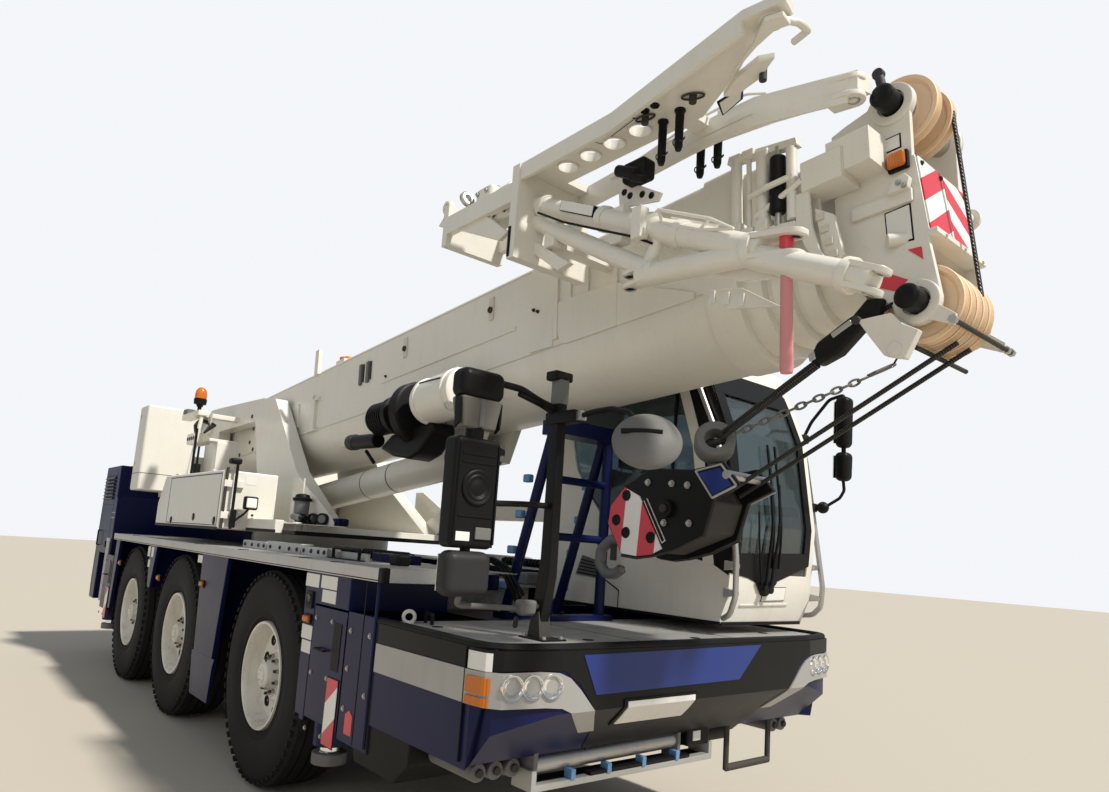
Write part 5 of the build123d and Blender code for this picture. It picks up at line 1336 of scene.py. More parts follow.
    addShell(form, (sx - 0.055, sy - 0.112, 1.400), (sx + 0.058, sy + 0.112, 1.590), "mirrorBack", 0.042)
    addBox(form, (sx - 0.058, sy - 0.095, 1.418), (sx - 0.050, sy + 0.095, 1.572), "mirrorGlass", 0.003)
    addBox(form, (sx - 0.062, sy - 0.095, 1.625), (sx - 0.054, sy + 0.095, 2.045), "mirrorGlass", 0.003)
    settle(form, "rightMirrors", "carrier", ("mirror_post",), crease=34)


def makeLeftMirrors():
    settings = dict(railX=2.49, railY=1.31, mirrorX=2.595, mirrorY=1.396)
    railX, railY = settings["railX"], settings["railY"]
    x, y = settings["mirrorX"], settings["mirrorY"]
    form = bmesh.new()
    # bright rail down the far corner of the cab
    addPipe(form, [(2.25, 1.272, 2.60), (2.27, railY, 2.60), (2.375, railY, 2.32), (2.465, railY, 1.80),
                   (2.515, railY, 1.50),
                   (2.505, railY, 1.38), (2.45, railY, 1.325), (2.33, railY, 1.31), (2.33, 1.272, 1.31)],
            0.0165, "brushedSteel", 0.06, 16)
    for z, out in ((1.43, 2.512), (1.62, 2.492)):
        addPlate(form, [(out, z - 0.012), (2.40, z - 0.026), (2.40, z + 0.026), (out, z + 0.012)],
                 (railY - 0.040, railY + 0.004), "brushedSteel", "side", 0.004)
    for low in ((2.25, 2.60), (2.33, 1.31)):
        addRod(form, (low[0], 1.268, low[1]), (low[0], 1.282, low[1]), 0.032, "brushedSteel", 24, round=0.003)
    # clamp, arm and the two rounded mirrors
    addBox(form, (2.325, railY - 0.026, 2.425), (2.385, railY + 0.026, 2.485), "darkSteel", 0.008)
    addPipe(form, [(2.355, railY, 2.46), (2.40, railY + 0.02, 2.57), (2.50, y - 0.02, 2.72),
                   (x - 0.01, y, 2.745), (x + 0.005, y, 2.70)], 0.011, "blackPlastic", 0.05, 12)
    addShell(form, (x - 0.048, y - 0.053, 2.395), (x + 0.048, y + 0.053, 2.730), "blackPlastic", 0.036, 0.94)
    addShell(form, (x - 0.046, y - 0.053, 2.180), (x + 0.048, y + 0.053, 2.368), "blackPlastic", 0.036, 0.94)
    addRod(form, (x, y, 2.35), (x, y, 2.41), 0.014, "blackPlastic", 16)
    addBox(form, (x - 0.052, y - 0.042, 2.425), (x - 0.045, y + 0.042, 2.700), "mirrorGlass", 0.003)
    addBox(form, (x - 0.050, y - 0.042, 2.200), (x - 0.043, y + 0.042, 2.345), "mirrorGlass", 0.003)
    addPipe(form, [(x, y, 2.185), (x + 0.008, y, 2.12), (x - 0.01, y - 0.02, 2.07),
                   (railX + 0.03, railY + 0.01, 2.01), (railX - 0.03, railY, 1.99)], 0.010, "blackPlastic",
            0.03, 12)
    ball = [(0.038 * math.cos(math.radians(a)), 0.038 * math.sin(math.radians(a)))
            for a in range(180, -1, -15)]
    addTurned(form, [(along, max(0.0, radius)) for along, radius in ball],
              (railX + 0.010, railY + 0.012, 2.005), (1, 0, 0), "blackPlastic", 28)
    addBox(form, (2.418, railY - 0.022, 1.975), (2.458, railY + 0.022, 2.030), "darkSteel", 0.006)
    settle(form, "leftMirrors", "cab", ("cab_mirrors",), crease=34)


makeHookBlock()
makeHoistRopes()
makeRightMirrors()
makeLeftMirrors()
print("hook block, ropes and mirrors made")

# height and x of the cab's nose
cabFront = ((1.27, 2.39), (1.42, 2.45), (1.85, 2.48), (2.40, 2.40), (2.88, 2.20))


def cabFrontX(z):
    for (lowZ, lowX), (highZ, highX) in zip(cabFront, cabFront[1:]):
        if z <= highZ:
            return lowX + (highX - lowX) * (z - lowZ) / (highZ - lowZ)
    return cabFront[-1][1]


def addNoseSkin(form, outline, lift, finish, thick=0.006, round=0.0015):
    # a thin plate of (y, z) points that follows the cab's curved nose
    part = bmesh.new()
    part.faces.new([part.verts.new((0, y, z)) for y, z in outline])
    for z in (1.42, 1.85, 2.12, 2.40, 2.60):
        cutAcross(part, (0, 0, z), (0, 0, 1))
    for vert in part.verts:
        vert.co.x = cabFrontX(vert.co.z) + lift
    thicken(part, part.faces[:], (-thick, 0, 0))
    if round:
        soften(part, round, 1, 50)
    join(form, part, finish)


def makeCabTrim():
    # painted pillars, black window borders, wipers, rails and lamp round the cab
    settings = dict(side=0.43, proud=0.004)
    side, proud = settings["side"], settings["proud"]
    form = bmesh.new()
    near = (side - proud, side + 0.012)
    # body colour that fills the window's lower rear corner, and the front pillar
    addPlate(form, [(1.02, 1.79), (1.02, 2.60), (1.07, 2.36), (1.121, 2.191), (1.273, 1.998),
                    (1.424, 1.849), (1.60, 1.775), (1.64, 1.745)],
             near, "ivoryPaint", "side", 0.003)
    pillar = [(2.272, 1.60), (2.350, 1.60), (2.238, 2.30), (2.075, 2.75), (2.000, 2.75), (2.158, 2.30)]
    addPlate(form, pillar, (side - 0.009, side + 0.02), "ivoryPaint", "side", 0.005, 3)
    # black border: under the window, along the roof, and round the front corner
    addPlate(form, [(1.60, 1.775), (2.285, 1.74), (2.285, 1.612), (1.763, 1.702)], near, "blackPaint",
             "side", 0.002)
    addPlate(form, [(1.02, 2.60), (1.02, 2.80), (2.02, 2.80), (2.02, 2.70), (1.12, 2.70)], near,
             "blackPaint", "side", 0.002)
    addPlate(form, [(2.343, 1.60), (2.452, 1.545), (2.474, 1.85), (2.394, 2.40), (2.225, 2.79),
                    (2.03, 2.80), (2.075, 2.73), (2.232, 2.30)],
             (side - 0.005, side + 0.01), "blackPaint", "side", 0.002)
    addPlate(form, [(1.98, 1.80), (2.00, 1.80), (2.02, 2.68), (2.00, 2.68)], (side - 0.002, side + 0.010),
             "blackPlastic", "side", 0.002)
    # windscreen border
    for outline in (
        [(side - 0.003, 1.560), (0.60, 1.535), (0.72, 1.500), (0.82, 1.500), (0.95, 1.540), (1.222, 1.625),
         (1.222, 1.70), (1.160, 1.70), (0.510, 1.672), (side - 0.003, 1.672)],
        [(side - 0.003, 1.672), (0.510, 1.672), (0.510, 2.620), (side - 0.003, 2.620)],
        [(1.160, 1.70), (1.222, 1.70), (1.222, 2.620), (1.160, 2.620)],
        [(side - 0.003, 2.620), (1.222, 2.620), (1.21, 2.72), (1.15, 2.775), (side + 0.02, 2.775),
         (side - 0.003, 2.74)],
    ):
        addNoseSkin(form, outline, 0.005, "blackPaint", 0.012)
    # cross bar in the screen
    addNoseSkin(form, [(0.512, 1.905), (1.158, 1.925), (1.158, 1.985), (0.512, 1.965)], -0.045,
                "blackPlastic", 0.02)
    # lower nose panel: crease, bare plate, badge place left empty
    addNoseSkin(form, [(0.56, 1.372), (1.04, 1.380), (1.04, 1.392), (0.56, 1.384)], 0.005, "ivoryPaint",
                0.008)
    addNoseSkin(form, [(0.745, 1.402), (0.985, 1.408), (0.995, 1.492), (0.755, 1.486)], 0.003,
                "blackPlastic", 0.006)
    addNoseSkin(form, [(0.750, 1.406), (0.980, 1.412), (0.990, 1.488), (0.760, 1.482)], 0.005, "labelWhite",
                0.006)
    # side panel joints and the grey vent at its rear
    for outline in (
        [(1.590, 1.285), (1.598, 1.285), (1.598, 1.395), (1.590, 1.395)],
        [(1.590, 1.388), (1.598, 1.395), (1.47, 1.452), (1.462, 1.446)],
    ):
        addPlate(form, outline, (side - 0.0015, side + 0.002), "blackPlastic", "side", 0)
    addPlate(form, [(1.18, 1.470), (1.46, 1.450), (1.36, 1.575), (1.235, 1.60)],
             (side - 0.010, side + 0.01), "greyPlastic", "side", 0.004)
    for k in range(5):
        low = 1.478 + k * 0.022
        addPlate(form, [(1.205 + k * 0.008, low), (1.425 - k * 0.018, low - 0.014),
                        (1.425 - k * 0.018, low - 0.006), (1.205 + k * 0.008, low + 0.008)],
                 (side - 0.014, side - 0.008), "blackPlastic", "side", 0)
    # sill lip round the foot
    addBox(form, (0.96, side - 0.006, 1.266), (2.40, side + 0.01, 1.284), "blackPlastic", 0.003)
    addBox(form, (2.375, side + 0.02, 1.262), (2.40, 1.25, 1.282), "blackPlastic", 0.003)
    # wiper linkage and arms
    addNoseSkin(form, [(0.665, 1.520), (0.725, 1.445), (0.745, 1.435), (0.775, 1.435), (0.795, 1.445),
                       (0.875, 1.520)], 0.022, "blackPlastic", 0.02, 0.004)
    for y, lean, top in ((0.735, 0.045, 2.19), (0.785, 0.075, 2.10)):
        foot = 1.475
        route = [(cabFrontX(z) + 0.034, y + lean * (z - foot) / (top - foot), z)
                 for z in (foot, 1.65, 1.85, 2.0, top)]
        addPipe(form, route, 0.009, "blackPlastic", 0, 8)
        blade = [(cabFrontX(z) + 0.018, y + lean * 0.8 + 0.030, z)
                 for z in (1.60, 1.75, 1.90, 2.05, 2.20, 2.34)]
        addPipe(form, blade, 0.008, "blackPlastic", 0, 8)
        addRod(form, (cabFrontX(foot) + 0.012, y, foot), (cabFrontX(foot) + 0.045, y, foot), 0.024,
               "blackPlastic", 24, round=0.004)
        addPipe(form, [route[2], (cabFrontX(1.9) + 0.026, y + lean * 0.8 + 0.020, 1.93)], 0.006,
                "blackPlastic", 0, 8)
    addPipe(form, [(cabFrontX(1.5) + 0.03, 0.70, 1.50), (cabFrontX(1.66) + 0.028, 0.655, 1.66),
                   (cabFrontX(1.9) + 0.022, 0.640, 1.92)], 0.006, "blackPlastic", 0, 8)
    # bright grab rail at the near corner
    addPipe(form, [(2.13, 0.436, 2.75), (2.185, 0.405, 2.70), (2.345, 0.395, 2.38), (2.488, 0.395, 1.94),
                   (2.526, 0.395, 1.63), (2.527, 0.395, 1.43),
                   (2.490, 0.400, 1.335), (2.42, 0.436, 1.305)], 0.0165, "brushedSteel", 0.05, 16)
    for z in (1.45, 1.60):
        addPlate(form, [(2.520, z - 0.012), (2.440, z - 0.028), (2.440, z + 0.028), (2.520, z + 0.012)],
                 (0.398, 0.440), "brushedSteel", "side", 0.004)
    for z, x in ((2.10, 2.44), (2.52, 2.27)):
        addRod(form, (x, 0.395, z), (x - 0.02, 0.434, z), 0.009, "brushedSteel", 14)
    # rail over the roof's front edge
    addPipe(form, [(2.02, 0.52, 2.885), (2.04, 0.56, 2.93), (2.07, 0.95, 2.935), (2.09, 1.24, 2.925),
                   (2.14, 1.30, 2.86), (2.25, 1.305, 2.62)], 0.0165, "brushedSteel", 0.05, 16)
    addRod(form, (2.06, 0.93, 2.88), (2.07, 0.93, 2.94), 0.016, "brushedSteel", 16)
    addRod(form, (2.078, 1.06, 2.933), (2.085, 1.15, 2.930), 0.028, "darkSteel", 20, round=0.005)
    # work lamp under its cream hood, on the roof's near edge
    addPlate(form, [(1.85, 2.69), (2.10, 2.665), (2.215, 2.70), (2.235, 2.76), (2.16, 2.79), (1.90, 2.765)],
             (0.372, 0.434), "ivoryPaint", "side", 0.010, 3)
    addShell(form, (1.84, 0.366, 2.765), (2.10, 0.440, 2.862), "blackPlastic", 0.022)
    addBox(form, (2.098, 0.376, 2.785), (2.104, 0.430, 2.845), "lampGlass", 0.003)
    addBox(form, (1.90, 0.44, 2.86), (2.05, 0.60, 2.895), "blackPlastic", 0.008)
    # far side: door handle and step
    addBox(form, (2.10, 1.270, 1.84), (2.20, 1.292, 1.88), "blackPlastic", 0.006)
    addBox(form, (1.20, 1.14, 1.235), (1.75, 1.26, 1.262), "darkSteel", 0.004)
    # roof seams, hatch and lamp sockets
    addBox(form, (1.20, 0.60, 2.876), (1.85, 1.12, 2.888), "cabGlass", 0.004)
    addPipe(form, [(1.18, 0.58, 2.884), (1.87, 0.58, 2.884), (1.87, 1.14, 2.884), (1.18, 1.14, 2.884),
                   (1.18, 0.58, 2.884)], 0.010, "blackPlastic", 0.02, 8)
    settle(form, "cabTrim", "cab", crease=34)


def makeCabInterior():
    form = bmesh.new()
    # floor mat, pedal box, dash with its screen and wheel, side consoles with levers
    addBox(form, (1.0, 0.475, 1.3105), (2.33, 1.225, 1.326), "blackPlastic", 0.003)
    addShell(form, (2.12, 0.62, 1.326), (2.36, 1.08, 1.60), "blackPlastic", 0.03)
    addPlate(form, [(2.20, 1.58), (2.39, 1.60), (2.40, 1.74), (2.30, 1.78)], (0.66, 1.04), "blackPlastic",
             "side", 0.012, 3)
    addRod(form, (2.25, 0.85, 1.60), (2.06, 0.85, 1.86), 0.024, "blackPlastic", 20)
    addTurned(form, [(-0.013, 0.180), (0.0, 0.167), (0.013, 0.180), (0.0, 0.193), (-0.013, 0.180)],
              (2.045, 0.85, 1.88), (-0.59, 0, 0.81), "blackPlastic", 40)
    for angle in (90, 210, 330):
        way = Vector((math.cos(math.radians(angle)) * 0.81, math.sin(math.radians(angle)),
                      math.cos(math.radians(angle)) * 0.59))
        addRod(form, Vector((2.05, 0.85, 1.875)), Vector((2.045, 0.85, 1.88)) + way * 0.17, 0.010,
               "blackPlastic", 12)
    for low, high in ((0.50, 0.585), (1.115, 1.20)):
        addShell(form, (1.30, low, 1.60), (1.82, high, 1.76), "blackPlastic", 0.022)
        addRod(form, (1.76, (low + high) / 2, 1.74), (1.79, (low + high) / 2, 1.90), 0.012, "blackPaint", 14)
        addShell(form, (1.765, (low + high) / 2 - 0.026, 1.88), (1.82, (low + high) / 2 + 0.026, 1.975),
                 "blackPlastic", 0.018)
    addShell(form, (2.02, 0.53, 1.80), (2.06, 0.72, 1.98), "blackPlastic", 0.012)
    addBox(form, (2.016, 0.545, 1.815), (2.021, 0.705, 1.965), "greyPlastic", 0.002)
    # linings
    addBox(form, (1.0, 0.4715, 1.33), (2.30, 0.4765, 1.68), "greyPlastic", 0.001)
    addBox(form, (1.02, 0.55, 2.828), (2.05, 1.15, 2.838), "greyPlastic", 0.003)
    addBox(form, (0.975, 0.53, 1.40), (0.985, 1.18, 2.12), "greyPlastic", 0.003)
    addPlate(form, [(1.04, 2.48), (1.50, 2.44), (1.52, 2.62), (1.05, 2.66)], (0.478, 0.486), "creamPlate",
             "side", 0.003)
    # roof blind and mirror
    addPlate(form, [(1.95, 2.66), (2.18, 2.62), (2.16, 2.72), (1.97, 2.77)], (0.60, 1.10), "blackPlastic",
             "side", 0.008)
    # seat's foot, slides, suspension bellows and headrest bars
    addShell(form, (1.36, 0.71, 1.3105), (1.64, 0.99, 1.42), "blackPlastic", 0.015)
    for k in range(5):
        addShell(form, (1.345 + 0.01 * (k % 2), 0.705 + 0.01 * (k % 2), 1.415 + k * 0.022),
                 (1.655 - 0.01 * (k % 2), 0.995 - 0.01 * (k % 2), 1.437 + k * 0.022), "blackPlastic", 0.008)
    addBox(form, (1.28, 0.66, 1.525), (1.72, 1.04, 1.558), "darkSteel", 0.006)
    for y in (0.79, 0.91):
        addRod(form, (1.20, y, 2.20), (1.215, y, 2.36), 0.008, "brushedSteel", 14)
    settle(form, "cabInterior", "cab", crease=34)


def makeCushion(name, low, high, thin, channels, crown=0.32):
    # a stuffed pad: crowned faces, sides that pull in between the corners, a piped seam and sewn channels
    low, high = Vector(low), Vector(high)
    middle, half = (low + high) / 2, (high - low) / 2
    long, wide = [k for k in range(3) if k != thin]
    part = bmesh.new()
    bmesh.ops.create_cube(part, size=2)
    bmesh.ops.subdivide_edges(part, edges=part.edges[:], cuts=23, use_grid_fill=True)
    for vert in part.verts:
        u, v, w = vert.co[long], vert.co[wide], vert.co[thin]
        edgeU, edgeV = 1 - abs(u) ** 3.2, 1 - abs(v) ** 3.2
        puff = (1 - crown) + crown * (max(0, edgeU) * max(0, edgeV)) ** 0.45
        place = [0, 0, 0]
        place[long] = u * (1 - 0.035 * (1 - v * v) - 0.03 * w * w)
        place[wide] = v * (1 - 0.045 * (1 - u * u) - 0.03 * w * w)
        groove = sum(math.exp(-((u - c) / 0.035) ** 2) for c in channels) * 0.16
        seam = 0.05 * math.exp(-((max(abs(u), abs(v)) - 0.93) / 0.03) ** 2)
        place[thin] = w * (puff - groove * max(0, edgeV) ** 0.5 - seam)
        vert.co = middle + Vector([place[k] * half[k] for k in range(3)])
    form = bmesh.new()
    join(form, part, "seatCloth")
    rim = []
    for u, v in [(math.cos(t) / max(abs(math.cos(t)), abs(math.sin(t))),
                  math.sin(t) / max(abs(math.cos(t)), abs(math.sin(t))))
                 for t in [math.tau * k / 48 for k in range(48)]]:
        place = [0, 0, 0]
        place[long] = u * (1 - 0.035 * (1 - v * v)) * half[long] * 0.985
        place[wide] = v * (1 - 0.045 * (1 - u * u)) * half[wide] * 0.985
        place[thin] = (1 - crown) * half[thin] * 0.72
        rim.append(middle + Vector(place))
    addPipe(form, rim + rim[:2], 0.004, "blackPlastic", 0, 8)
    piece = settle(form, name, "cab", ("cab_seat",), crease=60)


makeCabTrim()
makeCabInterior()
makeCushion("cabSeatCushion", (1.258, 0.606, 1.562), (1.745, 1.094, 1.698), 2, (-0.35, 0.3))
makeCushion("cabSeatBack", (1.185, 0.624, 1.70), (1.295, 1.076, 2.22), 0, (-0.5, 0.0, 0.5), crown=0.4)
makeCushion("cabSeatHead", (1.188, 0.74, 2.235), (1.285, 0.96, 2.345), 0, (), crown=0.45)
print("cab dressed and furnished")


def makeJibFittings():
    # forks, pins, clamps and clips of the folded jib
    settings = dict(plane=-0.75)
    y = settings["plane"]
    form = bmesh.new()
    # forks on the ends of the tubes, with collars where they are welded on
    for root, tip, radius in (
        ((3.40, y, 2.828), (3.62, y, 2.800), 0.062), ((3.80, y, 2.626), (3.925, y, 2.571), 0.056),
        ((2.86, y, 2.874), (2.69, y, 2.862), 0.046),
    ):
        rootV, tipV = Vector(root), Vector(tip)
        along = (tipV - rootV).normalized()
        addRod(form, rootV - along * 0.03, rootV + along * 0.012, radius * 1.16, "ivoryPaint", 32,
               round=0.006)
        across = Vector((0, 1, 0)).cross(along).normalized()
        for sign in (-1, 1):
            offset = across * sign * radius * 0.66
            ear = bmesh.new()
            length = (tipV - rootV).length
            width = radius * 1.5
            outline = [(0, -width * 0.62), (length - width * 0.55, -width * 0.5)]
            outline += [(length - width * 0.5 + width * 0.5 * math.sin(a), -width * 0.5 * math.cos(a))
                        for a in [math.pi * k / 10 for k in range(11)]]
            outline += [(length - width * 0.55, width * 0.5), (0, width * 0.62)]
            face = ear.faces.new([ear.verts.new(rootV + along * a + Vector((0, b, 0)) +
                                                offset - across * 0.011) for a, b in outline])
            thicken(ear, [face], across * 0.022)
            bmesh.ops.remove_doubles(ear, verts=ear.verts, dist=0.0002)
            bmesh.ops.recalc_face_normals(ear, faces=ear.faces)
            soften(ear, 0.004, 2, 35)
            join(form, ear, "ivoryPaint")
            eye = rootV + along * (length - width * 0.5) + offset
            addEye(form, eye, across, 0.030, 0.017, 0.0145, "brushedSteel", 24)
            addTurned(form, [(-0.0118, 0.0), (-0.0118, 0.017), (0.0118, 0.017), (0.0118, 0.0)], eye, across,
                      "blackPlastic", 20)
    # faded safety post hanging in the middle fork
    addTurned(form, [(0.0, 0.0), (0.0, 0.026), (0.06, 0.027), (0.075, 0.022), (0.47, 0.025), (0.485, 0.022),
                     (0.485, 0.0)], (3.54, y, 2.800), (0.03, 0, -1), "fadedPink", 24)
    addRod(form, (3.54, y, 2.74), (3.54, y, 2.86), 0.027, "signRed", 24, round=0.004)
    # sleeves and clamps along the upper tube
    for x, z, reach in ((2.06, 3.43, 0.066), (2.53, 3.22, 0.064), (2.835, 3.085, 0.070),
                        (3.02, 3.003, 0.062)):
        way = Vector((1.44, 0, -0.64)).normalized()
        addRod(form, Vector((x, y, z)) - way * 0.022, Vector((x, y, z)) + way * 0.022, reach, "ivoryPaint",
               32, round=0.005)
    addBox(form, (2.80, y - 0.095, 3.01), (2.86, y - 0.04, 3.16), "ivoryPaint", 0.006)
    # bare plate on the tube, flush with its curve
    plateOutline = [(2.262, 3.385), (2.520, 3.270), (2.508, 3.215), (2.252, 3.330)]
    addPlate(form, plateOutline, (y - 0.068, y - 0.040), "blackPlastic", "side", 0.004)
    addPlate(form, [(2.268, 3.380), (2.514, 3.270), (2.503, 3.221), (2.259, 3.330)], (y - 0.071, y - 0.060),
             "labelWhite", "side", 0.003)
    # wire tray over the tube
    rim = [(2.92, 3.13), (3.21, 3.00), (3.33, 2.92), (3.16, 2.965), (2.95, 3.06)]
    addPipe(form, [(x, y - 0.05, z) for x, z in rim + rim[:1]], 0.007, "ivoryPaint", 0.01, 8)
    addPipe(form, [(3.21, y - 0.05, 3.00), (3.16, y - 0.05, 2.965)], 0.007, "ivoryPaint", 0, 8)
    addPlate(form, [(2.93, 3.12), (3.20, 3.00), (3.16, 2.97), (2.95, 3.065)], (y + 0.02, y + 0.03),
             "ivoryPaint", "side", 0.003)
    # valve block with its black motor on a drilled bracket
    addPlate(form, [(2.575, 3.374), (2.62, 3.40), (2.86, 3.26), (2.84, 3.225), (2.59, 3.27)],
             (y + 0.03, y + 0.045), "ivoryPaint", "side", 0.004)
    addShell(form, (2.655, y - 0.035, 3.345), (2.80, y + 0.055, 3.445), "blackPlastic", 0.02)
    addRod(form, (2.66, y - 0.06, 3.40), (2.78, y - 0.05, 3.345), 0.028, "blackPlastic", 24, round=0.006)
    addRod(form, (2.76, y - 0.07, 3.33), (2.84, y - 0.06, 3.295), 0.018, "blackPlastic", 20, round=0.004)
    for x, z in ((2.62, 3.34), (2.66, 3.31), (2.74, 3.29), (2.80, 3.265)):
        addTurned(form, [(0, 0.0), (0.003, 0.012), (0.005, 0.015), (0.0, 0.017)], (x, y + 0.03, z),
                  (0, -1, 0), "blackPlastic", 16)
    # braces between the tubes
    addRod(form, (2.90, y, 3.045), (2.825, y, 2.905), 0.030, "ivoryPaint", 24)
    addRod(form, (2.10, y, 3.30), (2.62, y + 0.20, 3.02), 0.028, "ivoryPaint", 20)
    addPlate(form, [(1.76, 3.345), (1.86, 3.345), (2.30, 3.055), (2.21, 3.035)], (y - 0.02, y + 0.02),
             "ivoryPaint", "side", 0.006)
    addPlate(form, [(3.06, 2.84), (3.36, 2.78), (3.50, 2.70), (3.30, 2.735)], (y + 0.03, y + 0.05),
             "ivoryPaint", "side", 0.005)
    addPlate(form, [(3.02, 2.78), (3.26, 2.74), (3.45, 2.62), (3.20, 2.66)], (y + 0.11, y + 0.125),
             "ivoryPaint", "side", 0.004)
    for k in range(3):
        addBox(form, (3.10 + k * 0.075, y + 0.10, 2.70 - k * 0.022),
               (3.13 + k * 0.075, y + 0.112, 2.755 - k * 0.022), "labelWhite", 0.003)
    # bolted casting and clamps at the jib's root
    addShell(form, (1.50, y - 0.10, 3.52), (1.66, y + 0.06, 3.68), "ivoryPaint", 0.025)
    addRod(form, (1.66, y - 0.02, 3.60), (1.80, y - 0.02, 3.60), 0.062, "ivoryPaint", 32, round=0.008)
    addRod(form, (1.46, y - 0.05, 3.56), (1.50, y - 0.05, 3.56), 0.050, "castIron", 32, round=0.006)
    addEye(form, (1.47, y - 0.135, 3.62), (1, 0, 0.2), 0.046, 0.02, 0.016, "brushedSteel", 28)
    addBolts(form, [(1.58, y - 0.10, 3.56), (1.62, y - 0.10, 3.64), (1.53, y - 0.10, 3.64),
                    (1.62, y - 0.10, 3.54)], (0, -1, 0), 0.012, 0.014, "brushedSteel")
    addRod(form, (1.60, y - 0.02, 3.668), (1.60, y - 0.02, 3.698), 0.022, "blackPlastic", 20, round=0.004)
    addShell(form, (1.66, y - 0.09, 3.42), (1.92, y + 0.02, 3.53), "ivoryPaint", 0.02)
    for x in (1.70, 1.80, 1.89):
        addTurned(form, [(0, 0.0), (0.004, 0.014), (0.006, 0.018), (0.0, 0.02)], (x, y - 0.091, 3.475),
                  (0, -1, 0), "blackPlastic", 16)
    addPlate(form, [(1.15, 3.55), (1.22, 3.60), (1.62, 3.50), (1.90, 3.30), (1.82, 3.27), (1.45, 3.43)],
             (y - 0.13, y - 0.10), "ivoryPaint", "side", 0.008)
    addEye(form, (1.235, y - 0.115, 3.645), (0, 1, 0), 0.045, 0.022, 0.02, "ivoryPaint", 28)
    addPlate(form, [(1.205, 3.56), (1.265, 3.56), (1.26, 3.66), (1.21, 3.66)], (y - 0.13, y - 0.10),
             "ivoryPaint", "side", 0.006)
    addPipe(form, [(2.08, y - 0.07, 3.37), (2.30, y - 0.075, 3.25), (2.55, y - 0.07, 3.14),
                   (2.80, y - 0.075, 3.03), (2.88, y - 0.03, 2.99)], 0.006, "blackPlastic", 0.05, 8)
    addBox(form, (1.95, y - 0.165, 3.13), (1.975, y - 0.10, 3.30), "blackPlastic", 0.006)
    # under the foot channel: four hanging pins with wire clips, clamps and a bare plate
    for x, py, length in ((2.864, -0.736, 0.22), (2.978, -0.752, 0.20), (2.896, -0.500, 0.20),
                          (2.990, -0.492, 0.18)):
        addTurned(form, [(0, 0.0), (0, 0.024), (0.012, 0.026), (0.02, 0.0205), (length - 0.02, 0.019),
                         (length, 0.013), (length, 0.0)], (x, py, 3.605), (0, 0, -1), "blackPlastic", 20)
        ring = [(x + 0.034 * math.cos(a), py + 0.012 * math.sin(a), 3.605 - length + 0.045 +
                 0.012 * math.sin(2 * a)) for a in [math.tau * k / 10 for k in range(10)]]
        addPipe(form, ring + ring[:2], 0.003, "darkSteel", 0, 8)
    for x, py, turn in ((3.09, -0.80, 0.5), (2.83, -0.82, 0.2)):
        loop = [(x + 0.05 * math.cos(a) * math.cos(turn) - 0.02 * math.sin(a) * math.sin(turn),
                 py + 0.05 * math.cos(a) * math.sin(turn) + 0.02 * math.sin(a), 3.592)
                for a in [math.tau * k / 12 for k in range(12)]]
        addPipe(form, loop + loop[:2], 0.0045, "darkSteel", 0, 8)
        addRod(form, (x, py, 3.560), (x, py, 3.602), 0.017, "darkSteel", 20, round=0.004)
    addPlate(form, [(3.088, -0.590), (3.228, -0.633), (3.285, -0.708), (3.132, -0.690)], (3.5975, 3.602),
             "blackPlastic", "plan", 0)
    addPlate(form, [(2.512, -0.792), (2.789, -0.840), (2.777, -0.883), (2.501, -0.836)], (3.5985, 3.602),
             "blackPlastic", "plan", 0)
    addPlate(form, [(3.10, -0.60), (3.22, -0.64), (3.27, -0.70), (3.14, -0.68)], (3.595, 3.602),
             "labelWhite", "plan", 0)
    addPlate(form, [(2.52, -0.80), (2.78, -0.845), (2.77, -0.875), (2.51, -0.83)], (3.597, 3.602),
             "labelWhite", "plan", 0)
    for x in (2.46, 2.86, 2.92):
        addTurned(form, [(0, 0.0), (0.003, 0.016), (0.006, 0.020), (0.0, 0.022)], (x, -0.855, 3.60),
                  (0, 0, -1), "blackPlastic", 16)
    for x in (2.23, 2.40, 2.57, 2.74):
        addEye(form, (x, -0.76, 3.597), (0, 0, 1), 0.058, 0.0505, 0.006, "ivoryPaint", 32)
    # lugs at the channel's tip with the loop that holds the pendant
    addEye(form, (3.585, -0.955, 3.598), (0, 0, 1), 0.050, 0.022, 0.010, "ivoryPaint", 28)
    addTurned(form, [(0, 0.0), (0.003, 0.022), (0.004, 0.0)], (3.585, -0.955, 3.588), (0, 0, -1),
              "blackPlastic", 20)
    addPlate(form, [(3.30, -0.83), (3.50, -0.945), (3.60, -1.02), (3.665, -1.00), (3.655, -0.935),
                    (3.60, -0.95), (3.50, -0.92)], (3.555, 3.575), "ivoryPaint", "plan", 0.005)
    addPipe(form, [(3.63, -0.97, 3.575), (3.665, -0.90, 3.58), (3.66, -0.83, 3.59), (3.58, -0.80, 3.60)],
            0.014, "ivoryPaint", 0.02, 12)
    addPlate(form, [(3.32, -0.80), (3.44, -0.83), (3.50, -0.80), (3.38, -0.73), (3.24, -0.70),
                    (3.20, -0.735)], (3.57, 3.60), "ivoryPaint", "plan", 0.006)
    addRod(form, (3.41, -0.75, 3.54), (3.41, -0.75, 3.60), 0.016, "darkSteel", 20, round=0.003)
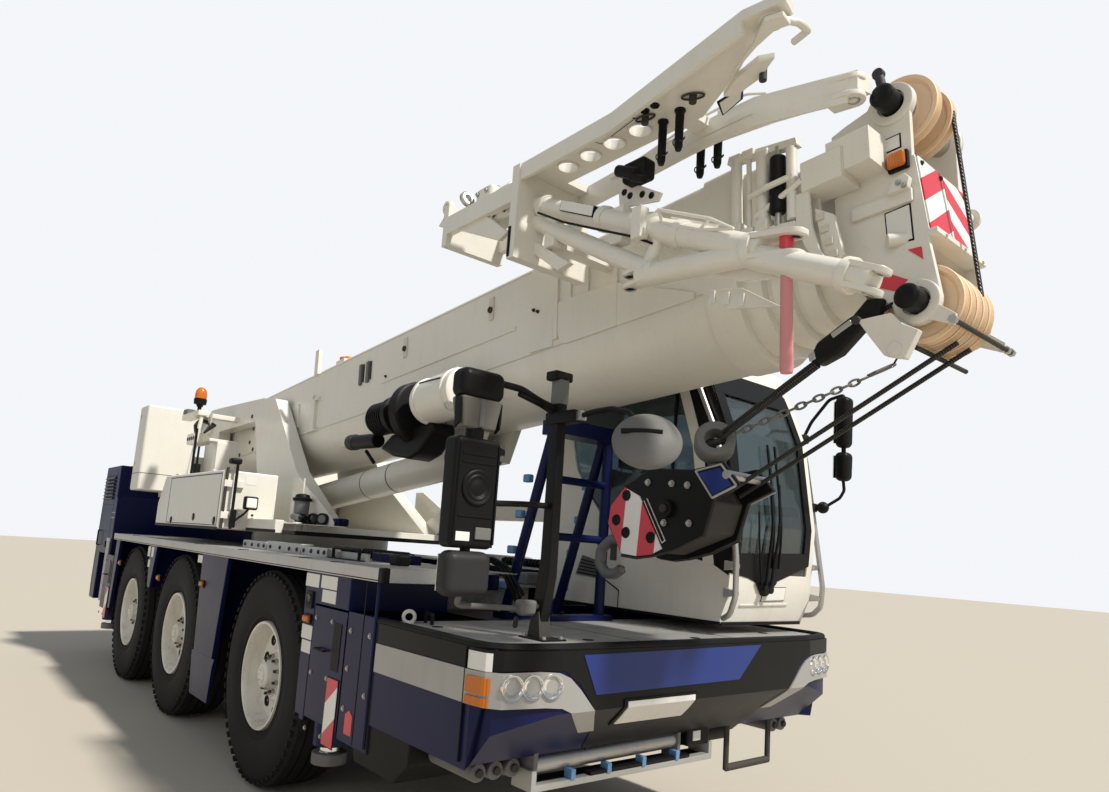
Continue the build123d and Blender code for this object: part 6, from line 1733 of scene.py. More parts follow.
    # flanges of the inner bar and the fork at its tip
    bar = [(1.96, -0.480), (2.93, -0.560), (3.23, -0.560), (3.60, -0.445), (3.605, -0.432), (3.23, -0.546),
           (2.93, -0.546), (1.96, -0.466)]
    addPlate(form, bar, (3.505, 3.565), "ivoryPaint", "plan", 0.003)
    for z in (3.545, 3.622):
        fork = [(3.50, -0.475), (3.60, -0.452)]
        fork += [(3.60 + 0.055 * math.sin(a), -0.397 - 0.055 * math.cos(a))
                 for a in [math.pi * k / 8 for k in range(9)]]
        fork.append((3.50, -0.36))
        addPlate(form, fork, (z - 0.011, z + 0.011), "ivoryPaint", "plan", 0.004)
        addEye(form, (3.605, -0.397, z), (0, 0, 1), 0.030, 0.018, 0.014, "brushedSteel", 24)
    addBox(form, (3.02, -0.545, 3.638), (3.10, -0.50, 3.672), "ivoryPaint", 0.004)
    addPipe(form, [(2.30, -0.52, 3.60), (2.90, -0.57, 3.655), (3.20, -0.575, 3.66), (3.28, -0.54, 3.645)],
            0.006, "ivoryPaint", 0.04, 8)
    settle(form, "jibFittings", "boom", crease=36)


def makeSectionBars():
    # upright bars and the black damper that stand beside the section collars
    settings = dict(plane=-0.375)
    y = settings["plane"]
    form = bmesh.new()
    for x, low, high, radius, finish in (
        (3.03, 3.14, 3.50, 0.026, "ivoryPaint"), (3.10, 3.10, 3.50, 0.012, "ivoryPaint"),
        (3.175, 3.12, 3.47, 0.030, "ivoryPaint"),
    ):
        addRod(form, (x, y, low), (x - 0.02, y, high), radius, finish, 28, round=0.004)
        addShell(form, (x - 0.035, y - 0.03, low - 0.03), (x + 0.035, y + 0.035, low + 0.03), "ivoryPaint",
                 0.01)
        addShell(form, (x - 0.050, y - 0.025, high - 0.02), (x + 0.020, y + 0.035, high + 0.02),
                 "ivoryPaint", 0.01)
    addRod(form, (3.245, y, 3.16), (3.238, y, 3.43), 0.038, "blackPaint", 28, round=0.012)
    addRod(form, (3.25, y, 3.10), (3.235, y, 3.48), 0.014, "brushedSteel", 20)
    addRod(form, (3.32, y, 3.11), (3.305, y, 3.45), 0.024, "ivoryPaint", 24, round=0.004)
    addPipe(form, [(3.11, y - 0.03, 3.27), (3.22, y - 0.05, 3.275), (3.34, y - 0.05, 3.285)], 0.014,
            "ivoryPaint", 0.02, 10)
    addPlate(form, [(2.98, 3.06), (3.36, 3.03), (3.34, 3.10), (3.00, 3.13)], (y - 0.01, y + 0.036),
             "ivoryPaint", "side", 0.006)
    addPlate(form, [(2.96, 3.49), (3.34, 3.45), (3.33, 3.49), (2.97, 3.53)], (y - 0.01, y + 0.036),
             "ivoryPaint", "side", 0.006)
    settle(form, "sectionBars", "boom", crease=36)


makeJibFittings()
makeSectionBars()
print("jib fittings made")


def makeDeckTrim(side):
    # aluminium edging, labels' bare plates, lamps, seams and handles of a side deck
    sign = 1 if side == "left" else -1
    settings = dict(edge=1.275, top=1.467, stripHeight=0.068, rear=-4.88, front=1.638)
    edge, top, low = settings["edge"], settings["top"], settings["top"] - settings["stripHeight"]
    form = bmesh.new()

    def sheet(lowX, highX, lowZ, highZ, finish, depth=0.004, round=0.0015):
        y = sorted((sign * (edge - 0.002), sign * (edge + depth)))
        addBox(form, (lowX, y[0], lowZ), (highX, y[1], highZ), finish, round)

    sheet(settings["rear"], settings["front"] - 0.035, low, top + 0.003, "bareAluminium", 0.009, 0.003)
    sheet(settings["rear"], settings["front"] - 0.035, low + 0.006, low + 0.012, "darkSteel", 0.010, 0)
    ends = sorted((sign * 0.72, sign * (edge - 0.03)))
    addBox(form, (settings["front"] - 0.004, ends[0], low),
           (settings["front"] + 0.008, ends[1], top + 0.003), "bareAluminium", 0.003)
    corner = sorted((sign * (edge - 0.035), sign * (edge + 0.011)))
    addBox(form, (settings["front"] - 0.042, corner[0], low - 0.005),
           (settings["front"] + 0.011, corner[1], top + 0.006), "blackPlastic", 0.010, 3)
    tread = sorted((sign * 0.43, sign * (edge - 0.006)))
    addBox(form, (settings["rear"] + 0.01, tread[0], top - 0.001),
           (settings["front"] - 0.008, tread[1], top + 0.003), "treadPlate", 0.001)
    for x in (-3.95, -2.95, -1.65, -0.55, 0.56, 1.02):
        y = sorted((sign * (edge - 0.05), sign * (edge + 0.0095)))
        addBox(form, (x, y[0], top + 0.001), (x + 0.06, y[1], top + 0.006), "blackPlastic", 0.002)
    for x in (-3.45, -1.95, -0.02):
        y = sorted((sign * 0.44, sign * (edge - 0.01)))
        addBox(form, (x - 0.003, y[0], top + 0.002), (x + 0.003, y[1], top + 0.0042), "darkSteel", 0)
    # bare plates where instructions are stuck on
    for lowX, highX, lowZ, highZ in (
        (0.70, 0.885, 1.314, 1.388), (0.915, 1.125, 1.318, 1.389), (0.945, 1.125, 1.243, 1.311),
        (0.715, 0.858, 1.018, 1.096),
        (0.735, 0.858, 0.942, 1.010), (-1.52, -1.40, 1.325, 1.385), (-3.22, -3.13, 1.29, 1.385),
        (-3.08, -2.99, 1.29, 1.385), (-3.16, -3.09, 1.19, 1.26),
    ):
        sheet(lowX, highX, lowZ, highZ, "labelWhite", 0.0015, 0.0005)
    # lamps
    for x, z in ((0.742, 1.112), (-1.352, 1.148), (-2.70, 1.10), (-4.42, 1.14)):
        sheet(x - 0.012, x + 0.092, z - 0.010, z + 0.048, "blackPlastic", 0.008, 0.004)
        sheet(x, x + 0.080, z, z + 0.038, "amberGlass", 0.022, 0.008)
    sheet(0.745, 0.835, 1.190, 1.290, "blackPlastic", 0.012, 0.010)
    addTurned(form, [(0, 0.0), (0.004, 0.02), (0.006, 0.026), (0.0, 0.030)],
              (0.79, sign * (edge + 0.012), 1.245), (0, sign, 0), "lampGlass", 24)
    # a joint, black strips of painted shade in the recessed gaps between the front panels, bolts and the
    # folded lip of the front panel
    sheet(1.286, 1.2915, 0.60, 1.19, "blackPlastic", 0.002, 0)
    # painted shade: black strips where the gaps between the panels stand darker for lack of reflected light
    sheet(1.475, 1.481, 0.59, 1.39, "blackPlastic", 0.002, 0)
    sheet(1.622, 1.638, 0.59, 1.19, "blackPlastic", 0.001, 0)
    addRod(form, (1.610, sign * (edge + 0.002), 0.60), (1.610, sign * (edge + 0.002), 1.395), 0.009,
           "navyPaint", 16, round=0.003)
    addBolts(form, [(1.345, sign * edge, 1.13), (1.345, sign * edge, 0.94), (1.345, sign * edge, 0.74),
                    (1.56, sign * edge, 1.13), (1.56, sign * edge, 0.84)],
             (0, sign, 0), 0.011, 0.008, "brushedSteel")
    plate = [(1.38, 0.625), (1.46, 0.625), (1.46, 0.72), (1.42, 0.745), (1.38, 0.72)]
    addPlate(form, plate, sorted((sign * (edge - 0.001), sign * (edge + 0.003))), "signRed", "side", 0.001)
    # low boxes, handle, ribbed hose and blocks along the inner edge
    outer = sorted((sign * 0.93, sign * 1.03))
    for lowX, highX, highZ in ((-1.24, -0.72, 1.533), (-0.70, -0.06, 1.542), (-0.04, 0.38, 1.530)):
        addBox(form, (lowX, outer[0], top), (highX, outer[1], highZ), "bareAluminium", 0.006)
        for place in (0.12, 0.42, 0.70, 0.92):
            addBolts(form, [(lowX + (highX - lowX) * place, sign * 1.032, top + 0.034)], (0, sign, 0),
                     0.011, 0.007, "darkSteel")
        addBox(form, (lowX + 0.02, outer[0] + 0.02, highZ - 0.001),
               (highX - 0.02, outer[1] - 0.02, highZ + 0.002), "darkSteel", 0)
    y = sign * 1.00
    addPipe(form, [(0.42, y, top), (0.42, y, top + 0.072), (0.79, y, top + 0.072), (0.79, y, top)], 0.011,
            "blackPlastic", 0.025, 10)
    addBox(form, (0.39, y - 0.02, top), (0.84, y + 0.02, top + 0.010), "blackPlastic", 0.003)
    rail = sorted((sign * 0.93, sign * 0.97))
    addBox(form, (0.40, rail[0], top), (0.80, rail[1], top + 0.050), "bareAluminium", 0.004)
    inner = sorted((sign * 0.70, sign * 0.80))
    addBox(form, (0.56, inner[0], top), (1.02, inner[1], top + 0.058), "navyPaint", 0.006)
    for k in range(15):
        x = 0.10 + k * 0.042
        addRod(form, (x, sign * 0.62, top + 0.040), (x + 0.020, sign * 0.62, top + 0.040), 0.034,
               "blackPlastic", 20, round=0.005)
    addRod(form, (0.08, sign * 0.62, top + 0.040), (0.76, sign * 0.62, top + 0.040), 0.026, "blackPlastic",
           20)
    block = sorted((sign * 0.90, sign * 0.99))
    addShell(form, (1.14, block[0], top), (1.25, block[1], top + 0.068), "blackPlastic", 0.02)
    addPipe(form, [(0.76, sign * 0.62, top + 0.04), (0.92, sign * 0.66, top + 0.03),
                   (1.07, sign * 0.84, top + 0.022), (1.16, sign * 0.92, top + 0.03)], 0.013,
            "blackPlastic", 0.06, 10)
    # skirt between the first two wheels
    skirt = [(-1.366, 0.66), (-1.362, 0.60), (-1.30, 0.34), (-0.86, 0.34), (-0.83, 0.60), (-0.80, 0.66)]
    addPlate(form, skirt, sorted((sign * 1.248, sign * 1.2762)), "navyPaint", "side", 0.003)
    settle(form, f"deckTrim{side.title()}", "carrier", crease=34)


def makeBeamPlates(side):
    # the covers on the outrigger beams' ends, which slide out with them
    sign = 1 if side == "left" else -1
    settings = dict(face=1.2755)
    face = settings["face"]
    for end, lowX, highX in (("front", 0.872, 1.284), ("rear", -5.196, -4.784)):
        form = bmesh.new()
        depth = sorted((sign * (face - 0.001), sign * (face + 0.003)))
        addStriped(form, [(highX - 0.15, 0.52), (highX - 0.02, 0.52), (highX - 0.02, 0.86),
                          (highX - 0.15, 0.86)],
                   (sign * (face + 0.002), sign * (face + 0.0045)), "side", 0.125, 52 * sign,
                   ("signRed", "signWhite"))
        backing = sorted((sign * (face - 0.001), sign * (face + 0.0025)))
        addBox(form, (highX - 0.156, depth[0], 0.514), (highX - 0.014, backing[1], 0.866), "blackPlastic",
               0.001)
        addBox(form, (highX - 0.14, depth[0], 0.90), (highX - 0.045, depth[1], 1.15), "blackPlastic", 0.002)
        flush, proud = sign * (face + 0.002), sign * (face + 0.024)
        handle = [(lowX + x, y, 0.99) for x,
                  y in ((0.09, flush), (0.09, proud), (0.21, proud), (0.21, flush))]
        addPipe(form, handle, 0.006, "blackPlastic", 0.01, 8)
        addBolts(form,
                 [(x, sign * face, z) for x in (lowX + 0.03, lowX + 0.24) for z in (0.55, 0.85, 1.15)],
                 (0, sign, 0), 0.010, 0.007, "brushedSteel")
        settle(form, f"beamPlate{end.title()}{side.title()}", f"beam_{end}_{side}",
               crease=34)


for side in ("left", "right"):
    makeDeckTrim(side)
    makeBeamPlates(side)
print("deck trim made")


def makeConsoleFittings():
    # doors, latches, work lamp, filter and valves on the superstructure's right
    settings = dict(side=-1.20, front=-1.40, low=1.61, top=2.09)
    y, x, low, top = settings["side"], settings["front"], settings["low"], settings["top"]
    form = bmesh.new()
    # door joints and latches on the side
    for a, b, c, d in ((-3.02, -3.012, low + 0.02, top - 0.03), (-1.432, -1.424, low + 0.02, top - 0.03),
                       (-3.02, -1.424, top - 0.034, top - 0.026), (-3.02, -1.424, low + 0.02, low + 0.026)):
        addBox(form, (a, y - 0.0015, c), (b, y + 0.002, d), "darkSteel", 0)
    for lx, lz in ((-2.845, 1.657), (-2.104, 1.694), (-1.50, 1.669)):
        addTurned(form, [(0, 0.0), (0.006, 0.012), (0.007, 0.026), (0.004, 0.032), (0.0, 0.034)],
                  (lx, y, lz), (0, -1, 0), "blackPlastic", 28)
        addBox(form, (lx - 0.004, y - 0.012, lz - 0.016), (lx + 0.004, y - 0.004, lz + 0.016),
               "brushedSteel", 0.001)
    for hx in (-2.80, -1.70):
        addRod(form, (hx - 0.05, y - 0.004, top + 0.004), (hx + 0.05, y - 0.004, top + 0.004), 0.008,
               "ivoryPaint", 16)
    # front face: hinge posts, black pipe with a work lamp, bare plate
    addRod(form, (x + 0.018, -1.175, low), (x + 0.018, -1.175, top + 0.02), 0.012, "darkSteel", 16)
    for z in (1.98, 1.72):
        addBox(form, (x, -1.19, z - 0.03), (x + 0.03, -1.125, z + 0.03), "ivoryPaint", 0.006)
        addBox(form, (x, -1.095, z - 0.03), (x + 0.035, -1.03, z + 0.03), "ivoryPaint", 0.006)
    addRod(form, (x + 0.05, -1.11, low), (x + 0.05, -1.11, top + 0.08), 0.012, "blackPlastic", 20,
           round=0.004)
    addShell(form, (x - 0.02, -1.17, top + 0.05), (x + 0.07, -1.08, top + 0.10), "blackPlastic", 0.018)
    addBox(form, (x + 0.035, -1.125, low + 0.01), (x + 0.07, -1.08, low + 0.16), "blackPlastic", 0.006)
    addPipe(form, [(x + 0.05, -1.11, 1.66), (x + 0.08, -1.08, 1.69), (x + 0.10, -1.03, 1.74),
                   (x + 0.10, -0.99, 1.79)], 0.009, "blackPlastic", 0.03, 10)
    addShell(form, (x + 0.075, -1.045, 1.775), (x + 0.135, -0.935, 1.885), "blackPlastic", 0.016)
    addShell(form, (x + 0.122, -1.032, 1.790), (x + 0.142, -0.948, 1.870), "signWhite", 0.01)
    addBox(form, (x - 0.001, -1.02, 1.985), (x + 0.002, -0.93, 2.05), "labelWhite", 0)
    for z in (1.704, 1.734):
        addTurned(form, [(0, 0.0), (0.003, 0.009), (0.0, 0.011)], (x, -0.93, z), (1, 0, 0), "blackPlastic",
                  14)
    # filter canister on its bracket
    bx, by = -0.94, -0.70
    addRod(form, (bx, by, 1.765), (bx, by, 1.875), 0.060, "castIron", 32, round=0.008)
    addTurned(form, [(0.0, 0.0), (0.0, 0.074), (0.022, 0.078), (0.030, 0.060), (0.052, 0.052),
                     (0.060, 0.030), (0.060, 0.0)], (bx, by, 1.872), (0, 0, 1), "blackPlastic", 32)
    addRod(form, (bx, by, 1.69), (bx, by, 1.775), 0.042, "blackPlastic", 28, round=0.008)
    addRod(form, (bx, by, 1.93), (bx, by, 2.06), 0.007, "ivoryPaint", 12)
    addBox(form, (bx - 0.02, by - 0.10, 1.682), (bx + 0.12, by + 0.26, 1.700), "blackPlastic", 0.004)
    # valve bank, gauge and cap beside it
    for k, (py, pz, reach) in enumerate(((-0.77, 1.745, 0.026), (-0.71, 1.735, 0.030),
                                         (-0.655, 1.75, 0.024), (-0.61, 1.735, 0.028),
                                         (-0.56, 1.755, 0.022))):
        addRod(form, (bx + 0.02, py, pz), (bx + 0.14 + 0.01 * (k % 3), py, pz - 0.01), reach, "blackPlastic"
               if k % 2 else "castIron", 24, round=0.005)
        addPipe(form,
                [(bx + 0.13, py, pz), (bx + 0.16, py + 0.02, pz - 0.03), (bx + 0.12, py + 0.05, 1.70)],
                0.008, "blackPlastic", 0.02, 8)
    for px, reach, face in ((-0.78, 0.044, "lampGlass"), (-0.60, 0.046, "castIron")):
        turn = Vector((0.62, -0.78, 0))
        spot = Vector((px, -0.665, 1.735))
        addTurned(form, [(-0.03, 0.0), (-0.03, reach), (0.004, reach), (0.008, reach - 0.006),
                         (0.002, reach - 0.012), (0.002, 0.0)], spot, turn, "blackPlastic", 36)
        addRod(form, spot, spot + turn * 0.004, reach - 0.014, face, 32)
    addShell(form, (-0.62, -0.575, 1.69), (-0.52, -0.47, 1.75), "navyPaint", 0.016)
    addRod(form, (-0.53, -0.52, 1.716), (-0.50, -0.52, 1.716), 0.022, "blackPlastic", 24, round=0.005)
    # small lamps and caps on the other side's console
    for lx in (-3.0, -2.3, -1.6):
        addTurned(form, [(0, 0.0), (0.006, 0.012), (0.007, 0.026), (0.004, 0.032), (0.0, 0.034)],
                  (lx, 1.20, 1.68), (0, 1, 0), "blackPlastic", 28)
    for a in (-3.25, -2.65, -1.95):
        addBox(form, (a, 1.198, low + 0.02), (a + 0.006, 1.2015, 1.92), "darkSteel", 0)
    settle(form, "consoleFittings", "superstructure", crease=34)


def makeBeaconCluster():
    # amber beacon and the hose manifold between the cabinet and the right cheek
    settings = dict(x=-3.56, y=-0.90)
    x, y = settings["x"], settings["y"]
    form = bmesh.new()
    addTurned(form, [(2.885, 0.0), (2.885, 0.030), (2.905, 0.034), (2.915, 0.062), (2.965, 0.066),
                     (2.975, 0.060), (2.975, 0.0)], (x, y, 0), (0, 0, 1), "blackPlastic", 32)
    addTurned(form, [(2.968, 0.0), (2.968, 0.058), (3.02, 0.059), (3.060, 0.052), (3.088, 0.034),
                     (3.098, 0.014), (3.100, 0.0)], (x, y, 0), (0, 0, 1), "amberGlass", 32)
    addRod(form, (x, y, 2.83), (x, y, 2.89), 0.020, "blackPlastic", 20)
    addRod(form, (x, y, 2.76), (x, y, 2.835), 0.026, "ivoryPaint", 20, round=0.003)
    addPlate(form, [(-4.02, 2.83), (-3.38, 2.83), (-3.38, 2.775), (-4.02, 2.77)], (y - 0.05, y + 0.05),
             "ivoryPaint", "side", 0.006)
    addPlate(form, [(-3.82, 2.825), (-3.40, 2.825), (-3.46, 2.64), (-3.60, 2.56), (-3.74, 2.60)],
             (-0.805, -0.793), "ivoryPaint", "side", 0.003)
    addBox(form, (-3.62, y + 0.04, 2.775), (-3.48, -0.498, 2.825), "ivoryPaint", 0.006)
    addBox(form, (-4.02, y - 0.045, 2.83), (-3.86, y + 0.045, 2.89), "greyPlastic", 0.01)
    # uprights that carry it
    for px, low, high, radius, finish in ((-3.418, 2.085, 2.79, 0.020, "ivoryPaint"),
                                          (-3.30, 2.085, 2.62, 0.013, "blackPlastic"),
                                          (-3.14, 2.085, 2.42, 0.011, "blackPlastic")):
        addRod(form, (px, -0.96, low), (px, -0.96 if radius < 0.02 else y, high), radius, finish, 20)
    for k in range(3):
        addPipe(form, [(-3.95 + 0.07 * k, -0.80, 2.60), (-3.90 + 0.07 * k, -0.84, 2.72),
                       (-3.72 + 0.07 * k, -0.85, 2.76), (-3.45, -0.80 + 0.03 * k, 2.70),
                       (-3.25, -0.90, 2.58)],
                0.011, "blackPlastic" if k else "darkSteel", 0.05, 8)
    addShell(form, (-3.98, -0.88, 2.50), (-3.66, -0.72, 2.62), "ivoryPaint", 0.015)
    for k in range(4):
        addRod(form, (-3.94 + 0.075 * k, -0.885, 2.56), (-3.94 + 0.075 * k, -0.86, 2.56), 0.022,
               "darkSteel", 20, round=0.003)
    addBox(form, (-3.66, -0.80, 2.52), (-3.40, -0.50, 2.55), "ivoryPaint", 0.005)
    addBox(form, (-3.50, -0.72, 2.20), (-3.38, -0.50, 2.52), "ivoryPaint", 0.010)
    addRod(form, (-3.12, -0.96, 2.10), (-3.12, -0.96, 2.24), 0.034, "blackPlastic", 24, round=0.008)
    for hx, hz in ((-3.05, 2.80), (-2.95, 2.66), (-3.02, 2.52), (-2.90, 2.44), (-3.3, 2.40)):
        addTurned(form, [(0, 0.0), (0.003, 0.015), (0.006, 0.02), (0.0, 0.022)], (hx, -0.502, hz),
                  (0, -1, 0), "darkSteel", 16)
    # joints and vents of the tall cabinet behind
    for sign in (1, -1):
        side = sign * 1.20
        depth = sorted((side - sign * 0.001, side + sign * 0.0015))
        addBox(form, (-4.872, depth[0], 2.168), (-4.508, depth[1], 2.174), "darkSteel", 0)
        for k in range(2):
            vent = sorted((side, side + sign * 0.003))[1]
            addBox(form, (-4.80, depth[0], 2.82 - 0.55 * k), (-4.785, vent, 2.86 - 0.55 * k),
                   "blackPlastic", 0.001)
        seam = sorted((sign * 0.64, sign * 1.195))
        addBox(form, (-4.501, seam[0], 2.168), (-4.4985, seam[1], 2.174), "darkSteel", 0)
        joint = sorted((sign * 0.64, sign * 0.644))
        addBox(form, (-4.501, joint[0], 1.99), (-4.4985, joint[1], 2.95), "darkSteel", 0)
    settle(form, "beaconCluster", "superstructure", crease=34)


makeConsoleFittings()
makeBeaconCluster()
print("superstructure fittings made")


def makeFrontUnderside():
    # towing roller, step frame, tanks and black step boxes under the nose
    settings = dict(x=2.42, rollerZ=0.672, frameZ=0.585)
    x, rollerZ, frameZ = settings["x"], settings["rollerZ"], settings["frameZ"]
    form = bmesh.new()
    addRod(form, (x - 0.04, -0.86, rollerZ), (x - 0.04, 0.09, rollerZ + 0.012), 0.043, "brushedSteel", 36,
           round=0.005)
    for y in (-0.87, 0.09):
        addBox(form, (x - 0.10, y - 0.012, frameZ), (x + 0.012, y + 0.012, 0.735), "castIron", 0.005)
    # pale frame under it with a black tread between
    addBox(form, (x - 0.02, -0.89, frameZ - 0.016), (x + 0.025, 0.34, frameZ + 0.014), "silverBand", 0.005)
    addBox(form, (x - 0.12, -0.86, frameZ - 0.004), (x - 0.02, 0.32, frameZ + 0.008), "blackPlastic", 0.003)
    addBox(form, (x - 0.02, -0.55, frameZ + 0.016), (x + 0.028, 0.16, frameZ + 0.030), "blackPlastic", 0.003)
    for y in (-0.885, 0.335):
        addBox(form, (x - 0.12, y - 0.014, frameZ - 0.016), (x + 0.024, y + 0.014, frameZ + 0.075),
               "silverBand", 0.005)
    for y in (-0.66, -0.43, -0.19, 0.06):
        addBox(form, (x - 0.02, y - 0.014, frameZ + 0.012), (x + 0.032, y + 0.014, frameZ + 0.058),
               "hoseBlue", 0.004)
    addShell(form, (x - 0.14, 0.150, 0.648), (x + 0.018, 0.330, 0.752), "blackPlastic", 0.014)
    addBox(form, (x + 0.012, 0.19, 0.675), (x + 0.022, 0.25, 0.725), "labelWhite", 0.002)
    for y in (-1.13, -1.04, -0.945, 1.04, 1.13):
        addRod(form, (2.02, y, 0.665), (2.37, y, 0.665), 0.041, "castIron", 28, round=0.012)
        addRod(form, (2.365, y, 0.665), (2.385, y, 0.665), 0.018, "darkSteel", 20, round=0.003)
    for sign in (-1, 1):
        y = sorted((sign * 0.46, sign * 1.268))
        box = [(1.46, 0.62), (1.50, 0.515), (1.90, 0.515), (2.02, 0.62), (2.02, 0.745), (1.46, 0.745)]
        addPlate(form, box, tuple(y), "blackPlastic", "side", 0.010)
    # lifting ring, tie-down and hatch handles on the platform
    addEye(form, (1.735, -1.165, 1.245), (1, -0.5, 0), 0.036, 0.019, 0.013, "ivoryPaint", 28)
    addBox(form, (1.715, -1.185, 1.212), (1.755, -1.145, 1.220), "ivoryPaint", 0.002)
    addPipe(form, [(1.72, -1.06, 1.212), (1.72, -1.06, 1.262), (1.83, -1.09, 1.262), (1.83, -1.09, 1.212)],
            0.010, "blackPlastic", 0.012, 10)
    addEye(form, (1.735, 1.165, 1.245), (1, 0.5, 0), 0.036, 0.019, 0.013, "ivoryPaint", 28)
    settle(form, "frontUnderside", "carrier", crease=34)


def makeHousingFittings():
    # louvres, doors, lamps and mudguards of the engine housing
    settings = dict(side=1.24, rear=-6.172, louvres=7)
    side, rear = settings["side"], settings["rear"]
    form = bmesh.new()
    for sign in (-1, 1):
        face = sign * side

        def sheet(lowX, highX, lowZ, highZ, finish, depth=0.003, round=0.001):
            y = sorted((face - sign * 0.001, face + sign * depth))
            addBox(form, (lowX, y[0], lowZ), (highX, y[1], highZ), finish, round)

        for k in range(settings["louvres"]):
            z = 1.88 + k * 0.042
            slat = [(face, z), (face + sign * 0.020, z - 0.012), (face + sign * 0.022, z - 0.006),
                    (face + sign * 0.002, z + 0.020)]
            part = bmesh.new()
            strip = part.faces.new([part.verts.new((-6.05, a, b)) for a, b in slat])
            thicken(part, [strip], (0.56, 0, 0))
            join(form, part, "navyPaint")
        sheet(-6.07, -5.47, 1.86, 2.17, "blackPlastic", 0.001, 0)
        for x in (-6.10, -5.44):
            sheet(x, x + 0.006, 0.70, 2.22, "blackPlastic", 0.0012, 0)
        sheet(-6.10, -5.44, 1.80, 1.806, "blackPlastic", 0.0012, 0)
        for z in (1.70, 1.64):
            sheet(-5.44, -5.26, z, z + 0.012, "silverBand", 0.003)
        sheet(-5.60, -5.54, 1.28, 1.36, "blackPlastic", 0.010, 0.004)
        addPipe(form,
                [(-5.98, face, 1.30), (-5.98, face + sign * 0.028, 1.30),
                 (-5.98, face + sign * 0.028, 1.48), (-5.98, face, 1.48)], 0.007, "blackPlastic", 0.012, 8)
        # slatted guard ahead of the rear corner
        for k in range(4):
            sheet(-5.43 + k * 0.044, -5.405 + k * 0.044, 0.66, 1.36, "bareAluminium", 0.016, 0.003)
        sheet(-5.435, -5.27, 0.66, 1.36, "darkSteel", 0.006, 0.002)
        sheet(-5.44, -5.265, 1.36, 1.40, "bareAluminium", 0.018, 0.003)
        for k, finish in enumerate(("lampRed", "amberGlass", "lampRed", "labelWhite")):
            low = sorted((sign * (0.78 + k * 0.10), sign * (0.865 + k * 0.10)))
            addBox(form, (rear - 0.006, low[0], 0.80), (rear + 0.004, low[1], 0.90), finish, 0.004)
        low = sorted((sign * 0.765, sign * 1.185))
        addBox(form, (rear - 0.003, low[0], 0.785), (rear + 0.002, low[1], 0.915), "blackPlastic", 0.001)
        # striped board on the rear corner
        start, end = (low[0] + 0.12, low[1]) if sign > 0 else (low[0], low[1] - 0.12)
        addStriped(form, [(start, 1.00), (end, 1.00), (end, 1.28), (start, 1.28)],
                   (rear - 0.004, rear + 0.001),
                   "front", 0.11, 45 * sign, ("signRed", "signWhite"))
    for k in range(9):
        z = 1.30 + k * 0.085
        addBox(form, (rear - 0.007, -0.60, z), (rear + 0.002, 0.60, z + 0.040), "navyPaint", 0.003)
    addBox(form, (rear - 0.001, -0.63, 1.27), (rear + 0.002, 0.63, 2.08), "blackPlastic", 0)
    addBox(form, (rear - 0.006, -0.26, 0.98), (rear + 0.002, 0.26, 1.10), "labelWhite", 0.002)
    addBox(form, (rear - 0.004, -0.275, 0.965), (rear + 0.002, 0.275, 1.115), "blackPlastic", 0.002)
    addShell(form, (rear + 0.05, -0.12, 0.55), (rear + 0.16, 0.12, 0.68), "darkSteel", 0.02)
    addEye(form, (rear + 0.052, 0, 0.61), (0, 1, 0), 0.045, 0.024, 0.024, "castIron", 28)
    for y in (-1.0, 1.0):
        addPipe(form, [(rear + 0.10, y, 2.275), (rear + 0.10, y, 2.316), (-5.42, y, 2.316),
                       (-5.42, y, 2.275)], 0.011, "navyPaint", 0.02, 10)
    for k in range(8):
        addBox(form, (-6.02 + k * 0.085, -0.50, 2.278), (-5.98 + k * 0.085, 0.50, 2.292), "blackPlastic",
               0.004)
    addRod(form, (-5.55, 0.80, 2.27), (-5.55, 0.80, 2.325), 0.055, "brushedSteel", 32, round=0.006)
    settle(form, "housingFittings", "carrier", crease=34)


def makeBoomRestFittings():
    # pale blue hose clamps and hoses between the deck and the boom rest
    form = bmesh.new()
    for sign in (-1, 1):
        for k, z in enumerate((1.36, 1.58, 1.80, 2.02)):
            addShell(form, (1.235 + 0.055 * k, sign * 0.245 - 0.022, z),
                     (1.295 + 0.055 * k, sign * 0.245 + 0.022, z + 0.05), "hoseBlue", 0.010)
    for k in range(3):
        addPipe(form, [(1.02 + 0.05 * k, -0.30, 1.40), (1.10 + 0.05 * k, -0.32, 1.55),
                       (1.28 + 0.04 * k, -0.30, 1.50), (1.42 + 0.03 * k, -0.26, 1.30 + 0.02 * k)],
                0.012, "blackPlastic", 0.08, 8)
    addShell(form, (0.98, -0.38, 1.34), (1.16, -0.20, 1.44), "navyPaint", 0.014)
    for k in range(4):
        addRod(form, (1.00 + 0.045 * k, -0.39, 1.39), (1.00 + 0.045 * k, -0.36, 1.39), 0.016,
               "brushedSteel", 16, round=0.003)
    addShell(form, (1.02, 0.02, 1.38), (1.14, 0.22, 1.46), "castIron", 0.014)
    settle(form, "boomRestFittings", "carrier", crease=34)


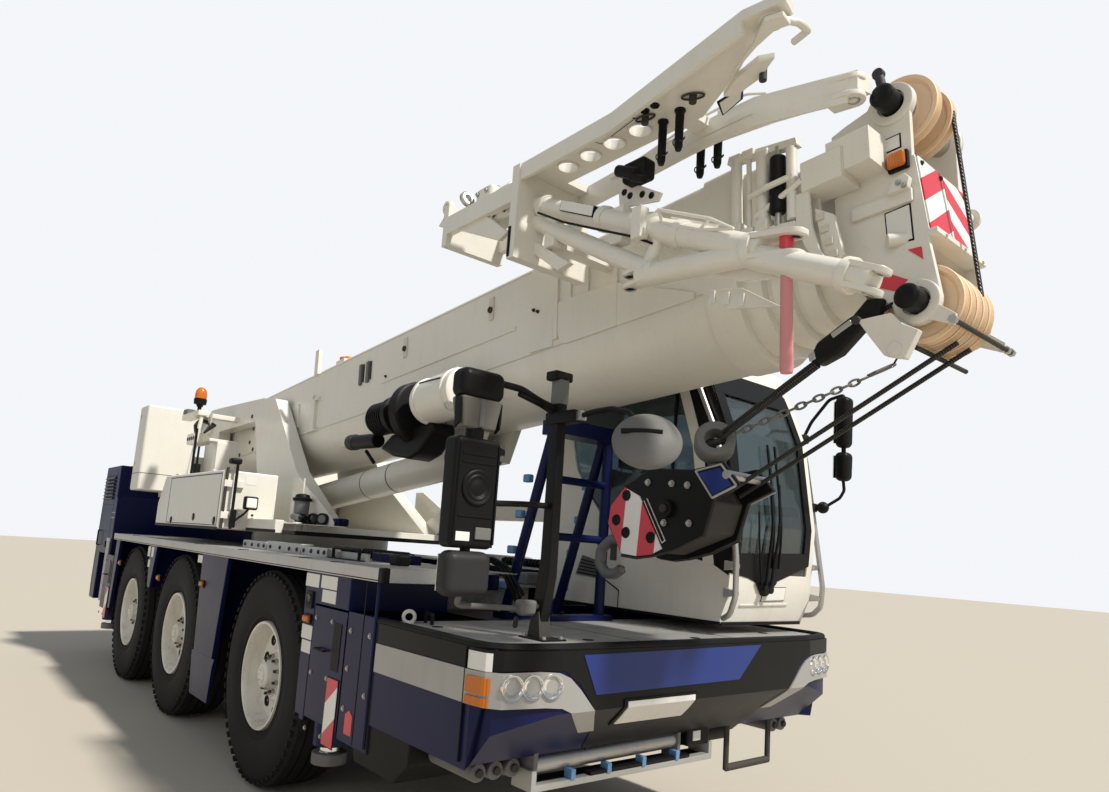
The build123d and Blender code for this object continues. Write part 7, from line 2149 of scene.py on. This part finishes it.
def makeTurretTrim():
    # covers, gussets and dark strips at the platform's toe; the black strips stand partly for a black rubber
    # skirt and partly for painted shadow under the console
    settings = dict(low=1.598, high=1.630, half=0.90)
    low, high, half = settings["low"], settings["high"], settings["half"]
    form = bmesh.new()
    for sign in (-1, 1):
        y = sorted((sign * (half - 0.001), sign * (half + 0.006)))
        # black strip on the platform's edge: partly a rubber skirt, partly painted shadow
        addBox(form, (-0.755, y[0], low), (-0.498, y[1], high), "blackPlastic", 0.002)
        toe = sorted((sign * 0.505, sign * (half - 0.002)))
        addBox(form, (-1.385, toe[0], 1.679), (-0.50, toe[1], 1.686), "ivoryPaint", 0.002)
        gusset = [(-1.400, 1.684), (-1.400, 2.080), (-1.270, 2.080), (-0.640, 1.800), (-0.504, 1.716),
                  (-0.504, 1.684)]
        addPlate(form, gusset, sorted((sign * 0.600, sign * 0.618)), "ivoryPaint", "side", 0.004)
    addBox(form, (-0.502, -half - 0.004, low), (-0.492, half + 0.004, high), "blackPlastic", 0.002)
    addBox(form, (-1.398, -0.968, 1.606), (-0.752, -0.959, 1.704), "ivoryPaint", 0.003)
    addBox(form, (-1.398, -0.964, 1.699), (-0.752, -0.902, 1.706), "ivoryPaint", 0.002)
    addBox(form, (-0.762, -0.966, 1.606), (-0.750, -0.902, 1.704), "ivoryPaint", 0.003)
    # black bands under the console: partly its black rubber skirt, partly painted shadow of the console's
    # underside
    addBox(form, (-1.399, -0.9705, 1.606), (-0.749, -0.960, 1.630), "blackPlastic", 0.002)
    addBox(form, (-3.42, -1.206, 1.596), (-1.40, -1.199, 1.620), "blackPlastic", 0.003)
    settle(form, "turretTrim", "superstructure", crease=34)


def makeBarrelBands():
    # thin welded rings and the dark gland at the mouth of the luffing cylinder
    settings = dict(mouth=(0.609, 0, 2.2837), axis=(0.99401, 0, 0.10925), radius=0.1305)
    mouth, axis, radius = Vector(settings["mouth"]), Vector(settings["axis"]), settings["radius"]
    form = bmesh.new()
    for back, width, lift, finish in ((1.75, 0.010, 0.0030, "darkSteel"),
                                      (1.28, 0.012, 0.0032, "darkSteel"),
                                      (0.36, 0.060, 0.0040, "blackPlastic")):
        ring = [(0, radius - 0.004), (0, radius + lift), (width, radius + lift), (width, radius - 0.004)]
        addTurned(form, ring + ring[:1], mouth - axis * back, axis, finish, 64)
    settle(form, "barrelBands", "luff_barrel", crease=34)


makeFrontUnderside()
makeBarrelBands()
makeHousingFittings()
makeBoomRestFittings()
makeTurretTrim()
print("underside and housing fittings made")
